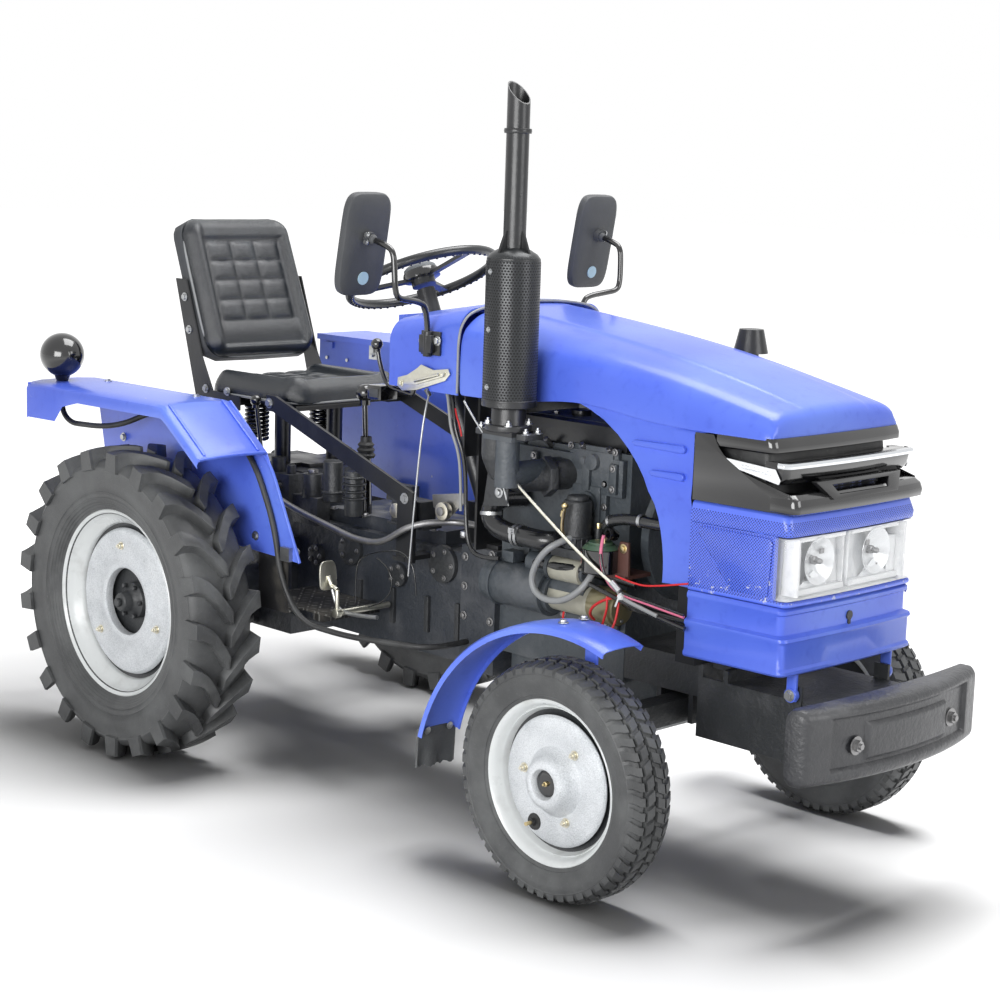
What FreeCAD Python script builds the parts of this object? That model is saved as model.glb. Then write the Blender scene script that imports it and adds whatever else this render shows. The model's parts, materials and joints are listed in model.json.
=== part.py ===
"""Compact two-wheel-drive farm tractor, parametric model in millimetres.

Frame: +X forward, +Y to the driver's left, +Z up. The origin is on the ground under the middle
of the machine. Every piece is drawn ahead of the rear axle and then placed as one sub-part.
"""

import FreeCAD, Part
import math
import os
import re

import Sketcher
from FreeCAD import Placement, Rotation, Vector

doc = FreeCAD.newDocument("farm_tractor")

# ---------------------------------------------------------------------------------------------
# Driving dimensions
# ---------------------------------------------------------------------------------------------

SIZES = {
    # stance
    "wheelbase": 1600,
    "rear_track": 1194,
    "front_track": 1050,
    "nose_reach": "=wheelbase + 600",
    "tail_reach": 690,
    # wheels
    "rear_tyre_radius": 442,
    "rear_tyre_width": 206,
    "rear_rim_radius": 262,
    "rear_disc_radius": 212,
    "rear_disc_hole": 62,
    "front_tyre_radius": 288,
    "front_tyre_width": 130,
    "front_rim_radius": "=front_tyre_radius - 92",
    "front_disc_radius": "=front_tyre_radius - 128",
    "tyre_wall": 14,
    "rim_sheet": 6,
    "axle_shaft_radius": 24,
    # front axle and steering
    "kingpin_track": 810,
    "kingpin_radius": 14,
    "running_gap": 0.4,
    "working_gap": 6,
    "axle_beam_height": 395,
    "axle_beam_size": 60,
    "pivot_radius": 15,
    "axle_barrel_radius": 30,
    "axle_barrel_height": 110,
    "stub_radius": 16,
    "steering_arm_length": 130,
    "tie_rod_height": 300,
    "rod_radius": 10,
    "ball_radius": 15,
    "stud_radius": 6,
    "cross_shaft_radius": 14,
    "drag_arm_length": 205,
    "drag_link_height": 480,
    "pitman_height": 730,
    # chassis
    "rail_half_gap": 130,
    "rail_sheet": 14,
    "rail_low": 440,
    "rail_high": 530,
    "support_low": 352,
    "support_high": 500,
    "support_front": "=wheelbase + 506",
    "engine_rear": 1000,
    "engine_front": 1440,
    "engine_half_width": 145,
    "engine_low": 425,
    "engine_high": 1000,
    "gearbox_half_width": 140,
    "gearbox_high": 700,
    "gearbox_low": 360,
    "diff_half_width": 165,
    "axle_tube_radius": 54,
    "final_drive_radius": 100,
    "final_drive_inner": "=rear_track / 2 - 237",
    "final_drive_outer": "=rear_track / 2 - 179",
    "lift_cover_high": 790,
    # front weight
    "weight_half_width": 345,
    "weight_low": 356,
    "weight_high": 536,
    "weight_end_depth": 40,
    # bonnet and nose
    "bonnet_rear": 952,
    "bonnet_nose": "=wheelbase + 345",
    "bonnet_half_width": 272,
    "nose_half_width": "=bonnet_half_width - 22",
    "bonnet_rear_height": 1333,
    "bonnet_front_height": 1166,
    "bonnet_edge": 1102,
    "bonnet_skin": 4,
    "nose_rear": "=wheelbase + 128",
    "nose_front": "=wheelbase + 414",
    "chin_front": "=wheelbase + 432",
    "nose_corner": 18,
    "lip_depth": 26,
    "nose_low": 572,
    "nose_seam": 654,
    "lamp_panel_low": 729,
    "lamp_panel_high": 943,
    "lamp_low": 741,
    "lamp_high": 890,
    "lamp_wrap": 46,
    "arch_radius": 390,
    "bonnet_pivot_x": "=wheelbase + 389",
    "bonnet_pivot_height": 517,
    "bonnet_pivot_half": "=nose_half_width - 64",
    "support_half_width": "=bonnet_pivot_half - 16",
    "pivot_pin_radius": 5,
    # cowl
    "cowl_rear": 672,
    "cowl_rear_height": 1300,
    "cowl_front_height": 1345,
    "cowl_low": 1104,
    # exhaust
    "flange_height": 1040,
    "flange_sheet": 12,
    "stack_x": 1210,
    "stack_side": "=bonnet_half_width + 78",
    "muffler_radius": 66,
    "muffler_low": 1112,
    "muffler_high": 1472,
    "gusset_height": 66,
    "stack_radius": 28,
    "stack_top": 1905,
    # steering wheel
    "steering_x": 510,
    "steering_height": 1373,
    "steering_tilt": 25,
    "steering_rim_radius": 208,
    "steering_grip_radius": 13,
    "column_radius": 26,
    # seat
    "seat_half_width": 205,
    "seat_rear": -190,
    "seat_front": 225,
    "seat_pan_height": 985,
    "seat_cushion_height": 70,
    "back_low": 1090,
    "back_high": 1492,
    "back_lean": 22,
    "back_thickness": 70,
    "seat_sheet": 5,
    "seat_arm_side": 242,
    "seat_arm_rear": 140,
    "seat_arm_front": 765,
    "seat_arm_low": 786,
    # rear fenders
    "fender_inner": "=rear_track / 2 - 167",
    "fender_outer": "=rear_track / 2 + 71",
    "fender_sheet": 4,
    "fender_height": 1022,
    "fender_rear": -455,
    "fender_break": 205,
    "fender_front": 370,
    "fender_front_height": 897,
    "skirt_low": 612,
    # toolbox
    "toolbox_rear": -440,
    "toolbox_front": 60,
    "toolbox_inner": "=rear_track / 2 - 163",
    "toolbox_outer": "=rear_track / 2 + 39",
    "toolbox_high": 1108,
    "toolbox_sheet": 3,
    "lid_high": 1122,
    "hinge_radius": 7,
    "hinge_pin_radius": 4,
    "hinge_stand": 10,
    "hinge_length": 24,
    "lid_overhang": 9,
    # front fenders
    "front_fender_radius": 462,
    "front_fender_x": 20,
    "front_fender_z": 196,
    "front_fender_inner": 462,
    "front_fender_outer": 592,
    "guard_front_angle": 69,
    "guard_rear_angle": 14,
    "guard_flap_depth": 90,
    "guard_stay_half_width": 18,
    "guard_stay_sheet": 8,
    # footplates
    "footplate_height": 470,
    "footplate_rear": 250,
    "footplate_front": 572,
    "footplate_inner": 160,
    "footplate_outer": "=rear_track / 2 - 229",
    "footplate_sheet": 6,
    # mirrors
    "mirror_x": 752,
    "mirror_side": 433,
    "mirror_height": 1482,
    "mirror_tall": 268,
    "mirror_wide": 150,
    "mirror_depth": 26,
    "mirror_lean": 10,
    "mirror_tube_radius": 8,
    # work lamp
    "work_lamp_x": -395,
    "work_lamp_side": "=rear_track / 2 - 12",
    "work_lamp_height": 1102,
    "work_lamp_radius": 64,
    # hoses and pipes
    "conduit_radius": 8,
    "pipe_radius": 9,
    "hose_radius": 20,
    # rear linkage
    "rockshaft_x": -120,
    "rockshaft_height": 740,
    "rockshaft_radius": 22,
    "lift_arm_length": 240,
    "lift_arm_side": 196,
    "lift_arm_sheet": 18,
    "link_front_x": -10,
    "link_front_side": 180,
    "link_height": 345,
    "link_rear_side": 342,
    "link_ball_radius": 22,
    "link_ball_bore": 11.2,
    "link_eye_x": -390,
    "link_half_height": 24,
    "link_pin_radius": 14,
    "top_link_x": -215,
    "top_link_height": 628,
    "top_link_hole": 9.65,
    "power_shaft_radius": 17.45,
    "power_shaft_height": 505,
    "power_shaft_length": 90,
    "drawbar_hole": 13,
}

sheet = doc.addObject("Spreadsheet::Sheet", "sizes")
for row, (alias, value) in enumerate(SIZES.items(), start=1):
    sheet.set(f"A{row}", alias.replace("_", " "))
    sheet.set(f"B{row}", str(value))
    sheet.setAlias(f"B{row}", alias)
doc.recompute()

# where the rear axle stands, so that the origin is midway between nose and tail
REAR_AXLE = "(tail_reach - nose_reach) / 2"
# the steering box sits where the tilted column comes down to the cross shaft
PITMAN_X = "(steering_x + (steering_height - pitman_height) * tan(steering_tilt * 1 deg))"
DRAG_SIDE = "(kingpin_track / 2 - drag_arm_length)"
BARREL_HIGH = "(axle_beam_height + axle_barrel_height / 2)"
BARREL_LOW = "(axle_beam_height - axle_barrel_height / 2)"


# ---------------------------------------------------------------------------------------------
# Helpers: every one makes document objects whose sizes are tied to the sheet
# ---------------------------------------------------------------------------------------------

def tied(formula):
    """The formula with each named size written as a reference to its cell."""
    def reference(match):
        word = match.group(0)
        return f"sizes.{word}" if word in SIZES else word
    return re.sub(r"[a-z_]+[a-z_0-9]*", reference, str(formula))


def measure(formula):
    """The number that a formula of named sizes comes to."""
    return float(sheet.evalExpression(tied(formula)))


def bind(item, **formulas):
    for name, formula in formulas.items():
        item.setExpression(name.replace("__", "."), tied(formula))


def place(item, x, y, z):
    bind(item, Placement__Base__x=x, Placement__Base__y=y, Placement__Base__z=z)


def box(name, x, y, z):
    """A block between two formulas along each axis."""
    block = doc.addObject("Part::Box", name)
    bind(block, Length=f"({x[1]}) - ({x[0]})", Width=f"({y[1]}) - ({y[0]})",
         Height=f"({z[1]}) - ({z[0]})")
    place(block, x[0], y[0], z[0])
    return block


AXIS_TURNS = {
    "x": Rotation(Vector(0, 1, 0), 90),
    "y": Rotation(Vector(1, 0, 0), -90),
    "z": Rotation(),
}


def rod(name, axis, radius, span, across, kind="Part::Cylinder"):
    """A round bar along an axis, from span[0] to span[1], at the other two places."""
    bar = doc.addObject(kind, name)
    bar.Placement = Placement(Vector(), AXIS_TURNS[axis])
    bind(bar, Radius=radius, Height=f"({span[1]}) - ({span[0]})")
    spots = {"x": (span[0], across[0], across[1]),
             "y": (across[0], span[0], across[1]),
             "z": (across[0], across[1], span[0])}[axis]
    place(bar, *spots)
    return bar


def ball(name, radius, x, y, z):
    sphere = doc.addObject("Part::Sphere", name)
    bind(sphere, Radius=radius)
    place(sphere, x, y, z)
    return sphere


def outline(name, points):
    """A closed sketch whose corners are each tied to two formulas."""
    sketch = doc.addObject("Sketcher::SketchObject", name)
    corners = [Vector(measure(u), measure(v), 0) for u, v in points]
    count = len(corners)
    for index, corner in enumerate(corners):
        sketch.addGeometry(Part.LineSegment(corner, corners[(index + 1) % count]), False)
    for index in range(count):
        sketch.addConstraint(Sketcher.Constraint("Coincident", index, 2, (index + 1) % count, 1))
    for index, (u, v) in enumerate(points):
        across = sketch.addConstraint(
            Sketcher.Constraint("DistanceX", -1, 1, index, 1, corners[index].x))
        sketch.setExpression(f"Constraints[{across}]", tied(u))
        along = sketch.addConstraint(
            Sketcher.Constraint("DistanceY", -1, 1, index, 1, corners[index].y))
        sketch.setExpression(f"Constraints[{along}]", tied(v))
    return sketch


PLANE_TURNS = {
    "xy": Rotation(),
    "xz": Rotation(Vector(1, 0, 0), 90),
    "yz": Rotation(Vector(0, 1, 0), Vector(0, 0, 1), Vector(1, 0, 0)),
}
PLANE_AXES = {"xy": ("z", Vector(0, 0, 1)), "xz": ("y", Vector(0, 1, 0)), "yz": ("x", Vector(1, 0, 0))}


def plate(name, plane, points, low, high):
    """A flat outline in one plane, given thickness between two places across it."""
    sketch = outline(name + "_outline", points)
    axis, direction = PLANE_AXES[plane]
    sketch.Placement = Placement(Vector(), PLANE_TURNS[plane])
    sketch.setExpression(f"Placement.Base.{axis}", tied(low))
    slab = doc.addObject("Part::Extrusion", name)
    slab.Base = sketch
    slab.DirMode = "Custom"
    slab.Dir = direction
    slab.Solid = True
    bind(slab, LengthFwd=f"({high}) - ({low})")
    return slab


def turned(name, points, x, y, z):
    """A profile of (place along Y, radius) turned about an axis along Y through a centre."""
    sketch = outline(name + "_outline", points)
    sketch.Placement = Placement(Vector(), Rotation(Vector(0, 1, 0), Vector(0, 0, 1), Vector(1, 0, 0)))
    ring = doc.addObject("Part::Revolution", name)
    ring.Source = sketch
    ring.Axis = Vector(0, 1, 0)
    ring.Base = Vector(0, 0, 0)
    ring.Angle = 360
    ring.Solid = True
    place(ring, x, y, z)
    return ring


def fuse(name, *pieces):
    whole = doc.addObject("Part::MultiFuse", name)
    whole.Shapes = list(pieces)
    return whole


def cut(name, base, *tools):
    rest = doc.addObject("Part::Cut", name)
    rest.Base = base
    rest.Tool = tools[0] if len(tools) == 1 else fuse(name + "_tools", *tools)
    return rest


def mirrored(name, piece):
    """The same piece on the other side of the middle plane."""
    twin = doc.addObject("Part::Mirroring", name)
    twin.Source = piece
    twin.Normal = Vector(0, 1, 0)
    return twin


def both_sides(name, piece):
    """A piece on the left and its twin on the right, as two solids of one node."""
    pair = doc.addObject("Part::Compound", name)
    pair.Links = [piece, mirrored(name + "_twin", piece)]
    return pair


def skin(name, shape):
    """A curved shape that primitives and sketches don't give, kept as a plain feature."""
    feature = doc.addObject("Part::Feature", name)
    feature.Shape = shape
    return feature


def run_of_tube(points, radius):
    """A tube through points, with a tangent arc at each bend; prints its bend radii."""
    points = [Vector(*(measure(value) for value in point)) for point in points]
    edges = []
    start = points[0]
    radii = []
    for before, corner, after in zip(points, points[1:], points[2:]):
        back = (before - corner)
        ahead = (after - corner)
        shorter = min(back.Length, ahead.Length)
        back.normalize()
        ahead.normalize()
        half_turn = (math.pi - back.getAngle(ahead)) / 2
        reach = 0.45 * shorter
        radii.append(reach / math.tan(half_turn))
        entry = corner + back * reach
        leave = corner + ahead * reach
        inward = back + ahead
        inward.normalize()
        middle = corner + inward * (radii[-1] / math.cos(half_turn) - radii[-1])
        edges.append(Part.LineSegment(start, entry).toShape())
        edges.append(Part.Arc(entry, middle, leave).toShape())
        start = leave
    edges.append(Part.LineSegment(start, points[-1]).toShape())
    path = Part.Wire(edges)
    direction = points[1] - points[0]
    section = Part.Wire(Part.makeCircle(radius, points[0], direction))
    tube = path.makePipeShell([section], True, False)
    length_ratio = tube.Volume / (math.pi * radius ** 2 * path.Length)
    print("tube radii", [round(value) for value in radii], "volume ratio", round(length_ratio, 3))
    return tube


NODES = []


def sub_part(label, *pieces, joined=True):
    """The finished piece under its own label, placed where the rear axle stands."""
    if len(pieces) > 1 and joined:
        item = fuse(label, *pieces)
    else:
        item = doc.addObject("Part::Compound", label)
        item.Links = list(pieces)
    item.Label = label
    bind(item, Placement__Base__x=REAR_AXLE)
    NODES.append(item)
    return item


SIDES = {"right": -1, "left": 1}


def across(sign, near, far):
    """A span along Y from near to far of the middle plane, on the side that sign gives."""
    return (near, far) if sign > 0 else (f"-({far})", f"-({near})")


# ---------------------------------------------------------------------------------------------
# Wheels
# ---------------------------------------------------------------------------------------------

def tyre_profile(radius, width, rim):
    """Half of a tyre's closed section, mirrored about its middle plane."""
    outer = [(f"{width} * 0.36", f"{rim} - 8"), (f"{width} * 0.44", f"{rim} + 22"),
             (f"{width} * 0.5", f"({rim} + {radius}) / 2"), (f"{width} * 0.49", f"{radius} - 36"),
             (f"{width} * 0.46", f"{radius} - 9"), (f"{width} * 0.3", radius)]
    inner = [(f"{width} * 0.36 - tyre_wall", f"{rim} - 8"),
             (f"{width} * 0.44 - tyre_wall", f"{rim} + 24"),
             (f"{width} * 0.5 - tyre_wall", f"({rim} + {radius}) / 2"),
             (f"{width} * 0.4 - tyre_wall", f"{radius} - 40 - tyre_wall")]
    far = [(f"-({u})", v) for u, v in outer]
    far_inner = [(f"-({u})", v) for u, v in inner]
    return outer + far[::-1] + far_inner + inner[::-1]


def rim_profile(radius, width):
    """The rolled section of a rim: flange, bead seat and well, mirrored to its other edge."""
    outer = [(f"{width} * 0.35", radius), (f"{width} * 0.33", f"{radius} - 14"),
             (f"{width} * 0.12", f"{radius} - 16"), (f"{width} * 0.08", f"{radius} - 34")]
    inner = [(f"{width} * 0.35 + rim_sheet", radius),
             (f"{width} * 0.33 + rim_sheet", f"{radius} - 14 - rim_sheet"),
             (f"{width} * 0.12 + rim_sheet", f"{radius} - 16 - rim_sheet"),
             (f"{width} * 0.08 + rim_sheet", f"{radius} - 34 - rim_sheet")]
    far = [(f"-({u})", v) for u, v in outer]
    far_inner = [(f"-({u})", v) for u, v in inner]
    return outer + far[::-1] + far_inner + inner[::-1]


def tyre(end, side):
    sign = SIDES[side]
    centre_x = "0" if end == "rear" else "wheelbase"
    ring = turned(f"{end}_{side}_tread",
                  tyre_profile(f"{end}_tyre_radius", f"{end}_tyre_width", f"{end}_rim_radius"),
                  centre_x, f"{sign} * {end}_track / 2", f"{end}_tyre_radius")
    sub_part(f"{end}_tyre_{side}", ring)


def wheel_lugs(end, side, sign, centre_x, count, reach, at):
    """Welded lugs that hold the cast disc to the rim's well."""
    lugs = []
    for index in range(count):
        lug = doc.addObject("Part::Box", f"{end}_{side}_lug_{index}")
        bind(lug, Length=reach, Width="12", Height="46")
        turn = Rotation(Vector(0, 1, 0), 360 / count * index)
        centre = turn.multVec(Vector(0, 0, -23))
        lug.Placement = Placement(centre, turn)
        place(lug, f"{centre_x} + {centre.x}", f"{sign} * {end}_track / 2 + {at}",
              f"{end}_tyre_radius + {centre.z}")
        lugs.append(lug)
    return lugs


def rear_wheel(side):
    sign = SIDES[side]
    middle = f"{sign} * rear_track / 2"
    rim = turned(f"rear_{side}_rim", rim_profile("rear_rim_radius", "rear_tyre_width"),
                 "0", middle, "rear_tyre_radius")
    disc = turned(f"rear_{side}_disc", [
        (f"{sign} * 6", "rear_disc_hole"), (f"{sign} * 6", "rear_disc_hole + 44"),
        (f"{sign} * 22", "rear_disc_hole + 66"), (f"{sign} * 22", "rear_disc_radius"),
        (f"{sign} * 34", "rear_disc_radius"), (f"{sign} * 34", "rear_disc_hole + 62"),
        (f"{sign} * 20", "rear_disc_hole + 40"), (f"{sign} * 20", "rear_disc_hole")],
        "0", middle, "rear_tyre_radius")
    lugs = wheel_lugs("rear", side, sign, "0", 6, "rear_rim_radius - 30", "0" if sign < 0 else "-12")
    spider = turned(f"rear_{side}_flange", [
        (f"-{sign} * 34", "0"), (f"-{sign} * 34", "84"), (f"{sign} * 8", "84"),
        (f"{sign} * 8", "40"), (f"{sign} * 26", "40"), (f"{sign} * 26", "20"),
        (f"{sign} * 46", "20"), (f"{sign} * 46", "0")],
        "0", middle, "rear_tyre_radius")
    shaft_from = f"{sign} * final_drive_outer" if sign > 0 else f"{sign} * rear_track / 2 - 40"
    shaft_to = f"{sign} * rear_track / 2 + 40" if sign > 0 else f"{sign} * final_drive_outer"
    shaft = rod(f"rear_{side}_half_shaft", "y", "axle_shaft_radius", (shaft_from, shaft_to),
                ("0", "rear_tyre_radius"))
    sub_part(f"rear_wheel_{side}", rim, disc, spider, shaft, *lugs)


def front_wheel(side):
    sign = SIDES[side]
    middle = f"{sign} * front_track / 2"
    rim = turned(f"front_{side}_rim", rim_profile("front_rim_radius", "front_tyre_width"),
                 "wheelbase", middle, "front_tyre_radius")
    disc = turned(f"front_{side}_disc", [
        (f"{sign} * 4", "stub_radius + running_gap"), (f"{sign} * 4", "60"),
        (f"{sign} * 12", "front_disc_radius"), (f"{sign} * 24", "front_disc_radius"),
        (f"{sign} * 20", "96"), (f"{sign} * 34", "52"), (f"{sign} * 52", "44"),
        (f"{sign} * 56", "34"), (f"{sign} * 60", "34"), (f"{sign} * 66", "22"), (f"{sign} * 66", "0"),
        (f"{sign} * 52", "0"), (f"{sign} * 52", "stub_radius + running_gap")],
        "wheelbase", middle, "front_tyre_radius")
    lugs = wheel_lugs("front", side, sign, "wheelbase", 6, "front_rim_radius - 30", "6" if sign > 0 else "-18")
    hub_from = f"{sign} * (kingpin_track / 2 + 40)" if sign > 0 else f"{sign} * front_track / 2 - 10"
    hub_to = f"{sign} * front_track / 2 + 10" if sign > 0 else f"{sign} * (kingpin_track / 2 + 40)"
    hub = rod(f"front_{side}_hub", "y", "44", (hub_from, hub_to), ("wheelbase", "front_tyre_radius"))
    lug_ring = cut(f"front_{side}_lug_ring", fuse(f"front_{side}_lugs", *lugs),
                   rod(f"front_{side}_lug_clear", "y", "90", (f"{middle} - 40", f"{middle} + 40"),
                       ("wheelbase", "front_tyre_radius")))
    whole = fuse(f"front_{side}_blank", rim, disc, hub, lug_ring)
    bore = rod(f"front_{side}_bore", "y", "stub_radius + running_gap",
               (f"{middle} - 100", f"{middle} + 52") if sign > 0 else (f"{middle} - 52", f"{middle} + 100"),
               ("wheelbase", "front_tyre_radius"))
    sub_part(f"front_wheel_{side}", cut(f"front_{side}_wheel_bored", whole, bore))


# ---------------------------------------------------------------------------------------------
# Front axle and steering
# ---------------------------------------------------------------------------------------------

def front_axle():
    half = "axle_beam_size / 2"
    beam = box("beam", (f"wheelbase - {half}", f"wheelbase + {half}"),
               ("-kingpin_track / 2", "kingpin_track / 2"),
               (f"axle_beam_height - {half}", f"axle_beam_height + {half} - 2"))
    boss = rod("beam_boss", "x", "44", ("wheelbase - 38", "wheelbase + 38"), ("0", "axle_beam_height"))
    solids = [beam, boss]
    bores = [rod("beam_pivot_bore", "x", "pivot_radius + running_gap", ("wheelbase - 60", "wheelbase + 60"),
                 ("0", "axle_beam_height"))]
    for side, sign in SIDES.items():
        spot = ("wheelbase", f"{sign} * kingpin_track / 2")
        span = ("axle_beam_height - axle_barrel_height / 2", "axle_beam_height + axle_barrel_height / 2")
        solids.append(rod(f"barrel_{side}", "z", "axle_barrel_radius", span, spot))
        bores.append(rod(f"barrel_bore_{side}", "z", "kingpin_radius + running_gap",
                         (f"{span[0]} - 5", f"{span[1]} + 5"), spot))
    sub_part("front_axle", cut("axle_bored", fuse("axle_blank", *solids), *bores))


def knuckle(side):
    sign = SIDES[side]
    pin_y = f"{sign} * kingpin_track / 2"
    pin = rod(f"kingpin_{side}", "z", "kingpin_radius", (f"{BARREL_LOW} - 20", f"{BARREL_HIGH} + 16"),
              ("wheelbase", pin_y))
    forging = box(f"forging_{side}", ("wheelbase - 30", "wheelbase + 30"),
                  (f"{pin_y} - 26", f"{pin_y} + 26"), ("front_tyre_radius - 34", f"{BARREL_LOW} - 2"))
    stub = rod(f"stub_{side}", "y", "stub_radius", across(sign, "kingpin_track / 2", "front_track / 2 + 44"),
               ("wheelbase", "front_tyre_radius"))
    eye = ("wheelbase - steering_arm_length", pin_y)
    arm_level = ("tie_rod_height - 26", "tie_rod_height - 14")
    arm = box(f"arm_{side}", ("wheelbase - steering_arm_length", "wheelbase"),
              (f"{pin_y} - 14", f"{pin_y} + 14"), arm_level)
    arm_end = rod(f"arm_end_{side}", "z", "20", arm_level, eye)
    stud = rod(f"arm_stud_{side}", "z", "stud_radius", ("tie_rod_height - 26", "tie_rod_height - 2"), eye)
    pieces = [pin, forging, stub, arm, arm_end, stud]
    top = (f"{BARREL_HIGH} + 2", f"{BARREL_HIGH} + 14")
    if side == "left":
        pieces.append(box("drag_arm", ("wheelbase - 16", "wheelbase + 16"), (DRAG_SIDE, pin_y), top))
        pieces.append(rod("drag_arm_end", "z", "20", top, ("wheelbase", DRAG_SIDE)))
    else:
        pieces.append(rod("kingpin_cap", "z", "22", top, ("wheelbase", pin_y)))
    sub_part(f"knuckle_{side}", *pieces)


def tie_rod():
    """Joins the two steering arms behind the axle; its ball ends sit on the arms' studs."""
    half = "kingpin_track / 2"
    spot = ("wheelbase - steering_arm_length", "tie_rod_height")
    bar = rod("tie_bar", "y", "rod_radius", (f"-{half}", half), spot)
    ends = [ball(f"tie_ball_{side}", "ball_radius", spot[0], f"{sign} * {half}", spot[1])
            for side, sign in SIDES.items()]
    sockets = [rod(f"tie_socket_{side}", "z", "stud_radius + running_gap",
                   ("tie_rod_height - 30", "tie_rod_height"),
                   (spot[0], f"{sign} * {half}")) for side, sign in SIDES.items()]
    sub_part("tie_rod", cut("tie_rod_bored", fuse("tie_rod_blank", bar, *ends), *sockets))


def drag_link():
    """Bar from the pitman arm's stud to the left knuckle's upper arm, ball ends clear of that arm."""
    bar = rod("drag_bar", "x", "rod_radius", (PITMAN_X, "wheelbase"), (DRAG_SIDE, "drag_link_height"))
    rear = ball("drag_ball_rear", "ball_radius", PITMAN_X, DRAG_SIDE, "drag_link_height")
    front = ball("drag_ball_front", "ball_radius", "wheelbase", DRAG_SIDE, "drag_link_height")
    socket = rod("drag_socket_rear", "y", "stud_radius + running_gap", (f"{DRAG_SIDE} - 30", DRAG_SIDE),
                 (PITMAN_X, "drag_link_height"))
    sub_part("drag_link", cut("drag_link_bored", fuse("drag_blank", bar, rear, front), socket))


def pitman_arm():
    face = (f"{DRAG_SIDE} - 30", f"{DRAG_SIDE} - 18")
    shank = box("pitman_shank", (f"{PITMAN_X} - 15", f"{PITMAN_X} + 15"), face,
                ("drag_link_height", "pitman_height"))
    top = rod("pitman_eye", "y", "cross_shaft_radius * 2", face, (PITMAN_X, "pitman_height"))
    foot = rod("pitman_foot", "y", "20", face, (PITMAN_X, "drag_link_height"))
    stud = rod("pitman_stud", "y", "stud_radius", (f"{DRAG_SIDE} - 20", f"{DRAG_SIDE} - 2"),
               (PITMAN_X, "drag_link_height"))
    bore = rod("pitman_bore", "y", "cross_shaft_radius + running_gap", (f"{DRAG_SIDE} - 40", DRAG_SIDE),
               (PITMAN_X, "pitman_height"))
    sub_part("pitman_arm", cut("pitman_bored", fuse("pitman_blank", shank, top, foot, stud), bore))


def steering_column():
    """Column tube down to the steering box, whose cross shaft carries the pitman arm."""
    tube = doc.addObject("Part::Cylinder", "column_tube")
    tube.Placement = Placement(Vector(), Rotation(Vector(0, -1, 0), measure("steering_tilt")))
    bind(tube, Radius="column_radius", Placement__Rotation__Angle="steering_tilt * 1 deg",
         Height="(steering_height - column_radius - working_gap - pitman_height) / cos(steering_tilt * 1 deg)")
    place(tube, PITMAN_X, "0", "pitman_height")
    case = box("steering_box", (f"{PITMAN_X} - 52", f"{PITMAN_X} + 52"), ("-40", "130"),
               ("gearbox_high - 40", "pitman_height + 50"))
    shaft = rod("cross_shaft", "y", "cross_shaft_radius", ("120", f"{DRAG_SIDE} - 14"),
                (PITMAN_X, "pitman_height"))
    sub_part("steering_column", tube, case, shaft)


def steering_wheel():
    """Rim, three spokes and hub, drawn flat and tilted back with the column."""
    rim = doc.addObject("Part::Torus", "steering_rim")
    bind(rim, Radius1="steering_rim_radius", Radius2="steering_grip_radius")
    hub = rod("steering_hub", "z", "34", ("-24", "18"), ("0", "0"))
    cap = rod("steering_cap", "z", "44", ("4", "24"), ("0", "0"))
    spokes = []
    for index, angle in enumerate((0, 120, 240)):
        spoke = doc.addObject("Part::Box", f"spoke_{index}")
        bind(spoke, Length="steering_rim_radius", Width="22", Height="10")
        turn = Rotation(Vector(0, 0, 1), angle)
        spoke.Placement = Placement(turn.multVec(Vector(0, -11, -8)), turn)
        spokes.append(spoke)
    whole = fuse("steering_wheel_flat", rim, hub, cap, *spokes)
    whole.Placement = Placement(Vector(), Rotation(Vector(0, -1, 0), measure("steering_tilt")))
    bind(whole, Placement__Rotation__Angle="steering_tilt * 1 deg")
    place(whole, "steering_x", "0", "steering_height")
    sub_part("steering_wheel", whole)


# ---------------------------------------------------------------------------------------------
# Chassis: front support, engine, gearbox, rear axle
# ---------------------------------------------------------------------------------------------

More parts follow.
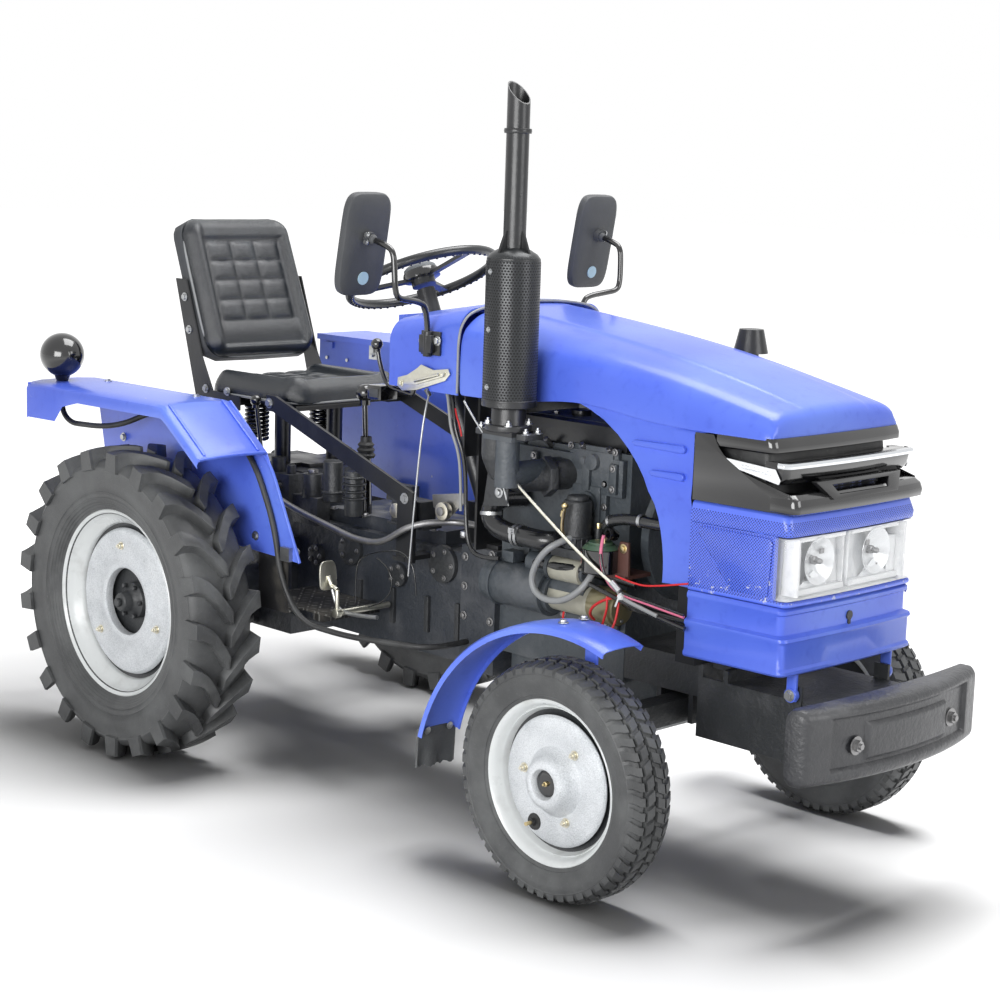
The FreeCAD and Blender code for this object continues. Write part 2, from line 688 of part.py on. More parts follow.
def front_support():
    """Rails beside the axle pivot and the deeper box that carries radiator, nose and weight."""
    bay = "wheelbase + 100"
    box_rear = "wheelbase + 190"
    pieces = [
        box("support_deck", ("engine_front", box_rear), ("-rail_half_gap - 4", "rail_half_gap + 4"),
            ("rail_high - 12", "rail_high")),
        box("support_bridge", (bay, f"{bay} + rail_sheet"), ("-support_half_width", "support_half_width"),
            ("support_low", "rail_high")),
        box("support_step", (f"{box_rear} - rail_sheet", box_rear),
            ("-support_half_width", "support_half_width"),
            ("support_high - 12", "rail_high")),
        box("support_top", (f"{box_rear} - rail_sheet", "support_front"),
            ("-support_half_width", "support_half_width"), ("support_high - 12", "support_high")),
        box("support_face", ("support_front - rail_sheet", "support_front"),
            ("-support_half_width", "support_half_width"), ("support_low", "support_high")),
        rod("axle_pivot_pin", "x", "pivot_radius", ("wheelbase - 66", "wheelbase + 66"),
            ("0", "axle_beam_height"))]
    for name, offset in (("rear", -58), ("front", 44)):
        pieces.append(box(f"pivot_hanger_{name}",
                          (f"wheelbase + {offset}", f"wheelbase + {offset} + rail_sheet"),
                          ("-rail_half_gap - 4", "rail_half_gap + 4"), ("axle_beam_height - 30", "rail_high")))
    for side, sign in SIDES.items():
        pieces.append(box(f"rail_{side}", ("engine_front", bay),
                          across(sign, "rail_half_gap", "rail_half_gap + rail_sheet"),
                          ("rail_low", "rail_high")))
        pieces.append(box(f"cheek_{side}", (bay, "support_front"),
                          across(sign, "support_half_width - rail_sheet", "support_half_width"),
                          ("support_low", "support_high")))
        ear = across(sign, "bonnet_pivot_half - 18", "bonnet_pivot_half - 10")
        pieces.append(box(f"pivot_ear_{side}", ("bonnet_pivot_x - 20", "bonnet_pivot_x + 20"), ear,
                          ("support_high - 40", "bonnet_pivot_height + 20")))
        pieces.append(rod(f"pivot_bolt_{side}", "y", "pivot_pin_radius",
                          across(sign, "bonnet_pivot_half - 18", "bonnet_pivot_half + 12"),
                          ("bonnet_pivot_x", "bonnet_pivot_height")))
    sub_part("front_support", *pieces)


def front_weight():
    """Cast block with a bowed face: the end corners stand back from the middle."""
    half = measure("weight_half_width")
    front = measure("nose_reach")
    rear = measure("support_front")
    end = rear + measure("weight_end_depth")
    low = measure("weight_low")
    corners = [Vector(rear, -half, low), Vector(end, -half, low), Vector(front, 0, low),
               Vector(end, half, low), Vector(rear, half, low)]
    edges = [Part.LineSegment(corners[0], corners[1]).toShape(),
             Part.Arc(corners[1], corners[2], corners[3]).toShape(),
             Part.LineSegment(corners[3], corners[4]).toShape(),
             Part.LineSegment(corners[4], corners[0]).toShape()]
    block = Part.Face(Part.Wire(edges)).extrude(Vector(0, 0, measure("weight_high") - low))
    rounded = [edge for edge in block.Edges
               if edge.BoundBox.XLength + edge.BoundBox.YLength > half / 3 and edge.BoundBox.XMax > end]
    block = block.makeFillet(14, rounded)
    recess = Part.makeBox(60, half * 1.46, 110, Vector(front - 26, -half * 0.73, low + 36))
    pad = Part.makeBox(40, half * 0.98, 60, Vector(front - 44, -half * 0.49, low + 60))
    block = block.cut(recess).fuse(pad)
    sub_part("front_weight", skin("weight_casting", block))


def engine():
    """Plain block of the engine with its sump, head cover, starter, manifold and pump."""
    side = "engine_half_width"
    block = box("engine_block", ("engine_rear", "engine_front"), (f"-{side}", side),
                ("engine_low", "engine_high"))
    sump = box("engine_sump", ("engine_rear + 20", "engine_front - 70"),
               ("-rail_half_gap + 15", "rail_half_gap - 15"),
               ("engine_low - 85", "engine_low"))
    head = box("head_cover", ("engine_rear + 40", "engine_front - 40"), ("-85", "85"),
               ("engine_high", "engine_high + 60"))
    starter = rod("starter_motor", "x", "46", ("engine_rear + 150", "engine_front - 60"),
                  (f"-{side} - 50", "640"))
    solenoid = rod("starter_solenoid", "x", "26", ("engine_rear + 170", "engine_front - 130"),
                   (f"-{side} - 62", "700"))
    seat = box("starter_seat", ("engine_rear + 160", "engine_front - 120"), (f"-{side} - 50", f"-{side}"),
               ("600", "690"))
    port = rod("exhaust_port", "y", "30", ("-stack_side", f"-{side}"), ("stack_x", "engine_high - 60"))
    riser = rod("exhaust_riser", "z", "30", ("engine_high - 90", "flange_height - 6"),
                ("stack_x", "-stack_side"))
    flange = box("exhaust_flange", ("stack_x - 50", "stack_x + 50"), ("-stack_side - 38", "-stack_side + 38"),
                 ("flange_height - flange_sheet", "flange_height"))
    pump = box("injection_pump", ("engine_rear + 120", "engine_front - 120"), (side, f"{side} + 60"),
               ("640", "780"))
    pulley = rod("fan_pulley", "x", "60", ("engine_front", "engine_front + 70"), ("0", "760"))
    fan = rod("fan_disc", "x", "170", ("engine_front + 60", "engine_front + 84"), ("0", "800"))
    sub_part("engine", block, sump, head, starter, solenoid, seat, port, riser, flange, pump, pulley, fan)


def gearbox():
    """Bell housing behind the engine, then the gearbox back to the rear axle."""
    bell = box("bell_housing", ("engine_rear - 130", "engine_rear"), ("-165", "165"),
               ("gearbox_low - 5", "gearbox_high - 10"))
    case = box("gear_case", ("160", "engine_rear - 130"), ("-gearbox_half_width", "gearbox_half_width"),
               ("gearbox_low", "gearbox_high - 40"))
    lid = box("gear_lid", ("260", "engine_rear - 250"), ("-gearbox_half_width + 30", "gearbox_half_width - 30"),
              ("gearbox_high - 40", "gearbox_high"))
    sub_part("gearbox_housing", bell, case, lid)


def rear_axle():
    """Differential case with the lift cover, the lower links' pins and the top link's bracket."""
    pieces = [box("diff_case", ("-190", "160"), ("-diff_half_width", "diff_half_width"), ("310", "600")),
              box("lift_cover", ("-180", "160"), ("-130", "130"), ("600", "lift_cover_high"))]
    for side, sign in SIDES.items():
        pieces.append(rod(f"link_pin_{side}", "y", "link_pin_radius",
                          across(sign, "diff_half_width - 15", "link_front_side + 32"),
                          ("link_front_x", "link_height")))
        pieces.append(box(f"top_link_cheek_{side}", ("top_link_x - 22", "-180"), across(sign, "22", "32"),
                          ("top_link_height - 34", "top_link_height + 34")))
    hole = rod("top_link_bore", "y", "top_link_hole", ("-60", "60"), ("top_link_x", "top_link_height"))
    rock = rod("rockshaft_bore", "y", "rockshaft_radius + running_gap", ("-300", "300"),
               ("rockshaft_x", "rockshaft_height"))
    shaft = rod("power_shaft_bore", "x", "power_shaft_radius + 6", ("-200", "-150"),
                ("0", "power_shaft_height"))
    sub_part("rear_axle_housing", cut("axle_housing_bored", fuse("axle_blank_rear", *pieces), hole, rock,
                                      shaft))


def final_drives():
    """Axle tubes with their drums, and the posts that carry the guards, one solid a side."""
    tube = rod("axle_tube", "y", "axle_tube_radius", ("diff_half_width", "final_drive_inner + 10"),
               ("0", "rear_tyre_radius"))
    drum = rod("brake_drum", "y", "final_drive_radius",
               ("final_drive_inner", "final_drive_outer - working_gap"),
               ("0", "rear_tyre_radius"))
    post = box("guard_post", ("-60", "60"), ("final_drive_outer - 18", "fender_inner"),
               ("rear_tyre_radius + 60", "skirt_low + 70"))
    sub_part("final_drives", both_sides("drives", fuse("drive_left", tube, drum, post)))


def drawbar():
    bar = box("drawbar_plate", ("-400", "-60"), ("-35", "35"), ("288", "308"))
    hole = rod("drawbar_bore", "z", "drawbar_hole", ("270", "330"), ("-370", "0"))
    sub_part("drawbar", cut("drawbar_bored", bar, hole))


def power_shaft():
    stub = rod("power_stub", "x", "power_shaft_radius", ("-190 - power_shaft_length", "-186"),
               ("0", "power_shaft_height"))
    collar = rod("power_collar", "x", "power_shaft_radius + 5", ("-190", "-152"), ("0", "power_shaft_height"))
    sub_part("power_shaft", stub, collar)


# ---------------------------------------------------------------------------------------------
# Rear linkage
# ---------------------------------------------------------------------------------------------

def lift_arms():
    shaft = rod("rockshaft", "y", "rockshaft_radius", ("-lift_arm_side - 12", "lift_arm_side + 12"),
                ("rockshaft_x", "rockshaft_height"))
    pieces = [shaft]
    for side, sign in SIDES.items():
        face = (f"{sign} * lift_arm_side - lift_arm_sheet / 2", f"{sign} * lift_arm_side + lift_arm_sheet / 2")
        pieces.append(box(f"lift_arm_{side}", ("rockshaft_x - lift_arm_length", "rockshaft_x"), face,
                          ("rockshaft_height - 24", "rockshaft_height + 24")))
        pieces.append(rod(f"lift_boss_{side}", "y", "36", face, ("rockshaft_x", "rockshaft_height")))
        pieces.append(rod(f"lift_eye_{side}", "y", "24", face,
                          ("rockshaft_x - lift_arm_length", "rockshaft_height")))
        pin = ("lift_arm_side", "lift_arm_side + 36") if sign > 0 else ("-lift_arm_side - 36", "-lift_arm_side")
        pieces.append(rod(f"lift_pin_{side}", "y", "9", pin,
                          ("rockshaft_x - lift_arm_length", "rockshaft_height")))
    sub_part("lift_arms", *pieces)


def lower_links():
    """Two flat links that spread to the rear, each with a bored ball at its end."""
    pieces = []
    for side, sign in SIDES.items():
        pieces.append(plate(f"link_bar_{side}", "xy", [
            ("link_front_x", f"{sign} * (link_front_side - 7)"),
            ("link_front_x", f"{sign} * (link_front_side + 7)"),
            ("-tail_reach + link_ball_radius", f"{sign} * (link_rear_side + 7)"),
            ("-tail_reach + link_ball_radius", f"{sign} * (link_rear_side - 7)")],
            "link_height - link_half_height", "link_height + link_half_height"))
        pieces.append(rod(f"link_ball_{side}", "y", "link_ball_radius + 8",
                          (f"{sign} * link_rear_side - 20", f"{sign} * link_rear_side + 20"),
                          ("-tail_reach + link_ball_radius + 8", "link_height")))
        pieces.append(rod(f"link_front_eye_{side}", "y", "30",
                          (f"{sign} * link_front_side - 11", f"{sign} * link_front_side + 11"),
                          ("link_front_x", "link_height")))
    blank = fuse("links_blank", *pieces)
    bores = []
    for side, sign in SIDES.items():
        bores.append(rod(f"link_bore_{side}", "y", "link_ball_bore",
                         (f"{sign} * link_rear_side - 40", f"{sign} * link_rear_side + 40"),
                         ("-tail_reach + link_ball_radius + 8", "link_height")))
        bores.append(rod(f"link_pin_bore_{side}", "y", "link_pin_radius + running_gap",
                         (f"{sign} * link_front_side - 30", f"{sign} * link_front_side + 30"),
                         ("link_front_x", "link_height")))
    sub_part("lower_links", cut("links_bored", blank, *bores))


def lift_rods():
    """Turnbuckle rods from the lift arms' pins down to the lower links."""
    pieces = []
    for side, sign in SIDES.items():
        top = (measure("rockshaft_x - lift_arm_length"), sign * measure("lift_arm_side + 28"),
               measure("rockshaft_height"))
        foot = (measure("link_eye_x"), sign * measure("lift_arm_side + 82"), measure("link_height + 52"))
        start = Vector(*top)
        end = Vector(*foot)
        bar = Part.makeCylinder(9, (end - start).Length, start, end - start)
        sleeve_from = start + (end - start) * 0.3
        sleeve = Part.makeCylinder(15, (end - start).Length * 0.35, sleeve_from, end - start)
        eye = Part.makeCylinder(20, 16, start - Vector(0, 8, 0), Vector(0, 1, 0))
        hole = Part.makeCylinder(9.4, 20, start - Vector(0, 10, 0), Vector(0, 1, 0))
        pieces.append(skin(f"lift_rod_{side}", bar.fuse(sleeve).fuse(eye).cut(hole)))
    sub_part("lift_rods", *pieces, joined=False)


# ---------------------------------------------------------------------------------------------
# Bonnet and nose
# ---------------------------------------------------------------------------------------------

def arch_section(x, half, crest, edge, shoulder):
    """One cross-section: flat foot, upright sides, round shoulders and a low crown."""
    rise = 18
    top = crest - rise
    points = {
        "foot_right": Vector(x, -half, edge), "side_right": Vector(x, -half, top - shoulder),
        "top_right": Vector(x, -half + shoulder, top), "crown": Vector(x, 0, crest),
        "top_left": Vector(x, half - shoulder, top), "side_left": Vector(x, half, top - shoulder),
        "foot_left": Vector(x, half, edge),
    }
    lean = shoulder * (1 - math.sqrt(0.5))
    right_mid = Vector(x, -half + lean, top - lean)
    left_mid = Vector(x, half - lean, top - lean)
    return Part.Wire([
        Part.LineSegment(points["foot_right"], points["side_right"]).toShape(),
        Part.Arc(points["side_right"], right_mid, points["top_right"]).toShape(),
        Part.Arc(points["top_right"], points["crown"], points["top_left"]).toShape(),
        Part.Arc(points["top_left"], left_mid, points["side_left"]).toShape(),
        Part.LineSegment(points["side_left"], points["foot_left"]).toShape(),
        Part.LineSegment(points["foot_left"], points["foot_right"]).toShape(),
    ])


def bonnet_height(share):
    """Crown height along the bonnet: nearly level at the rear, falling faster to the nose."""
    drop = measure("bonnet_rear_height - bonnet_front_height")
    return measure("bonnet_rear_height") - drop * (0.6 * share + 0.4 * share ** 3)


def bonnet():
    rear = measure("bonnet_rear")
    nose = measure("bonnet_nose")
    wide = measure("bonnet_half_width")
    narrow = measure("nose_half_width")
    edge = measure("bonnet_edge")
    wall = measure("bonnet_skin")

    def body(inset, first, last, foot):
        sections = []
        for share in (0.0, 0.35, 0.7, 0.93):
            half = wide + (narrow - wide) * share ** 2
            sections.append(arch_section(first + (last - first) * share, half - inset,
                                         bonnet_height(share) - inset, foot, 62 - inset))
        sections.append(arch_section(last, narrow - 6 - inset, bonnet_height(1.0) - 16 - inset, foot,
                                     26 - inset))
        return Part.makeLoft(sections, True)

    outer = body(0, rear, nose, edge)
    inner = body(wall, rear - 1, nose - wall, edge - 1)
    sub_part("bonnet", skin("bonnet_shell", outer.cut(inner)))


def side_panels():
    """Flat panels below the bonnet, cut away by the engine's arch."""
    half = "nose_half_width + 10"
    blank = box("side_blank", ("wheelbase - 210", "nose_rear"), (f"{half} - bonnet_skin", half),
                ("lamp_panel_low", "bonnet_edge"))
    arch = rod("side_arch", "y", "arch_radius", (f"{half} - 30", f"{half} + 20"),
               ("wheelbase - 345", "lamp_panel_low + 26"))
    sub_part("bonnet_side_panels", both_sides("side_panels", cut("side_panel_left", blank, arch)))


def nose_band(name, low, high, front, half, wall="bonnet_skin"):
    """A band of sheet around the nose: two sides, cut corners and a slightly bowed front."""
    def ring(inset):
        return [("nose_rear", f"({half}) + 10 - {inset}"),
                (f"({front}) - nose_corner - 8 - 0.4 * {inset}", f"({half}) - {inset}"),
                (f"({front}) - 8 - {inset}", f"({half}) - nose_corner - 0.4 * {inset}"),
                (f"({front}) - {inset}", f"({half}) / 3")]
    outer = ring("0")
    inner = ring(wall)
    far = [(u, f"-({v})") for u, v in outer]
    far_inner = [(u, f"-({v})") for u, v in inner]
    return plate(name, "xy", outer + far[::-1] + far_inner + inner[::-1], low, high)


def grille():
    """Black surround whose chin stands forward of its brow, with bars across the opening."""
    chin = nose_band("grille_chin", "lamp_panel_high", "lamp_panel_high + 44", "chin_front", "nose_half_width")
    middle = nose_band("grille_middle", "lamp_panel_high + 44", "bonnet_edge - 40", "chin_front - 34",
                       "nose_half_width")
    brow = nose_band("grille_brow", "bonnet_edge - 40", "bonnet_edge", "bonnet_nose + 14", "nose_half_width")
    mouth = box("grille_mouth", ("nose_front - 120", "chin_front + 20"),
                ("-nose_half_width * 0.72", "nose_half_width * 0.72"),
                ("lamp_panel_high + 52", "bonnet_edge - 48"))
    bars = [box(f"grille_bar_{index}", ("chin_front - 66", "chin_front - 44"),
                ("-nose_half_width * 0.8", "nose_half_width * 0.8"),
                (f"lamp_panel_high + {level}", f"lamp_panel_high + {level} + 10")) for index,
                level in enumerate((66, 94))]
    ledges = [
        nose_band("grille_step_low", "lamp_panel_high + 40", "lamp_panel_high + 48", "chin_front",
                  "nose_half_width", "lip_depth"),
        nose_band("grille_step_high", "bonnet_edge - 44", "bonnet_edge - 36", "chin_front - 30",
                  "nose_half_width", "lip_depth"),
    ]
    sub_part("grille", cut("grille_open", fuse("grille_blank", chin, middle, brow), mouth), *bars, *ledges)


def lamp_panel():
    band = nose_band("lamp_band", "lamp_panel_low", "lamp_panel_high", "nose_front", "nose_half_width")
    window = box("lamp_window", ("nose_front - lamp_wrap - 1", "chin_front + 20"),
                 ("-nose_half_width - 20", "nose_half_width + 20"), ("lamp_low - 1", "lamp_high + 1"))
    sub_part("headlamp_panel", cut("lamp_band_open", band, window))


def headlamps():
    """One lens unit across the nose that wraps round both corners."""
    body = plate("lamp_body", "xy", [
        ("nose_front - lamp_wrap", "nose_half_width + 2"),
        ("nose_front - nose_corner - 4", "nose_half_width + 2"),
        ("nose_front - 4", "nose_half_width - nose_corner + 2"), ("nose_front + 5", "nose_half_width / 3"),
        ("nose_front + 5", "-nose_half_width / 3"), ("nose_front - 4", "-nose_half_width + nose_corner - 2"),
        ("nose_front - nose_corner - 4", "-nose_half_width - 2"),
        ("nose_front - lamp_wrap", "-nose_half_width - 2")],
        "lamp_low", "lamp_high")
    sub_part("headlamps", body)


def nose_panel():
    """Stepped lower panel with the two hinge tabs that the whole bonnet tips on."""
    lower = nose_band("nose_lower", "nose_low", "nose_seam", "nose_front", "nose_half_width + 4")
    upper = nose_band("nose_upper", "nose_seam", "lamp_panel_low", "nose_front - 10", "nose_half_width - 2")
    shelf = nose_band("nose_shelf", "nose_seam - 3", "nose_seam + 3", "nose_front - 2", "nose_half_width + 2",
                      "18")
    pieces = [lower, upper, shelf]
    for side, sign in SIDES.items():
        face = ("bonnet_pivot_half - 4", "bonnet_pivot_half + 4") if sign > 0 else ("-bonnet_pivot_half - 4",
                                                                                    "-bonnet_pivot_half + 4")
        pieces.append(box(f"hinge_tab_{side}", ("bonnet_pivot_x - 14", "bonnet_pivot_x + 14"), face,
                          ("bonnet_pivot_height - 14", "nose_low + 40")))
        pieces.append(box(f"hinge_foot_{side}", ("bonnet_pivot_x - 10", "nose_front - 8"), face,
                          ("nose_low + 10", "nose_low + 40")))
    holes = [rod(f"hinge_hole_{side}", "y", "pivot_pin_radius + running_gap",
                 ("bonnet_pivot_half - 20", "bonnet_pivot_half + 20") if sign > 0
                 else ("-bonnet_pivot_half - 20", "-bonnet_pivot_half + 20"),
                 ("bonnet_pivot_x", "bonnet_pivot_height")) for side, sign in SIDES.items()]
    sub_part("nose_panel", cut("nose_holed", fuse("nose_blank", *pieces), *holes))


def radiator():
    core = box("radiator_core", ("wheelbase + 46", "wheelbase + 106"), ("-195", "195"), ("rail_high", "1040"))
    tank = box("radiator_tank", ("wheelbase + 42", "wheelbase + 110"), ("-200", "200"), ("1000", "1046"))
    neck = rod("radiator_neck", "z", "24", ("1040", "1066"), ("wheelbase + 76", "0"))
    sub_part("radiator", core, tank, neck)


# ---------------------------------------------------------------------------------------------
# Exhaust, air cleaner, cowl
# ---------------------------------------------------------------------------------------------

def exhaust():
    spot = ("stack_x", "-stack_side")
    flange = box("pipe_flange", ("stack_x - 50", "stack_x + 50"), ("-stack_side - 38", "-stack_side + 38"),
                 ("flange_height", "flange_height + flange_sheet"))
    neck = rod("muffler_neck", "z", "stack_radius", ("flange_height + 6", "muffler_low + 10"), spot)
    drum = rod("muffler_drum", "z", "muffler_radius", ("muffler_low", "muffler_high"), spot)
    base = rod("muffler_ring", "z", "muffler_radius + 3", ("muffler_low", "muffler_low + 12"), spot)
    pipe = rod("stack_pipe", "z", "stack_radius", ("muffler_high - 20", "stack_top"), spot)
    cone = doc.addObject("Part::Cone", "muffler_cone")
    bind(cone, Radius1="muffler_radius - 8", Radius2="stack_radius", Height="24")
    place(cone, "stack_x", "-stack_side", "muffler_high")
    wide = "muffler_radius - 6"
    gussets = []
    for name, plane, middle, thick in (("along", "xz", "stack_x", "-stack_side"),
                                       ("across", "yz", "-stack_side", "stack_x")):
        gussets.append(plate(f"gusset_{name}", plane, [
            (f"{middle} - ({wide})", "muffler_high - 2"), (f"{middle} + {wide}", "muffler_high - 2"),
            (f"{middle} + stack_radius + 3", "muffler_high + gusset_height"),
            (f"{middle} - stack_radius - 3", "muffler_high + gusset_height")], f"{thick} - 3", f"{thick} + 3"))
    bore = rod("stack_bore", "z", "stack_radius - 3", ("muffler_high + gusset_height + 20", "stack_top + 10"),
               spot)
    slant = plate("stack_slant", "xz", [("stack_x - 40", "stack_top + 1"), ("stack_x + 60", "stack_top + 1"),
                                        ("stack_x + 60", "stack_top - 110"),
                                        ("stack_x + stack_radius", "stack_top - 66")],
                  "-stack_side - 60", "-stack_side + 60")
    sub_part("exhaust", cut("exhaust_open", fuse("exhaust_blank", flange, neck, drum, base, pipe, cone,
                                                 *gussets), bore, slant))


def air_cleaner():
    """Oil-bath cleaner on the left with its round intake cap just above the bonnet's shoulder."""
    spot = ("1405", "bonnet_half_width + 73")
    can = rod("cleaner_can", "z", "62", ("830", "1100"), spot)
    pipe = rod("cleaner_pipe", "z", "22", ("1090", "1235"), spot)
    cap = doc.addObject("Part::Cone", "cleaner_cap")
    bind(cap, Radius1="46", Radius2="32", Height="62")
    place(cap, spot[0], spot[1], "1228")
    arm = box("cleaner_arm", ("1370", "1440"), ("engine_half_width", "bonnet_half_width + 28"), ("900", "940"))
    sub_part("air_cleaner", can, pipe, cap, arm)


def dash_cowl():
    """Sheet cowl behind the bonnet, with the sloping console that the column comes out of."""
    rear = measure("cowl_rear")
    front = measure("bonnet_rear - working_gap")
    half = measure("bonnet_half_width")
    low = measure("cowl_low")
    wall = measure("bonnet_skin")
    heights = (measure("cowl_rear_height"), measure("cowl_front_height"))

    def body(inset, first, last, foot):
        return Part.makeLoft([arch_section(first, half - 10 - inset, heights[0] - inset, foot, 62 - inset),
                              arch_section(last, half - inset, heights[1] - inset, foot, 62 - inset)], True)

    shell = body(0, rear, front, low).cut(body(wall, rear + wall, front + 1, low - 1))
    outline_points = [Vector(rear + 30, -150, low + 60), Vector(rear - 90, -150, low + 160),
                      Vector(rear - 90, -150, heights[0] - 20), Vector(rear + 30, -150, heights[0] - 5)]
    console = Part.Face(Part.makePolygon(outline_points + outline_points[:1])).extrude(Vector(0, 300, 0))
    hollow = Part.Face(Part.makePolygon([
        Vector(rear + 40, -146, low + 60 + wall), Vector(rear - 90 + wall, -146, low + 162 + wall),
        Vector(rear - 90 + wall, -146, heights[0] - 20 - wall), Vector(rear + 40, -146, heights[0] - 5 - wall),
        Vector(rear + 40, -146, low + 60 + wall)])).extrude(Vector(0, 292, 0))
    shell = shell.fuse(console).cut(hollow)
    tilt = math.radians(measure("steering_tilt"))
    foot = Vector(measure(PITMAN_X), 0, measure("pitman_height"))
    along = Vector(-math.sin(tilt), 0, math.cos(tilt))
    clear = Part.makeCylinder(measure("column_radius + working_gap / 2"), 900, foot, along)
    sub_part("dash_cowl", skin("cowl_shell", shell.cut(clear)))


def dash_support():
    """Black bulkhead that stands on the bell housing and holds the cowl up."""
    wall = box("bulkhead", ("engine_rear - 60", "engine_rear - 52"), ("-190", "190"),
               ("gearbox_high - 10", "1180"))
    foot = box("bulkhead_foot", ("engine_rear - 65", "engine_rear - 10"), ("-150", "150"),
               ("gearbox_high - 10", "gearbox_high + 2"))
    arms = [box(f"cowl_arm_{side}", ("cowl_rear + 40", "engine_rear - 60"),
                ("180", "190") if sign > 0 else ("-190", "-180"),
                ("cowl_low + 10", "cowl_low + 40")) for side, sign in SIDES.items()]
    ties = [box(f"cowl_tie_{side}", ("cowl_rear + 60", "cowl_rear + 90"),
                ("180", "bonnet_half_width - 14") if sign > 0 else ("-bonnet_half_width + 14", "-180"),
                ("cowl_low + 10", "cowl_low + 16")) for side, sign in SIDES.items()]
    sub_part("dash_support", wall, foot, *arms, *ties)


# ---------------------------------------------------------------------------------------------
# Driver's place
# ---------------------------------------------------------------------------------------------

def seat_back():
    pad = box("back_pad", ("-back_thickness / 2", "back_thickness / 2"),
              ("-seat_half_width + 8", "seat_half_width - 8"),
              ("0", "(back_high - back_low) / cos(back_lean * 1 deg)"))
    soft = doc.addObject("Part::Fillet", "back_pad_soft")
    soft.Base = pad
    doc.recompute()
    soft.Edges = [(index + 1, 26.0, 26.0) for index in range(len(pad.Shape.Edges))]
    soft.Placement = Placement(Vector(), Rotation(Vector(0, -1, 0), measure("back_lean")))
    holder = doc.addObject("Part::Compound", "back_pad_leaning")
    holder.Links = [soft]
    place(holder, "seat_rear - 10", "0", "back_low")
    sub_part("seat_back", holder)


def seat_cushion():
    pad = box("cushion_pad", ("seat_rear + 10", "seat_front"), ("-seat_half_width", "seat_half_width"),
              ("seat_pan_height + seat_sheet", "seat_pan_height + seat_sheet + seat_cushion_height"))
    soft = doc.addObject("Part::Fillet", "cushion_pad_soft")
    soft.Base = pad
    doc.recompute()
    soft.Edges = [(index + 1, 26.0, 26.0) for index in range(len(pad.Shape.Edges))]
    sub_part("seat_cushion", soft)


def seat_frame():
    """Pan, the two bent side straps up the back, and the sprung stand under the pan."""
    pan = box("seat_pan", ("seat_rear - 10", "seat_front - 20"),
              ("-seat_half_width + 10", "seat_half_width - 10"),
              ("seat_pan_height", "seat_pan_height + seat_sheet"))
    pieces = [pan]
    strap = [("seat_rear - 34", "seat_pan_height - 30"), ("seat_rear + 170", "seat_pan_height - 30"),
             ("seat_rear + 170", "seat_pan_height + 12"), ("seat_rear + 40", "seat_pan_height + 16"),
             ("seat_rear - 12", "seat_pan_height + 110"), ("seat_rear - 95", "back_high - 170"),
             ("seat_rear - 145", "back_high - 170"), ("seat_rear - 62", "seat_pan_height + 60")]
    for side, sign in SIDES.items():
        face = ("seat_half_width + 14", "seat_half_width + 19") if sign > 0 else ("-seat_half_width - 19",
                                                                                  "-seat_half_width - 14")
        pieces.append(plate(f"seat_strap_{side}", "xz", strap, *face))
    cross = box("seat_cross", ("seat_rear + 60", "seat_rear + 110"),
                ("-seat_half_width - 16", "seat_half_width + 16"),
                ("seat_pan_height - 24", "seat_pan_height"))
    tower = box("seat_tower", ("-60", "120"), ("-70", "70"), ("lift_cover_high", "lift_cover_high + 12"))
    legs = [rod(f"seat_spring_{side}", "z", "24", ("lift_cover_high + 6", "seat_pan_height - 6"),
                ("30", f"{sign} * 100")) for side, sign in SIDES.items()]
    feet = box("spring_shelf", ("-20", "80"), ("-128", "128"), ("lift_cover_high", "lift_cover_high + 12"))
    beam = box("spring_beam", ("-60", "120"), ("-128", "128"), ("seat_pan_height - 24", "seat_pan_height"))
    sub_part("seat_frame", *pieces, cross, tower, feet, beam, *legs)


def rear_fenders():
    """Level top, sloping front, inner skirt and a turned-down lip that is deeper at the rear."""
    top = plate("fender_top", "xz", [
        ("fender_rear", "fender_height"), ("fender_break", "fender_height"),
        ("fender_front", "fender_front_height"),
        ("fender_front - fender_sheet", "fender_front_height - fender_sheet"),
        ("fender_break - fender_sheet / 2", "fender_height - fender_sheet"),
        ("fender_rear", "fender_height - fender_sheet")],
        "fender_inner", "fender_outer")
    skirt = plate("fender_skirt", "xz", [
        ("fender_rear + 10", "fender_height - 1"), ("fender_break", "fender_height - 1"),
        ("fender_front", "fender_front_height - 1"), ("fender_front + 147", "skirt_low"),
        ("fender_front - 106", "skirt_low + 8"), ("fender_rear + 150", "skirt_low + 8"),
        ("fender_rear + 60", "skirt_low + 180")],
        "fender_inner", "fender_inner + fender_sheet")
    lip = plate("fender_lip", "xz", [
        ("fender_rear", "fender_height - 1"), ("fender_break", "fender_height - 1"),
        ("fender_front", "fender_front_height - 1"), ("fender_front - 20", "fender_front_height - 26"),
        ("fender_break - 12", "fender_height - 30"), ("fender_rear + 260", "fender_height - 34"),
        ("fender_rear + 190", "fender_height - 52"), ("fender_rear + 145", "fender_height - 98"),
        ("fender_rear", "fender_height - 98")],
        "fender_outer - fender_sheet", "fender_outer")
    tail = box("fender_tail", ("fender_rear", "fender_rear + fender_sheet"), ("fender_inner", "fender_outer"),
               ("fender_height - 40", "fender_height - 1"))
    sub_part("rear_fenders", both_sides("fenders", fuse("fender_left", top, skirt, lip, tail)))


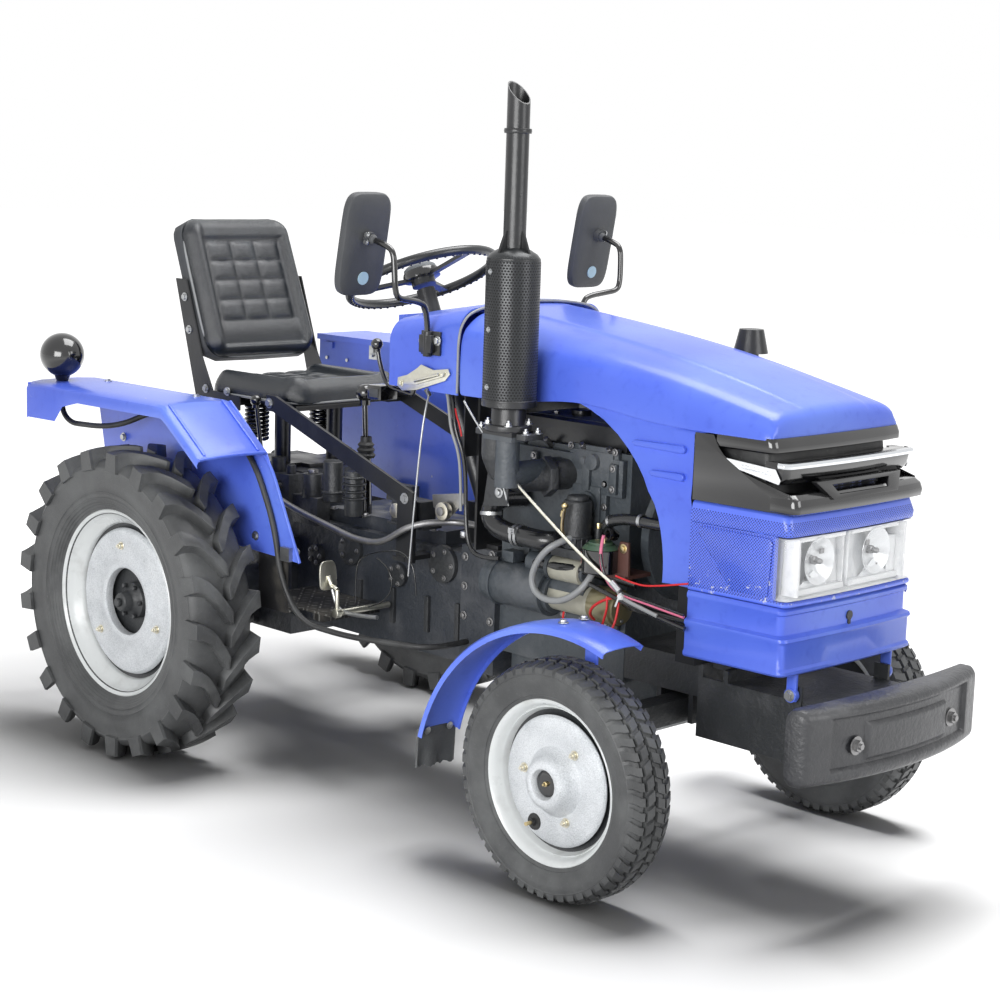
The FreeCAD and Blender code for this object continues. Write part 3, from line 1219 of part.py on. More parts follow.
def work_lamp():
    """Bowl-shaped lamp facing the rear on a short neck."""
    spot = ("work_lamp_x", "-work_lamp_side")
    bowl = ball("lamp_bowl", "work_lamp_radius", spot[0], spot[1], "work_lamp_height")
    lens_side = box("lamp_lens_cut", ("work_lamp_x - work_lamp_radius - 5",
                                      "work_lamp_x - work_lamp_radius / 2"),
                    ("-work_lamp_side - 90", "-work_lamp_side + 90"),
                    ("work_lamp_height - 90", "work_lamp_height + 90"))
    neck = doc.addObject("Part::Cone", "lamp_neck")
    bind(neck, Radius1="15", Radius2="34", Height="work_lamp_height - 35 - fender_height")
    place(neck, spot[0], spot[1], "fender_height")
    sub_part("work_lamp", cut("lamp_flat", fuse("lamp_blank", bowl, neck), lens_side))


# the lid turns about a line outside the box's outer wall and just under the lid's top
HINGE_SIDE = "(toolbox_outer + hinge_stand)"
HINGE_HEIGHT = "(lid_high - hinge_radius - 0.6)"
HINGE_STARTS = (60, 360)


def toolbox():
    """Sheet box on the left guard; two hinge barrels with a pin stand out from its outer wall."""
    outer = box("toolbox_outer", ("toolbox_rear", "toolbox_front"), ("toolbox_inner", "toolbox_outer"),
                ("fender_height", "toolbox_high"))
    inner = box("toolbox_inside", ("toolbox_rear + toolbox_sheet", "toolbox_front - toolbox_sheet"),
                ("toolbox_inner + toolbox_sheet", "toolbox_outer - toolbox_sheet"),
                ("fender_height + toolbox_sheet", "toolbox_high + 1"))
    latch = box("toolbox_latch", ("toolbox_rear + 30", "toolbox_rear + 70"),
                ("toolbox_inner - 6", "toolbox_inner + 1"),
                ("toolbox_high - 30", "toolbox_high - 10"))
    pieces = [latch, rod("toolbox_hinge_pin", "x", "hinge_pin_radius",
                         (f"toolbox_rear + {HINGE_STARTS[0]}",
                          f"toolbox_rear + {HINGE_STARTS[1]} + 3 * hinge_length"),
                         (HINGE_SIDE, HINGE_HEIGHT))]
    for index, start in enumerate(HINGE_STARTS):
        for end, offset in (("rear", "0"), ("front", "2 * hinge_length")):
            span = (f"toolbox_rear + {start} + {offset}", f"toolbox_rear + {start} + {offset} + hinge_length")
            pieces.append(rod(f"toolbox_barrel_{index}_{end}", "x", "hinge_radius", span,
                              (HINGE_SIDE, HINGE_HEIGHT)))
            pieces.append(box(f"toolbox_tab_{index}_{end}", span, ("toolbox_outer - 1", HINGE_SIDE),
                              ("toolbox_high - 24", "toolbox_high")))
            pieces.append(box(f"toolbox_web_{index}_{end}", span, (f"{HINGE_SIDE} - 4", HINGE_SIDE),
                              ("toolbox_high - 4", HINGE_HEIGHT)))
    sub_part("toolbox", cut("toolbox_body", outer, inner), *pieces)


def toolbox_lid():
    """Lid with a turned-down inner rim; its barrels ride on the pin between the box's own."""
    lid = box("lid_top", ("toolbox_rear - 4", "toolbox_front + 4"),
              ("toolbox_inner - lid_overhang", "toolbox_outer"),
              ("lid_high - toolbox_sheet", "lid_high"))
    rim = box("lid_rim", ("toolbox_rear - 4", "toolbox_front + 4"),
              ("toolbox_inner - lid_overhang", "toolbox_inner - lid_overhang + toolbox_sheet"),
              ("toolbox_high - 4", "lid_high - 1"))
    pieces = [lid, rim]
    bores = []
    for index, start in enumerate(HINGE_STARTS):
        span = (f"toolbox_rear + {start} + hinge_length + running_gap",
                f"toolbox_rear + {start} + 2 * hinge_length - running_gap")
        pieces.append(rod(f"lid_barrel_{index}", "x", "hinge_radius", span, (HINGE_SIDE, HINGE_HEIGHT)))
        pieces.append(box(f"lid_leaf_{index}", span, ("toolbox_outer - 4", HINGE_SIDE),
                          ("lid_high - toolbox_sheet", "lid_high")))
        bores.append(rod(f"lid_bore_{index}", "x", "hinge_pin_radius + running_gap",
                         (f"{span[0]} - 5", f"{span[1]} + 5"),
                         (HINGE_SIDE, HINGE_HEIGHT)))
    sub_part("toolbox_lid", cut("lid_bored", fuse("lid_blank", *pieces), *bores))


def front_fender(side):
    """Arched guard over a front wheel on an upright bracket, with a rubber flap behind."""
    sign = SIDES[side]
    middle_x = "wheelbase + front_fender_x"
    span = across(sign, "front_fender_inner", "front_fender_outer")
    spot = (middle_x, "front_fender_z")
    outer = rod(f"guard_outer_{side}", "y", "front_fender_radius", span, spot)
    inner = rod(f"guard_inner_{side}", "y", "front_fender_radius - fender_sheet",
                (f"{span[0]} - 1", f"{span[1]} + 1"), spot)
    ring = cut(f"guard_ring_{side}", outer, inner)
    reach = "(front_fender_radius + 30)"
    flap_top = "front_fender_z + front_fender_radius * sin(guard_rear_angle * 1 deg)"
    sector = plate(f"guard_sector_{side}", "xz", [
        (middle_x, "front_fender_z"),
        (f"{middle_x} + {reach} * cos(guard_front_angle * 1 deg)",
         f"front_fender_z + {reach} * sin(guard_front_angle * 1 deg)"),
        (f"{middle_x} + {reach} * cos(guard_front_angle * 1 deg)", f"front_fender_z + {reach} * 1.2"),
        (f"{middle_x} - {reach} * 1.2", f"front_fender_z + {reach} * 1.2"),
        (f"{middle_x} - {reach} * 1.2", flap_top),
        (f"{middle_x} - front_fender_radius * cos(guard_rear_angle * 1 deg) * 0.5", flap_top)],
        f"{span[0]} - 2", f"{span[1]} + 2")
    arch = doc.addObject("Part::Common", f"guard_{side}")
    arch.Base = ring
    arch.Tool = sector
    flap_x = f"{middle_x} - front_fender_radius * cos(guard_rear_angle * 1 deg)"
    flap = box(f"flap_{side}", (f"{flap_x} - 1", f"{flap_x} + 5"), span,
               (f"{flap_top} - guard_flap_depth", f"{flap_top} + 16"))
    post_side = "kingpin_track / 2 + axle_barrel_radius + 4"
    low = f"{BARREL_HIGH} + 16"
    arch_top = "front_fender_z + front_fender_radius - fender_sheet"
    stay = ("wheelbase - guard_stay_half_width", "wheelbase + guard_stay_half_width")
    shelf = box(f"guard_shelf_{side}", stay,
                across(sign, "kingpin_track / 2 - 15", f"{post_side} + guard_stay_sheet"),
                (low, f"{low} + guard_stay_sheet"))
    upright = box(f"guard_post_{side}", stay, across(sign, post_side, f"{post_side} + guard_stay_sheet"),
                  (low, arch_top))
    ledge = box(f"guard_ledge_{side}", stay, across(sign, post_side, "front_fender_outer - 30"),
                (f"{arch_top} - 6", arch_top))
    sub_part(f"front_fender_{side}", arch, flap, shelf, upright, ledge)


def footplates():
    """Step plates on carriers from the gearbox, with a stay down from each guard."""
    board = box("foot_board", ("footplate_rear", "footplate_front"), ("footplate_inner", "footplate_outer"),
                ("footplate_height - footplate_sheet", "footplate_height"))
    pieces = [board]
    for index, offset in enumerate((50, 230)):
        pieces.append(box(f"foot_carrier_{index}",
                          (f"footplate_rear + {offset}", f"footplate_rear + {offset} + 40"),
                          ("gearbox_half_width", "footplate_outer - 20"),
                          ("footplate_height - footplate_sheet - 26", "footplate_height - footplate_sheet")))
    stay_from = ("fender_front - 30", "fender_front + 90")
    pieces.append(box("stay_ledge", stay_from, ("footplate_outer - 4", "fender_inner"),
                      ("footplate_height - footplate_sheet", "footplate_height")))
    pieces.append(box("fender_stay", stay_from, ("fender_inner - footplate_sheet", "fender_inner"),
                      ("footplate_height - footplate_sheet", "skirt_low + 60")))
    sub_part("footplates", both_sides("foot_pair", fuse("foot_left", *pieces)))


def pedals():
    """Clutch pedal on the left and brake pedal on the right, each a bent lever with a pad."""
    pedal_x = "footplate_front + 13"
    pedal_y = ("footplate_outer - 23", "footplate_outer - 9")
    pad = box("pedal_pad", ("footplate_front - 40", "footplate_front - 30"),
              ("footplate_outer - 50", "footplate_outer + 20"),
              ("footplate_height + 60", "footplate_height + 146"))
    link = box("pedal_link", ("footplate_front - 34", f"{pedal_x} + 7"), pedal_y,
               ("footplate_height + 82", "footplate_height + 96"))
    stem = box("pedal_stem", (f"{pedal_x} - 7", f"{pedal_x} + 7"), pedal_y,
               ("footplate_height - 4", "footplate_height + 90"))
    cross = rod("pedal_cross", "y", "9", ("gearbox_half_width", pedal_y[1]), (pedal_x, "footplate_height + 6"))
    sub_part("pedals", both_sides("pedal_pair", fuse("pedal_left", pad, link, stem, cross)))


def levers():
    """Gear lever in its tall sleeve, lift lever by the seat and hand throttle on the cowl."""
    gear = skin("gear_lever", Part.makeCone(22, 15, 190, Vector(402, -100, measure("gearbox_high") - 10))
                .fuse(Part.makeCylinder(8, 160, Vector(402, -100, 870), Vector(-0.06, 0, 1)))
                .fuse(Part.makeSphere(24, Vector(393, -100, 1043))))
    lift = skin("lift_lever", run_of_tube([(112, -126, 740), (112, -175, 752), (96, -225, 800),
                                           (78, -238, 985)], 6)
                .fuse(Part.makeSphere(15, Vector(75, -238, 997))))
    hand = skin("throttle_hand", run_of_tube([
        (608, -250, 1200), (622, -250, 1150), (650, -250, 1098), (747, -240, 1082), (747, -240, 1114)], 6)
        .fuse(Part.makeSphere(15, Vector(607, -250, 1206))))
    sub_part("levers", gear, lift, hand, joined=False)


def seat_arms():
    """Flat arms from the seat pan down and forward to their brackets on the gearbox."""
    rear, front = "seat_arm_rear", "seat_arm_front"
    bar = plate("seat_arm", "xz", [(rear, "seat_pan_height + 35"), (rear, "seat_pan_height - 10"),
                                   (f"{rear} + 30", "seat_pan_height - 10"), (f"{front} - 45", "seat_arm_low"),
                                   (front, "seat_arm_low"), (front, "seat_arm_low + 36"),
                                   (f"{rear} + 40", "seat_pan_height + 35")],
                "seat_arm_side", "seat_arm_side + 10")
    ear = box("seat_arm_ear", (rear, f"{rear} + 30"), ("seat_half_width - 15", "seat_arm_side + 4"),
              ("seat_pan_height - 10", "seat_pan_height"))
    foot = box("seat_arm_foot", (f"{front} - 75", f"{front} - 30"), ("gearbox_half_width", "seat_arm_side + 8"),
               ("gearbox_high - 70", "gearbox_high - 58"))
    post = box("seat_arm_post", (f"{front} - 65", front), ("seat_arm_side - 6", "seat_arm_side + 6"),
               ("gearbox_high - 70", "seat_arm_low + 14"))
    sub_part("seat_arms", both_sides("seat_arm_pair", fuse("seat_arm_left", bar, ear, foot, post)))


def mirrors():
    """Tall backs on bent tube arms clamped to the cowl's sides; the heads lean forward."""
    head = box("mirror_back", ("-mirror_depth / 2", "mirror_depth / 2"),
               ("-mirror_wide / 2", "mirror_wide / 2"),
               ("-mirror_tall / 2", "mirror_tall / 2"))
    soft = doc.addObject("Part::Fillet", "mirror_back_soft")
    soft.Base = head
    doc.recompute()
    soft.Edges = [(index + 1, 9.0, 9.0) for index in range(len(head.Shape.Edges))]
    leaning = doc.addObject("Part::Compound", "mirror_back_leaning")
    leaning.Links = [soft]
    leaning.Placement = Placement(Vector(), Rotation(Vector(0, 1, 0), measure("mirror_lean")))
    bind(leaning, Placement__Rotation__Angle="mirror_lean * 1 deg")
    place(leaning, "mirror_x", "mirror_side", "mirror_height")
    arm = skin("mirror_arm", run_of_tube([
        ("mirror_x + 8", "mirror_side", "mirror_height + 19"),
        ("mirror_x + 101", "mirror_side - 3", "mirror_height - 5"),
        ("mirror_x + 116", "mirror_side - 8", "mirror_height - 122"),
        ("mirror_x + 96", "bonnet_half_width + 38", "mirror_height - 149"),
        ("mirror_x + 88", "bonnet_half_width + 11", "mirror_height - 240")],
        measure("mirror_tube_radius")))
    clamp = box("mirror_clamp", ("mirror_x + 62", "mirror_x + 116"),
                ("bonnet_half_width - 2", "bonnet_half_width + 23"),
                ("mirror_height - 284", "mirror_height - 226"))
    sub_part("mirrors", both_sides("mirror_pair", fuse("mirror_left", leaning, arm, clamp)))


def hoses():
    """Coolant hose, hydraulic pipe and the lamp's conduit, each clipped to the machine all the way."""
    coolant = run_of_tube([(1120, -145, 850), (1120, -225, 850), (1190, -240, 800), (1300, -238, 770),
                           (1370, -215, 770), (1370, -145, 770)], measure("hose_radius"))
    sub_part("coolant_hose", skin("coolant_tube", coolant))
    pressure = run_of_tube([(150, -130, 755), (150, -272, 755), (296, -272, 714), (560, -272, 668),
                            (664, -272, 672), (790, -272, 745), (860, -175, 752), (940, -175, 752)],
                           measure("pipe_radius"))
    sub_part("hydraulic_pipe", skin("hydraulic_tube", pressure))
    conduit = run_of_tube([(-395, -585, 1018), (-395, -585, 905), (-230, -520, 900), (-60, -470, 975),
                           (150, -443.5, 988), (325, -443.5, 880), (420, -443.5, 705), (452, -443.5, 560),
                           (520, -430, 450), (660, -385, 430), (900, -300, 430), (900, -165, 430)],
                          measure("conduit_radius"))
    sub_part("lamp_conduit", skin("conduit_tube", conduit))


for end in ("rear", "front"):
    for side in SIDES:
        tyre(end, side)
for side in SIDES:
    rear_wheel(side)
    front_wheel(side)
    knuckle(side)
    front_fender(side)
front_axle()
tie_rod()
drag_link()
pitman_arm()
steering_column()
steering_wheel()
front_support()
front_weight()
engine()
gearbox()
rear_axle()
final_drives()
drawbar()
power_shaft()
lift_arms()
lower_links()
lift_rods()
bonnet()
side_panels()
grille()
lamp_panel()
headlamps()
nose_panel()
radiator()
exhaust()
air_cleaner()
dash_cowl()
dash_support()
seat_back()
seat_cushion()
seat_frame()
rear_fenders()
work_lamp()
toolbox()
toolbox_lid()
footplates()
pedals()
levers()
seat_arms()
mirrors()
hoses()

# ---------------------------------------------------------------------------------------------
# Check and write
# ---------------------------------------------------------------------------------------------

doc.recompute()
for item in doc.Objects:
    if "Invalid" in item.State or "Error" in item.State:
        raise RuntimeError(f"{item.Name} did not build: {item.State}")
for item in NODES:
    if item.Shape.isNull() or not item.Shape.isValid() or not item.Shape.Solids:
        raise RuntimeError(f"{item.Label} has no valid shape")
os.makedirs("parts", exist_ok=True)
for item in NODES:
    item.Shape.exportStep(f"parts/{item.Label}.step")
    box_of = item.Shape.BoundBox
    print(item.Label, len(item.Shape.Solids),
          [round(v) for v in (box_of.XMin, box_of.XMax, box_of.YMin, box_of.YMax,
                                                                  box_of.ZMin, box_of.ZMax)])
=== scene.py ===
"""Looks for the compact farm tractor: finishes, tread, trim, cushions, hoses, floor, lamps and camera."""

import json
import math
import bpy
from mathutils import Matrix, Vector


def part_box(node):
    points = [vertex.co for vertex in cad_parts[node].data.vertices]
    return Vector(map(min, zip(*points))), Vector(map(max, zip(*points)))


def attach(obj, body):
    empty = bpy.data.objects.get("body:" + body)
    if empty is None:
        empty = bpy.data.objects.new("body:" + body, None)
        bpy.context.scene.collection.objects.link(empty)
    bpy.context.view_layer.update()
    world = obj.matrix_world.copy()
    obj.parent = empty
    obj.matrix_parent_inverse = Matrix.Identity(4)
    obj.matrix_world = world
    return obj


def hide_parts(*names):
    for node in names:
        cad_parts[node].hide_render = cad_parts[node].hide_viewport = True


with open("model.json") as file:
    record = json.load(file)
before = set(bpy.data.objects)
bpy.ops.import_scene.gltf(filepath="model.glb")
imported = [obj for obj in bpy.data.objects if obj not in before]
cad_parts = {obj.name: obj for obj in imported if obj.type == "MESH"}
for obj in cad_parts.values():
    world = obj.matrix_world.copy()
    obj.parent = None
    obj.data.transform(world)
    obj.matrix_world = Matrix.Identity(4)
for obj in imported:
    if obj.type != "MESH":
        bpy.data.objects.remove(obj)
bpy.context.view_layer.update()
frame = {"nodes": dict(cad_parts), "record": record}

from types import SimpleNamespace

import bmesh
import bpy
from mathutils import Matrix, Vector, noise

CAD = frame["nodes"]
FULL_TURN = 2 * math.pi
SIDES = {"right": -1, "left": 1}


# ---- Places: every length is in metres, and x is given ahead of the rear axle ----

def middle(node):
    """Middle of a CAD node's box."""
    low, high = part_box(node)
    return (low + high) / 2


REAR = middle("rear_tyre_left").x


def at(x, y, z):
    """A point given ahead of the rear axle, to the driver's left and up from the ground."""
    return Vector((REAR + x, y, z))


def along(*points):
    """Spots given ahead of the rear axle, as one line."""
    return [at(*point) for point in points]


def upright(y, *points):
    """Points of (x, z) in a plane that stands along the tractor."""
    return [at(x, y, z) for x, z in points]


def step_up(value, low, high):
    """0 below one value and 1 above the other, with a smooth rise."""
    share = min(1.0, max(0.0, (value - low) / (high - low)))
    return share * share * (3 - 2 * share)


def arc(radius, reach):
    """Height of a circle of a radius at a way out from its middle."""
    return math.sqrt(max(radius ** 2 - max(reach, 0) ** 2, 0))


def squared_circle(count, bend_u, bend_v):
    """Points of 1 unit round a loop between a circle and a square: the smaller the bend, the squarer."""
    turns = [FULL_TURN * step / count for step in range(count)]
    return [(math.copysign(abs(math.cos(turn)) ** bend_u, math.cos(turn)),
             math.copysign(abs(math.sin(turn)) ** bend_v, math.sin(turn))) for turn in turns]


# ---- Shapes ----

def turn_to(direction):
    """The rotation that takes +Z to a direction."""
    return Vector(direction).to_track_quat("Z", "Y").to_matrix().to_4x4()


def block(bm, x, y, z, material=0):
    """A box between two places along each axis, given ahead of the rear axle."""
    made = bmesh.ops.create_cube(bm, size=1.0)["verts"]
    size = Vector((abs(x[1] - x[0]), abs(y[1] - y[0]), abs(z[1] - z[0])))
    centre = at((x[0] + x[1]) / 2, (y[0] + y[1]) / 2, (z[0] + z[1]) / 2)
    bmesh.ops.transform(bm, matrix=Matrix.Translation(centre) @ Matrix.Diagonal((*size, 1)), verts=made)
    paint(made, material)


def paint(verts, material):
    """Gives the faces at some corners a material by its number."""
    for face in {face for vert in verts for face in vert.link_faces}:
        face.material_index = material


def rod(bm, start, end, radius, far_radius=None, sides=20, material=0, caps=True):
    """A round bar, or a cone, between two points of the frame."""
    start = Vector(start)
    end = Vector(end)
    made = bmesh.ops.create_cone(bm, cap_ends=caps, segments=sides, radius1=radius,
                                 radius2=radius if far_radius is None else far_radius,
                                 depth=(end - start).length)["verts"]
    bmesh.ops.transform(bm, matrix=Matrix.Translation((start + end) / 2) @ turn_to(end - start), verts=made)
    paint(made, material)


def posts(bm, *rows):
    """Upright bars, each its place, its foot, its top, its radius, its sides and its material's number."""
    for x, y, low, high, radius, sides, number in rows:
        rod(bm, at(x, y, low), at(x, y, high), radius, sides=sides, material=number)


def pegs(bm, *rows):
    """Bars that stand out sideways: place, start and end across, radius, sides and material's number."""
    for x, z, start, end, radius, sides, number in rows:
        rod(bm, at(x, start, z), at(x, end, z), radius, sides=sides, material=number)


def stepped_bar(bm, y, z, sides, start, *steps):
    """A bar along the tractor, each step its end, its radius and its material's number."""
    for end, radius, number in steps:
        rod(bm, at(start, y, z), at(end, y, z), radius, sides=sides, material=number)
        start = end


def ball(bm, centre, radius, material=0, sides=20):
    """A round ball."""
    made = bmesh.ops.create_uvsphere(bm, u_segments=sides, v_segments=sides // 2, radius=radius)["verts"]
    bmesh.ops.translate(bm, verts=made, vec=centre)
    paint(made, material)


def bolt(bm, spot, direction, radius=0.008, head=0.006, washer=0, material=0, nut=False):
    """A hexagon head on its washer, standing off a surface."""
    way = Vector(direction).normalized()
    spot = Vector(spot)
    if washer:
        rod(bm, spot, spot + way * 0.002, washer, sides=18, material=material)
    rod(bm, spot + way * 0.002, spot + way * (0.002 + head), radius, sides=6, material=material)
    if nut:
        rod(bm, spot, spot + way * (head + 0.008), radius * 0.5, sides=12, material=material)


def bolts(bm, spots, way, *sizes, **more):
    """Equal bolts at spots given ahead of the rear axle."""
    for spot in spots:
        bolt(bm, at(*spot), way, *sizes, **more)


def turned(bm, profile, centre, axis=(0, 1, 0), steps=64):
    """A line of (along the axis, radius) turned about an axis through a point."""
    centre = Vector(centre)
    axis = Vector(axis).normalized()
    away = axis.orthogonal().normalized()
    verts = [bm.verts.new(centre + axis * along + away * max(radius, 1e-5)) for along, radius in profile]
    edges = [bm.edges.new(pair) for pair in zip(verts, verts[1:])]
    bmesh.ops.spin(bm, geom=verts + edges, cent=centre, axis=axis, steps=steps, angle=FULL_TURN,
                   use_merge=True)


def lathe(name, profile, centre, body, materials, axis, steps, **finishing):
    """A piece that is one turned line."""
    bm = bmesh.new()
    turned(bm, profile, centre, axis, steps)
    piece(name, bm, body, materials, **finishing)


def slab(bm, points, depth, material=0):
    """A flat outline of points, given a thickness along a vector."""
    verts = [bm.verts.new(point) for point in points]
    face = bm.faces.new(verts)
    made = bmesh.ops.extrude_face_region(bm, geom=[face])["geom"]
    tops = [item for item in made if isinstance(item, bmesh.types.BMVert)]
    bmesh.ops.translate(bm, verts=tops, vec=depth)
    paint(verts + tops, material)


def loft(bm, rings, closed=False):
    """Faces between rows of points that have the same count."""
    rows = [[bm.verts.new(point) for point in ring] for ring in rings]
    edges = []
    for row in rows:
        pairs = list(zip(row, row[1:]))
        if closed:
            pairs.append((row[-1], row[0]))
        edges.append([bm.edges.new(pair) for pair in pairs])
    for first, second in zip(edges, edges[1:]):
        bmesh.ops.bridge_loops(bm, edges=first + second)
    return rows


def tube_wall(bm, rings):
    """A closed form: rings joined one to the next, with a face over each end."""
    rows = loft(bm, rings, closed=True)
    return bm.faces.new(rows[0]), bm.faces.new(rows[-1])


def settle(name, data, body, slot, replaces):
    """Puts a mesh or a curve in the scene on its body and hides the node it stands for; the slot given is
    not used.
    """
    thing = bpy.data.objects.new(name, data)
    bpy.context.scene.collection.objects.link(thing)
    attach(thing, body)
    if replaces:
        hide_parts(replaces)
    return thing


def piece(name, bm, body, materials, slot=None, replaces=None, merge=1e-5, bevel=0, bevel_steps=2, wall=0,
          wall_side=-1, smooth=40, subdivide=0):
    """The finished object: one mesh in the frame that rides on a body."""
    if merge:
        bmesh.ops.remove_doubles(bm, verts=bm.verts, dist=merge)
    bmesh.ops.recalc_face_normals(bm, faces=bm.faces)
    mesh = bpy.data.meshes.new(name)
    bm.to_mesh(mesh)
    bm.free()
    for material in materials if isinstance(materials, list) else [materials]:
        mesh.materials.append(material)
    mesh.shade_smooth()
    thing = settle(name, mesh, body, slot, replaces)
    if wall:
        shell = thing.modifiers.new("wall", "SOLIDIFY")
        shell.thickness = wall
        shell.offset = wall_side
        shell.use_even_offset = True
    if subdivide:
        finer = thing.modifiers.new("rounder", "SUBSURF")
        finer.levels = subdivide
        finer.render_levels = subdivide
    if bevel:
        edge = thing.modifiers.new("edges", "BEVEL")
        edge.width = bevel
        edge.segments = bevel_steps
        edge.limit_method = "ANGLE"
        edge.angle_limit = math.radians(30)
    if not subdivide:
        split = thing.modifiers.new("creases", "EDGE_SPLIT")
        split.split_angle = math.radians(smooth)
        split.use_edge_sharp = False
    return thing


def tubes(name, runs, body, materials, slot=None, replaces=None):
    """Bent rods, pipes and wires in one piece, each run its points, its radius and its material's number."""
    curve = bpy.data.curves.new(name, "CURVE")
    curve.dimensions = "3D"
    curve.bevel_depth = 0.001
    curve.bevel_resolution = 3
    curve.resolution_u = 8
    curve.use_fill_caps = True
    for material in materials if isinstance(materials, list) else [materials]:
        curve.materials.append(material)
    for points, radius, number in runs:
        line = curve.splines.new("NURBS")
        line.points.add(len(points) - 1)
        for spot, point in zip(line.points, points):
            spot.co = (*point, 1)
            spot.radius = radius / curve.bevel_depth
        line.use_endpoint_u = True
        line.order_u = 3
        line.material_index = number
    settle(name, curve, body, slot, replaces)


# ---- Finishes ----

class Value:
    """A number that varies over a surface. Arithmetic on it adds Math nodes."""

    def __init__(self, finish, socket):
        self.finish = finish
        self.socket = socket

    def __add__(self, other):
        return self.finish.maths("ADD", self, other)

    def __sub__(self, other):
        return self.finish.maths("SUBTRACT", self, other)

    def __rsub__(self, other):
        return self.finish.maths("SUBTRACT", other, self)

    def __mul__(self, other):
        return self.finish.maths("MULTIPLY", self, other)

    def __truediv__(self, other):
        return self.finish.maths("DIVIDE", self, other)

    def __rtruediv__(self, other):
        return self.finish.maths("DIVIDE", other, self)

    def __pow__(self, other):
        return self.finish.maths("POWER", self, other)

    def __mod__(self, other):
        return self.finish.maths("FLOORED_MODULO", self, other)

    __radd__ = __add__
    __rmul__ = __mul__


class Finish:
    """A node material under construction."""

    def __init__(self, name, colour=(0.5, 0.5, 0.5), roughness=0.5, metallic=0.0, **sockets):
        self.material = bpy.data.materials.new(name)
        self.material.use_nodes = True
        self.tree = self.material.node_tree
        self.shader = self.tree.nodes["Principled BSDF"]
        self.show(Base_Color=colour, Roughness=roughness, Metallic=metallic, **sockets)
        self.place = self.node("ShaderNodeTexCoord", {}, {}, "Object")

    def node(self, kind, settings=None, sockets=None, output=0):
        """Adds one node: its settings first, then the values or links of its sockets."""
        made = self.tree.nodes.new(kind)
        for name, value in (settings or {}).items():
            setattr(made, name, value)
        for name, value in (sockets or {}).items():
            self.feed(made.inputs[name], value)
        return Value(self, made.outputs[output])

    def feed(self, socket, value):
        if isinstance(value, Value):
            self.tree.links.new(value.socket, socket)
        elif socket.type == "RGBA" and len(value) == 3:
            socket.default_value = (*value, 1)
        else:
            socket.default_value = value

    def show(self, **sockets):
        """Sets or links the shader's own sockets, named with _ for a space."""
        for name, value in sockets.items():
            self.feed(self.shader.inputs[name.replace("_", " ")], value)

    def maths(self, operation, *numbers):
        return self.node("ShaderNodeMath", {"operation": operation}, dict(enumerate(numbers)))

    def between(self, value, low, high, smooth=True):
        """0 below one value and 1 above the other."""
        kind = "SMOOTHSTEP" if smooth else "LINEAR"
        return self.node("ShaderNodeMapRange", {"interpolation_type": kind},
                         {"Value": value, "From Min": low, "From Max": high})

    def mix(self, share, first, second):
        return self.node("ShaderNodeMix", {"data_type": "RGBA"}, {0: share, 6: first, 7: second}, 2)

    def noise(self, scale, detail=3.0, roughness=0.5, place=None):
        return self.node("ShaderNodeTexNoise", {}, {"Vector": place or self.place, "Scale": scale,
                                                    "Detail": detail, "Roughness": roughness})

    def cells(self, scale):
        return self.node("ShaderNodeTexVoronoi", {}, {"Vector": self.place, "Scale": scale})

    def axis(self, letter, place=None):
        return self.node("ShaderNodeSeparateXYZ", {}, {0: place or self.place}, letter)

    def stretched(self, x, y, z):
        return self.node("ShaderNodeVectorMath", {"operation": "MULTIPLY"}, {0: self.place, 1: (x, y, z)})

    def shifted(self, point):
        return self.node("ShaderNodeVectorMath", {"operation": "SUBTRACT"}, {0: self.place, 1: tuple(point)})

    def facing(self, letter):
        """How far the surface faces along an axis of the object."""
        normal = self.node("ShaderNodeNewGeometry", {}, {}, "Normal")
        return self.axis(letter, normal)

    def bump(self, height, depth, strength=1.0):
        """Ends a material: its relief, then the material itself."""
        relief = {"Height": height, "Distance": depth, "Strength": strength}
        self.show(Normal=self.node("ShaderNodeBump", {}, relief))
        return self.material


def linear(level):
    """One level of 0 to 255 on the screen as linear light."""
    return ((level / 255 + 0.055) / 1.055) ** 2.4 if level > 10 else level / 3295


def rgb(red, green, blue):
    """A colour from its display levels, 0 to 255."""
    return linear(red), linear(green), linear(blue)


PAINT_BLUE = rgb(80, 106, 220)
PAINT_LIGHT = rgb(106, 134, 232)
PAINT_DEEP = rgb(54, 74, 190)
DUST = rgb(150, 150, 152)


def blue_finish(name, mottled=0.35, chips_from=None):
    """Sprayed gloss enamel: a faint mottle, orange peel, and chips to grey primer above a noise level."""
    roughness = 0.3
    finish = Finish(name, roughness=roughness, Coat_Weight=0.2, Coat_Roughness=0.12, Specular_IOR_Level=0.3)
    cloud = finish.noise(2.4, 2.0)
    fine = finish.noise(38.0, 3.0)
    body = finish.mix(finish.between(cloud, 0.3, 0.75), PAINT_BLUE, PAINT_LIGHT)
    body = finish.mix(finish.between(fine, 0.5, 0.9) * mottled, body, PAINT_DEEP)
    if chips_from:
        spots = finish.between(finish.noise(46.0, 6.0, 0.65) + finish.noise(7.0) * 0.35, chips_from, 0.9)
        body = finish.mix(spots, body, rgb(176, 182, 206))
        finish.show(Roughness=spots * 0.35 + roughness)
    finish.show(Base_Color=body)
    return finish.bump(finish.noise(420.0, 2.0) + finish.noise(60.0, 2.0) * 1.5, 0.00035, 0.5)


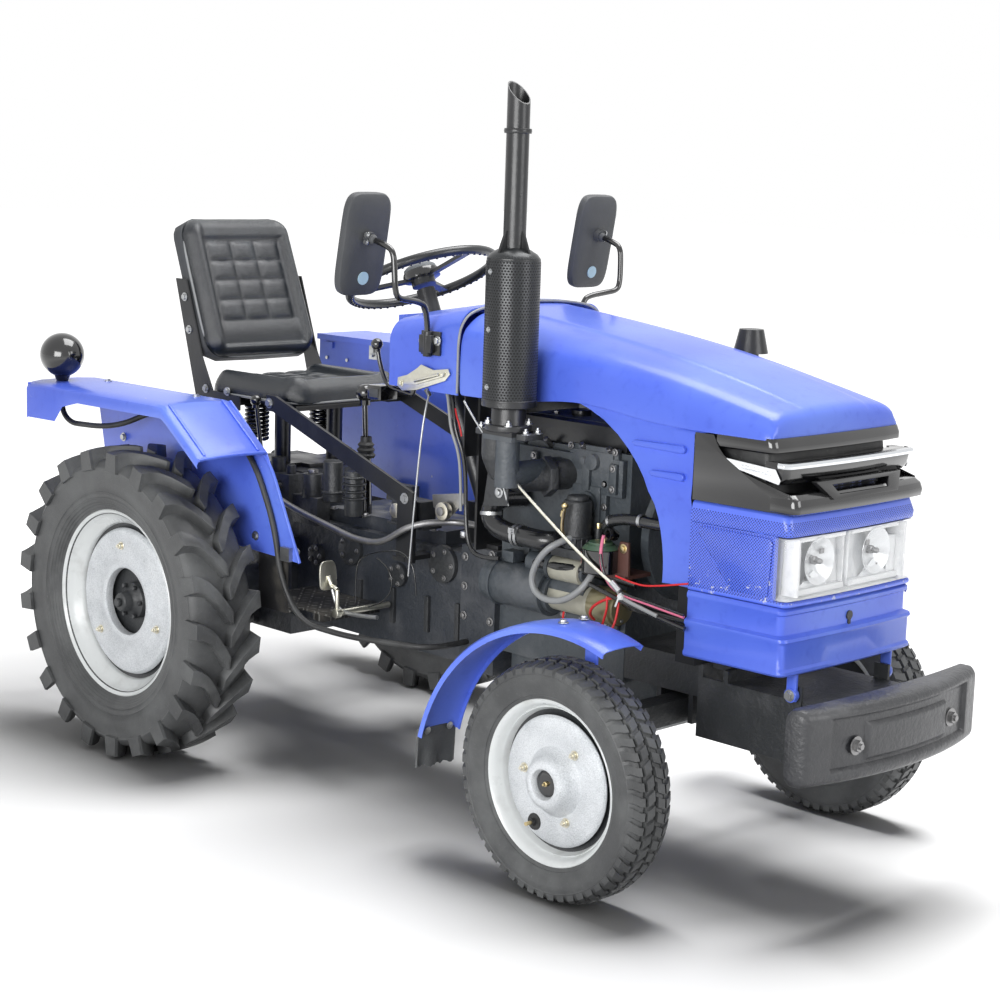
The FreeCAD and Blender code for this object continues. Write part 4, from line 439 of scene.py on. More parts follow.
def dark_finish(name, colour, roughness, grain, depth, dusty, coat=0.0):
    """Black or dark paint, plastic or casting: dust settled in patches and a grain of its own scale."""
    finish = Finish(name, roughness=roughness, Coat_Weight=coat, Coat_Roughness=0.1)
    patches = finish.between(finish.noise(9.0, 4.0), 0.45, 0.8)
    upward = finish.between(finish.facing("Z"), 0.1, 1.0)
    dust = patches * dusty * (upward * 0.8 + 0.25)
    finish.show(Base_Color=finish.mix(dust, colour, DUST),
                Roughness=dust * 0.9 + finish.noise(30.0) * 0.12 + (roughness - 0.06))
    return finish.bump(finish.noise(grain, 4.0, 0.6) + finish.noise(grain / 6, 3.0), depth)


def plated(name, colour, roughness=0.3, stain=0.25):
    """Zinc or chrome plate with cloudy staining."""
    finish = Finish(name, metallic=1.0)
    cloud = finish.noise(70.0, 4.0)
    finish.show(Base_Color=finish.mix(cloud * stain, colour, rgb(96, 92, 80)),
                Roughness=cloud * 0.25 + (roughness - 0.1))
    return finish.bump(finish.noise(500.0, 3.0), 0.0002)


def cast_disc_finish():
    """Aluminium-painted casting: clouded and pitted, with grime in the pits and darker towards the bottom.
    """
    finish = Finish("silver_casting", roughness=0.5, metallic=0.35)
    pits = finish.noise(95.0, 5.0, 0.65)
    cloud = finish.between(finish.noise(14.0, 3.0), 0.3, 0.7)
    specks = finish.between(finish.noise(330.0, 3.0, 0.7), 0.35, 0.7)
    colour = finish.mix(cloud * 0.35 + specks * 0.65, rgb(224, 227, 230), rgb(182, 186, 190))
    # Grime in the pits, and the disc darker towards the bottom.
    pit_grime_and_lower_darkening = finish.between(pits, 0.62, 0.8) * 0.55 + finish.between(finish.axis("Z"), 0.3, 0.05) * 0.15
    finish.show(Base_Color=finish.mix(pit_grime_and_lower_darkening, colour, rgb(92, 94, 92)), Roughness=pits * 0.3 + 0.35)
    return finish.bump(pits * 0.7 + finish.noise(300.0, 4.0, 0.7) * 0.8, 0.0026)


def rim_finish():
    """Cream enamel with patches of mud dust."""
    finish = Finish("cream_rim", roughness=0.3, Coat_Weight=0.3, Coat_Roughness=0.15)
    smear = finish.noise(18.0, 4.0)
    finish.show(Base_Color=finish.mix(finish.between(smear, 0.5, 0.85) * 0.5, rgb(214, 217, 217),
                                      rgb(160, 160, 157)),
                Roughness=smear * 0.35 + 0.15)
    return finish.bump(finish.noise(260.0, 3.0), 0.0002)


def rubber_finish(name, colour, dusty, depth=0.0006):
    """Tyre rubber: soft sheen, grey bloom and dust that gathers in patches."""
    finish = Finish(name, roughness=0.48, Specular_IOR_Level=0.4)
    bloom = finish.between(finish.noise(7.0, 5.0, 0.6), 0.35, 0.75)
    specks = finish.between(finish.noise(130.0, 4.0, 0.7), 0.6, 0.72)
    grey = bloom * dusty + specks * 0.22
    finish.show(Base_Color=finish.mix(grey, colour, rgb(126, 128, 128)),
                Roughness=bloom * 0.22 + specks * 0.1 + 0.36)
    return finish.bump(finish.noise(330.0, 4.0, 0.6) + finish.noise(45.0, 3.0), depth)


def vinyl_finish():
    """Black seat vinyl: leather grain, a satin shine, pale rubbing in patches and a painted highlight on the
    surfaces that face up.
    """
    finish = Finish("black_vinyl_grain", roughness=0.25, Specular_IOR_Level=0.7)
    grain = finish.cells(900.0)
    rub = finish.between(finish.noise(11.0, 3.0), 0.45, 0.8)
    upward = finish.between(finish.facing("Z"), 0.2, 1.0)
    # Painted highlight: surfaces that face up are lightened towards rgb(96, 106, 114). rub adds pale rubbing
    # wear in patches.
    finish.show(Base_Color=finish.mix(rub * 0.1 + upward * 0.07, rgb(17, 23, 30), rgb(96, 106, 114)),
                Roughness=rub * 0.14 + 0.13)
    return finish.bump(grain + finish.noise(80.0, 3.0) * 0.7, 0.0004)


def dimple_finish():
    """Blue panel pressed with rows of small round holes, each darkened as painted shade, and chipped along
    its lower edge.
    """
    finish = Finish("dimpled_blue", roughness=0.3, Coat_Weight=0.35, Coat_Roughness=0.12)
    pitch = 0.0078
    low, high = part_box("headlamp_panel")
    height = finish.axis("Z")
    across = height / (pitch * 0.5)
    row = finish.maths("FLOOR", across)
    shifted = finish.axis("Y") / pitch + row * 0.5
    side = finish.axis("X") / pitch + row * 0.5
    frontal = finish.between(finish.maths("ABSOLUTE", finish.facing("X")), 0.5, 0.7, False)
    u = shifted * frontal + side * (1 - frontal)
    du = u % 1.0 - 0.5
    dv = (across % 1.0 - 0.5) * 0.5
    inside = 1 - finish.between((du * du + dv * dv) ** 0.5, 0.16, 0.26)
    margin = (finish.between(height, low.z + 0.008, low.z + 0.01)
              * (1 - finish.between(height, high.z - 0.02, high.z - 0.018)))
    hole = inside * margin
    low_down = 1 - finish.between(height, low.z + 0.02, low.z + 0.14)
    chips = finish.between(finish.noise(58.0, 6.0, 0.7) + low_down * 0.11, 0.71, 0.73)
    body = finish.mix(finish.noise(3.0), rgb(72, 100, 226), rgb(106, 134, 246))
    # Painted shade: each pressed hole is darkened to rgb(28, 38, 118), a deeper tone of the panel's own
    # blue.
    body = finish.mix(hole, body, rgb(28, 38, 118))
    finish.show(Base_Color=finish.mix(chips, body, rgb(196, 200, 220)),
                Roughness=chips * 0.3 + hole * 0.3 + 0.3)
    return finish.bump(1 - hole, 0.0012)


def heat_shield_finish(centre):
    """Black sheet with staggered rows of punched holes round a drum."""
    finish = Finish("perforated_black", roughness=0.34, metallic=0.3)
    local = finish.shifted(centre)
    turn = finish.maths("ARCTAN2", finish.axis("Y", local), finish.axis("X", local))
    row_height = 0.0068
    holes_round = 52
    rows = finish.axis("Z", local) / row_height
    row = finish.maths("FLOOR", rows)
    around = turn * (holes_round / FULL_TURN) + row * 0.5
    du = around % 1.0 - 0.5
    dv = rows % 1.0 - 0.5
    hole = 1 - finish.between((du * du + dv * dv) ** 0.5, 0.24, 0.34)
    frontal = 1 - finish.between(finish.maths("ABSOLUTE", finish.facing("Z")), 0.4, 0.6, False)
    hole = hole * frontal
    finish.show(Base_Color=finish.mix(hole, rgb(44, 46, 48), rgb(4, 4, 5)),
                Roughness=hole * 0.5 + finish.noise(20.0) * 0.2 + 0.22, Metallic=(1 - hole) * 0.3)
    return finish.bump(1 - hole, 0.0015)


def plate_finish():
    """Black floor plate with raised diagonal bars worn to bare steel."""
    finish = Finish("checkered_plate", roughness=0.45, metallic=0.4)
    pitch = 0.024
    u = finish.axis("X") / pitch
    v = finish.axis("Y") / pitch
    swap = finish.between((finish.maths("FLOOR", u) + finish.maths("FLOOR", v)) % 2.0, 0.4, 0.6, False)
    a = (u % 1.0) - 0.5
    b = (v % 1.0) - 0.5
    slant = (a + b) * (1 - swap) + (a - b) * swap
    length = (a - b) * (1 - swap) + (a + b) * swap
    bar = (1 - finish.between(finish.maths("ABSOLUTE", slant), 0.1, 0.18)) * (
        1 - finish.between(finish.maths("ABSOLUTE", length), 0.42, 0.55))
    wear = bar * finish.between(finish.noise(24.0, 3.0), 0.35, 0.65)
    dust = finish.between(finish.noise(9.0, 5.0), 0.4, 0.7)
    body = finish.mix(dust * 0.45, rgb(34, 34, 36), rgb(120, 116, 108))
    finish.show(Base_Color=finish.mix(wear * 0.7, body, rgb(176, 176, 172)), Metallic=wear * 0.6 + 0.15)
    return finish.bump(bar, 0.0016)


def lens_finish():
    """Clear fluted lamp lens over a bright bowl, white where the moulding is frosted."""
    finish = Finish("lamp_lens", roughness=0.08, Coat_Weight=1.0, Coat_Roughness=0.02)
    flute_width = 0.011
    flutes = finish.maths("ABSOLUTE", (finish.axis("Y") / flute_width) % 1.0 - 0.5)
    cloud = finish.noise(26.0, 4.0)
    blocks = finish.between(finish.noise(12.0, 1.0, place=finish.stretched(0.2, 1.0, 1.6)), 0.42, 0.58)
    colour = finish.mix(cloud * 0.6 + blocks * 0.35, rgb(246, 248, 250), rgb(176, 182, 188))
    finish.show(Base_Color=colour, Roughness=flutes * 0.1 + 0.06)
    return finish.bump(flutes + cloud * 0.4, 0.0008)


def plain_finish(name, colour, roughness=0.4, metallic=0.0, variation=0.12, coat=0.0, **sockets):
    """Small painted, moulded or printed parts: a slight cloudiness and a fine grain."""
    finish = Finish(name, roughness=roughness, metallic=metallic, Coat_Weight=coat, **sockets)
    cloud = finish.noise(40.0, 4.0)
    darker = tuple(level * 0.5 for level in colour)
    finish.show(Base_Color=finish.mix(cloud * variation * 2, colour, darker),
                Roughness=cloud * 0.15 + (roughness - 0.07))
    return finish.bump(finish.noise(300.0, 2.0), 0.0002)


def core_finish():
    """Radiator core: close upright fins."""
    finish = Finish("radiator_fins", roughness=0.5, metallic=0.4)
    fin_pitch = 0.004
    fins = finish.maths("ABSOLUTE", (finish.axis("Y") / fin_pitch) % 1.0 - 0.5)
    finish.show(Base_Color=finish.mix(fins, rgb(18, 19, 20), rgb(66, 68, 70)))
    return finish.bump(fins, 0.002)


def housing_finish():
    """Pearl-white moulded lamp housing with faint grey steps."""
    finish = Finish("lamp_housing_white", roughness=0.18, Coat_Weight=0.6, Coat_Roughness=0.05)
    cloud = finish.noise(30.0, 4.0)
    finish.show(Base_Color=finish.mix(finish.between(cloud, 0.5, 0.8) * 0.5, rgb(248, 249, 250),
                                      rgb(196, 200, 206)),
                Roughness=cloud * 0.1 + 0.12)
    return finish.bump(finish.noise(18.0, 2.0), 0.0006)


def cover_finish():
    """Clear lamp cover: nearly all see-through, with its gloss left."""
    finish = Finish("clear_lamp_cover", rgb(244, 247, 250), 0.04, Alpha=0.14)
    haze = finish.noise(24.0, 3.0)
    finish.show(Roughness=haze * 0.08 + 0.02)
    return finish.bump(haze, 0.0003)


def mesh_insert_finish():
    """Dark woven mesh behind the grille's opening."""
    finish = Finish("grille_mesh_insert", roughness=0.5, metallic=0.3)
    pitch = 0.006
    u = finish.axis("Y") / pitch % 1.0 - 0.5
    v = finish.axis("Z") / pitch % 1.0 - 0.5
    hole = 1 - finish.between((u * u + v * v) ** 0.5, 0.25, 0.36)
    behind = finish.mix(finish.between(finish.noise(40.0, 3.0), 0.45, 0.6), rgb(10, 14, 50),
                        rgb(120, 130, 190))
    finish.show(Base_Color=finish.mix(hole, rgb(20, 22, 26), behind))
    return finish.bump(1 - hole, 0.001)


blue = blue_finish("blue_enamel")
blue_scratched = blue_finish("blue_enamel_scratched", chips_from=0.89)
blue_plain = blue_finish("blue_enamel_far", mottled=0.2)
dimpled = dimple_finish()
shield = heat_shield_finish((middle("exhaust").x, middle("exhaust").y, 1.12))
black_sheet = dark_finish("black_sheet_paint", rgb(30, 31, 33), 0.3, 120.0, 0.0004, 0.2)
black_gloss = dark_finish("black_gloss_paint", rgb(12, 12, 14), 0.14, 60.0, 0.0001, 0.06, coat=0.8)
casting = dark_finish("black_casting_paint", rgb(46, 48, 50), 0.42, 90.0, 0.0022, 0.4)
weight_casting = dark_finish("rough_black_casting", rgb(48, 49, 52), 0.38, 70.0, 0.0035, 0.3, coat=0.15)
engine_paint = dark_finish("engine_paint_dark", rgb(66, 72, 77), 0.4, 60.0, 0.0028, 0.8)
engine_blue = dark_finish("engine_paint_blue", rgb(50, 54, 60), 0.42, 60.0, 0.0028, 0.7)
plastic = dark_finish("black_plastic_moulded", rgb(62, 64, 67), 0.55, 500.0, 0.0006, 0.35)
black_rubber = rubber_finish("black_hose_rubber", rgb(34, 34, 35), 0.25)
tyre_rubber = rubber_finish("tyre_rubber_tread", rgb(66, 67, 68), 0.36)
flap_rubber = rubber_finish("flap_rubber_grey", rgb(70, 72, 74), 0.6, 0.0012)
silver = cast_disc_finish()
cream = rim_finish()
vinyl = vinyl_finish()
lens = lens_finish()
fins = core_finish()
housing_white = housing_finish()
clear_cover = cover_finish()
mesh_insert = mesh_insert_finish()
chequer = plate_finish()
chrome = plated("chrome_plate", rgb(225, 228, 232), 0.14, 0.12)
zinc = plated("bright_zinc_plate", rgb(186, 188, 190), 0.36, 0.3)
yellow_zinc = plated("yellow_zinc_plate", rgb(226, 221, 204), 0.3, 0.3)
brass = plated("brass_fitting", rgb(214, 194, 146), 0.3, 0.25)
steel = plated("worn_steel", rgb(150, 150, 152), 0.4, 0.4)
mirror_silver = plated("mirror_silver", rgb(230, 234, 238), 0.1, 0.04)
white_lens = plain_finish("white_marker_lens", rgb(240, 242, 244), 0.12, variation=0.04, coat=1.0)
cream_paint = plain_finish("cream_solenoid_paint", rgb(186, 184, 168), 0.35, variation=0.3)
red_wire = plain_finish("red_wire_sheath", rgb(214, 40, 44), 0.4)
pink_wire = plain_finish("pink_wire_sheath", rgb(226, 120, 150), 0.4)
green_paint = plain_finish("green_filter_paint", rgb(66, 92, 72), 0.35)
red_paint = plain_finish("red_band_paint", rgb(190, 40, 44), 0.35)
grey_hose = plain_finish("grey_hose_plastic", rgb(150, 152, 152), 0.4)
pearl_reflector = plain_finish("pearl_reflector", rgb(246, 248, 250), 0.12, 0.1, variation=0.06, coat=0.6)
black_vinyl_rim = dark_finish("steering_wheel_black", rgb(34, 36, 38), 0.3, 300.0, 0.0002, 0.1, coat=0.2)
crumpled_zinc = plated("crumpled_zinc_plate", rgb(222, 220, 206), 0.3, 0.3)
pale_grey = plain_finish("pale_grey_moulding", rgb(120, 124, 126), 0.45)
black_hose = plain_finish("black_hose_glossy", rgb(30, 31, 33), 0.25, variation=0.2, coat=0.3)
rusty_bracket = plain_finish("rusty_red_bracket", rgb(92, 58, 50), 0.6, variation=0.3)
amber_metal = plain_finish("yellowed_starter_end", rgb(142, 134, 102), 0.3, 0.4, variation=0.3, coat=0.3)
white_plastic = plain_finish("white_tie_plastic", rgb(232, 234, 234), 0.4, variation=0.05)
dial_paint = plain_finish("pale_disc_plastic", rgb(176, 206, 222), 0.35, variation=0.08)

SLOT_FINISHES = {
    "blue_sheet": blue, "black_sheet": black_sheet, "black_gloss": black_gloss, "black_casting": casting,
    "blue_casting": engine_blue, "engine_paint": engine_paint, "wheel_paint": silver,
    "tyre_rubber": tyre_rubber, "lamp_glass": lens, "bright_steel": steel, "zinc_steel": zinc,
    "black_vinyl": vinyl, "black_plastic": plastic, "black_rubber": black_rubber, "radiator_metal": fins,
}
NODE_FINISHES = {
    "front_weight": weight_casting, "footplates": chequer, "headlamp_panel": dimpled, "toolbox": blue_plain,
    "hydraulic_pipe": steel, "levers": black_gloss, "steering_wheel": black_vinyl_rim,
}


def finish_the_frame():
    """Gives every node of the model the finish of its slot, or one of its own."""
    for row in frame["record"]["subparts"]:
        name = row["node"]
        finish = NODE_FINISHES.get(name) or SLOT_FINISHES.get(row["material_slot"], casting)
        for place in CAD[name].material_slots:
            place.material = finish


# ---- Floor, lamps and camera ----

def camera():
    """Stands off the right front corner at chest height, looking back and slightly down."""
    spot = Vector((3.9866, -3.9405, 1.7243))
    yaw, pitch, roll = 2.3594, -0.1682, 0.0312
    ahead = Vector((math.cos(pitch) * math.cos(yaw), math.cos(pitch) * math.sin(yaw), math.sin(pitch)))
    level = Vector((math.sin(yaw), -math.cos(yaw), 0))
    above = level.cross(ahead)
    right = math.cos(roll) * level + math.sin(roll) * above
    up = math.cos(roll) * above - math.sin(roll) * level
    data = bpy.data.cameras.new("camera")
    data.sensor_width = 36
    data.lens = 74.29
    data.shift_x = 0.0176
    data.shift_y = 0.0022
    data.clip_end = 100
    viewer = bpy.data.objects.new("camera", data)
    viewer.matrix_world = Matrix(((right.x, up.x, -ahead.x, spot.x), (right.y, up.y, -ahead.y, spot.y),
                                  (right.z, up.z, -ahead.z, spot.z), (0, 0, 0, 1)))
    bpy.context.scene.collection.objects.link(viewer)
    bpy.context.scene.camera = viewer


def lamp(name, spot, aim, size, watts, gloss=True):
    """A flat lamp facing a spot."""
    data = bpy.data.lights.new(name, "AREA")
    data.shape = "RECTANGLE"
    data.size, data.size_y = size
    data.energy = watts
    thing = bpy.data.objects.new(name, data)
    thing.visible_glossy = gloss
    thing.location = spot
    thing.rotation_euler = (Vector(aim) - Vector(spot)).to_track_quat("-Z", "Y").to_euler()
    bpy.context.scene.collection.objects.link(thing)
    return thing


def studio_sky():
    """White behind the machine and in what it mirrors, a quarter as strong as a light on it."""
    world = bpy.data.worlds.new("studio")
    world.use_nodes = True
    tree = world.node_tree
    rays = tree.nodes.new("ShaderNodeLightPath")
    seen = rays.outputs["Is Camera Ray"]
    for kind in ("Is Glossy Ray", "Is Transmission Ray"):
        larger = tree.nodes.new("ShaderNodeMath")
        larger.operation = "MAXIMUM"
        tree.links.new(seen, larger.inputs[0])
        tree.links.new(rays.outputs[kind], larger.inputs[1])
        seen = larger.outputs[0]
    level = tree.nodes.new("ShaderNodeMapRange")
    level.inputs["To Min"].default_value = 0.25
    level.inputs["To Max"].default_value = 1.0
    tree.links.new(seen, level.inputs["Value"])
    backdrop = tree.nodes["Background"]
    tree.links.new(level.outputs[0], backdrop.inputs["Strength"])
    backdrop.inputs["Color"].default_value = (1, 1, 1, 1)
    bpy.context.scene.world = world


def studio_floor():
    """A floor that goes to white away from the machine and keeps a grey shadow under it."""
    bm = bmesh.new()
    bmesh.ops.create_grid(bm, x_segments=1, y_segments=1, size=40)
    mesh = bpy.data.meshes.new("floor")
    bm.to_mesh(mesh)
    bm.free()
    floor = bpy.data.objects.new("floor", mesh)
    bpy.context.scene.collection.objects.link(floor)
    finish = Finish("studio_floor", rgb(226, 226, 226), 0.9, Specular_IOR_Level=0.0)
    finish.show(Base_Color=finish.mix(finish.noise(0.6), rgb(228, 228, 228), rgb(224, 224, 224)))
    rays = finish.maths("MAXIMUM", finish.node("ShaderNodeLightPath", {}, {}, "Is Camera Ray"),
                        finish.node("ShaderNodeLightPath", {}, {}, "Is Glossy Ray"))
    distance = finish.node("ShaderNodeVectorMath", {"operation": "LENGTH"}, {0: finish.place}, "Value")
    lit_from, white_from = 1.6, 3.8
    finish.show(Emission_Color=(1, 1, 1),
                Emission_Strength=rays * finish.between(distance, lit_from, white_from))
    mesh.materials.append(finish.material)
    return floor


def studio_lamps(floor):
    """Two lamps overhead, one of them for the floor alone, and two at the sides that leave the floor out."""
    lamp("overhead", (0.3, 0.8, 4.7), (0.0, 0.0, 0.4), (2.9, 2.9), 185)
    floor_lamp = lamp("floor_lamp", (0.3, 0.85, 4.7), (0.0, 0.0, 0.0), (2.8, 2.8), 245, gloss=False)
    key = lamp("key", (1.9, -5.0, 1.8), (0.1, -0.2, 0.8), (3.4, 2.2), 210)
    nose_fill = lamp("nose_fill", (5.6, 0.8, 2.4), (1.0, 0.0, 0.8), (2.6, 2.2), 80)
    unlit = bpy.data.collections.new("not_lit_from_the_sides")
    unlit.objects.link(floor)
    unlit.collection_objects[0].light_linking.link_state = "EXCLUDE"
    for side_lamp in (key, nose_fill):
        side_lamp.light_linking.receiver_collection = unlit
    lit = bpy.data.collections.new("lit_by_the_floor_lamp")
    lit.objects.link(floor)
    floor_lamp.light_linking.receiver_collection = lit


finish_the_frame()
camera()
studio_sky()
studio_lamps(studio_floor())
bpy.context.scene.view_settings.view_transform = "Standard"


# ---- Tyres and wheels ----

def ring_of(bm, profile, centre, axis, steps):
    """A closed section of (along the axis, radius) turned a full circle."""
    centre = Vector(centre)
    axis = Vector(axis).normalized()
    away = Vector((0, 0, 1)) if abs(axis.z) < 0.5 else Vector((1, 0, 0))
    verts = [bm.verts.new(centre + axis * along + away * radius) for along, radius in profile]
    edges = [bm.edges.new(pair) for pair in zip(verts, verts[1:] + verts[:1])]
    bmesh.ops.spin(bm, geom=verts + edges, cent=centre, axis=axis, steps=steps, angle=FULL_TURN,
                   use_merge=True)


def mirrored_profile(half):
    """A tyre's whole section from its outboard half."""
    return half + [(-offset, radius) for offset, radius in reversed(half)]


def around_wheel(centre, sign, outboard, radius=0.0, turn=0.0):
    """A point on a wheel: turn runs from straight ahead down to the ground."""
    return centre + Vector((radius * math.cos(turn), sign * outboard, -radius * math.sin(turn)))


def tread_bars(bm, centre, sign, edge, count, path):
    """Bars round one edge of a tyre, the inner edge's half a pitch on from the outer's.

    The path of a bar is rows of (outboard, lead in pitches, half width, foot radius, top radius).
    """
    start = 0.0 if edge > 0 else 0.5
    for index in range(count):
        rings = []
        for outboard, lead, width, foot, top in path:
            turn = (index + start + lead) * FULL_TURN / count
            half = width / top
            corners = ((foot, -half * 1.35), (top, -half), (top, half), (foot, half * 1.35))
            rings.append([around_wheel(centre, sign, edge * outboard, radius, turn + lag) for radius,
                          lag in corners])
        yield tube_wall(bm, rings)


def rear_tyre(side, sign):
    """Stepped walls and tall slanting lugs with a worn hollow in each outer end."""
    centre = middle(f"rear_tyre_{side}")
    bm = bmesh.new()
    section = mirrored_profile([
        (0.070, 0.252), (0.0745, 0.262), (0.078, 0.272), (0.0815, 0.2735), (0.083, 0.279), (0.0865, 0.2805),
        (0.088, 0.286), (0.0915, 0.2875), (0.0928, 0.296), (0.0948, 0.2965), (0.0950, 0.3005),
        (0.0940, 0.301), (0.0965, 0.313), (0.0984, 0.3135), (0.0986, 0.3165), (0.0975, 0.317),
        (0.1005, 0.335), (0.1025, 0.358), (0.1015, 0.380), (0.1035, 0.3835), (0.1005, 0.388),
        (0.0925, 0.3985), (0.078, 0.406), (0.050, 0.411), (0.020, 0.413)])
    ring_of(bm, section, centre, (0, sign, 0), 120)
    shoulder = 0.1035
    path = [(outboard, lead, width, foot, 0.4415 - (outboard / shoulder) ** 4 * 0.008)
            for outboard, lead, width, foot in (
                (shoulder, 0.00, 0.0225, 0.378), (0.088, 0.04, 0.0210, 0.400), (0.066, 0.13, 0.0190, 0.400),
                (0.044, 0.31, 0.0195, 0.400), (0.022, 0.54, 0.0215, 0.400), (0.006, 0.72, 0.0225, 0.400),
                (-0.003, 0.79, 0.0165, 0.400))]
    for edge in (1, -1):
        for outer_end, _ in tread_bars(bm, centre, sign, edge, 21, path):
            bmesh.ops.inset_individual(bm, faces=[outer_end], thickness=0.007, depth=0.0)
            bmesh.ops.inset_individual(bm, faces=[outer_end], thickness=0.002, depth=-0.009)
    piece(f"rear_tread_{side}", bm, f"rear_wheel_{side}", tyre_rubber, "tyre_rubber", f"rear_tyre_{side}",
          merge=0, bevel=0.0022, bevel_steps=1)


def front_tyre(side, sign):
    """Round-shouldered road tyre with hooked shoulder bars and slanting blocks in the middle."""
    centre = middle(f"front_tyre_{side}")
    bm = bmesh.new()
    section = mirrored_profile([
        (0.0465, 0.190), (0.050, 0.197), (0.0535, 0.206), (0.056, 0.2075), (0.0595, 0.222), (0.0645, 0.238),
        (0.0650, 0.249), (0.0635, 0.2555), (0.0650, 0.2575), (0.0625, 0.2625), (0.0575, 0.271),
        (0.050, 0.276), (0.035, 0.2775), (0.033, 0.2735), (0.029, 0.2735), (0.027, 0.281), (0.0035, 0.2825),
        (0.0025, 0.2745)])
    ring_of(bm, section, centre, (0, sign, 0), 104)
    hooks = [(outboard, lead, 0.0098, foot, 0.2880 - (outboard / 0.066) ** 3 * 0.0165)
             for outboard, lead, foot in ((0.0640, 0.0, 0.252), (0.0575, 0.12, 0.262), (0.047, 0.32, 0.262),
                                          (0.036, 0.38, 0.262))]
    blocks = [(outboard, lead, 0.0115 * 0.2878 / 0.287, 0.270, 0.2878)
              for outboard, lead in ((0.028, 0.34), (0.016, 0.20), (0.005, 0.06))]
    for edge in (1, -1):
        for path in (hooks, blocks):
            list(tread_bars(bm, centre, sign, edge, 52, path))
    piece(f"front_tread_{side}", bm, f"front_wheel_{side}", tyre_rubber, "tyre_rubber", f"front_tyre_{side}",
          merge=0, smooth=34)


def wheel(end, side, sign, sizes):
    """Rim, cast disc, bolts and hub of one wheel, replacing the plain turned one, with a dark cone behind
    the disc as painted shade in the gap at the disc's edge.
    """
    centre = middle(f"{end}_tyre_{side}")
    axis = (0, sign, 0)
    body = f"{end}_wheel_{side}"
    rim, seat, lip, well, web, hub, nose = (
        sizes.rim, sizes.seat, sizes.lip, sizes.well, sizes.web, sizes.hub, sizes.nose)
    bm = bmesh.new()
    ring_of(bm, [(lip, rim + 0.004), (lip + 0.003, rim), (lip - 0.001, rim - 0.006),
                 (lip - 0.010, rim - 0.012), (lip - 0.026, rim - 0.019), (well + 0.012, seat + 0.005),
                 (well, seat), (well - 0.030, rim - 0.038), (-lip + 0.006, rim - 0.014), (-lip, rim + 0.002),
                 (-lip, rim + 0.008), (well - 0.020, rim - 0.022), (lip - 0.004, rim + 0.006)],
            centre, axis, 112)
    piece(f"{end}_rim_{side}", bm, body, cream, "wheel_paint", f"{end}_wheel_{side}")

    bm = bmesh.new()
    ring_of(bm, sizes.disc, centre, axis, 112)
    piece(f"{end}_disc_{side}", bm, body, silver, "wheel_paint", smooth=35)

    bm = bmesh.new()
    # Painted shade: a dark cone from the hub out to the rim's seat, behind the disc, fills the gap between
    # the disc's edge and the rim with a dark ring.
    turned(bm, [(well - 0.030, hub * 0.9), (well - 0.012, sizes.disc_edge * 0.93),
                (well - 0.003, seat + 0.002)],
           centre, axis, 72)
    turned(bm, [(-0.045, 0.0), (-0.045, hub), (web - 0.012, hub), (web - 0.008, hub - 0.012),
                (web + 0.004, hub * 0.56), (nose, hub * 0.5), (nose + 0.004, hub * 0.42),
                (nose + 0.004, 0.0)],
           centre, axis, 56)
    if end == "rear":
        for index in range(6):
            spot = around_wheel(centre, sign, web - 0.012, 0.047, FULL_TURN * index / 6)
            bolt(bm, spot, axis, 0.007, 0.012)
        bolt(bm, around_wheel(centre, sign, nose), axis, 0.013, 0.014)
    inner_end = Vector((centre.x, sign * sizes.axle_from, centre.z))
    rod(bm, around_wheel(centre, sign, sizes.axle_to), inner_end, sizes.axle)
    piece(f"{end}_hub_{side}", bm, body, casting, "wheel_paint", bevel=0.0012, bevel_steps=1)

    bm = bmesh.new()
    for turn in sizes.bolts:
        spot = around_wheel(centre, sign, sizes.face, sizes.bolt_circle, math.radians(turn))
        bolt(bm, spot, axis, 0.0085, 0.009, 0.012, nut=True)
    piece(f"{end}_wheel_bolts_{side}", bm, body, yellow_zinc, "zinc_steel", bevel=0.0006, bevel_steps=1)


REAR_WHEEL = SimpleNamespace(
    rim=0.262, seat=0.221, lip=0.0745, well=0.024, web=0.030, disc_edge=0.206, hub=0.052, nose=0.056,
    axle=0.024, axle_from=0.418, axle_to=-0.04, face=0.0385, bolt_circle=0.158, bolts=(20, 140, 262),
    disc=[(0.018, 0.094), (0.018, 0.120), (0.018, 0.196), (0.020, 0.205), (0.026, 0.2085), (0.033, 0.206),
             (0.0375, 0.200), (0.0385, 0.152), (0.0375, 0.124), (0.0415, 0.114), (0.0425, 0.104),
             (0.0390, 0.096), (0.032, 0.0935)])
FRONT_WHEEL = SimpleNamespace(
    rim=0.196, seat=0.170, lip=0.0490, well=0.014, web=0.020, disc_edge=0.150, hub=0.040, nose=0.050,
    axle=0.044, axle_from=0.447, axle_to=0.0, face=0.0300, bolt_circle=0.098, bolts=(-52, 65, 187),
    disc=[(0.010, 0.018), (0.010, 0.060), (0.014, 0.100), (0.014, 0.148), (0.017, 0.1545), (0.022, 0.1565),
             (0.0270, 0.1535), (0.0300, 0.147), (0.0300, 0.110), (0.0295, 0.084), (0.0350, 0.076),
             (0.0520, 0.067), (0.0660, 0.058), (0.0700, 0.052), (0.0715, 0.045), (0.0695, 0.037),
             (0.0620, 0.0325), (0.0520, 0.0315), (0.0520, 0.018)])


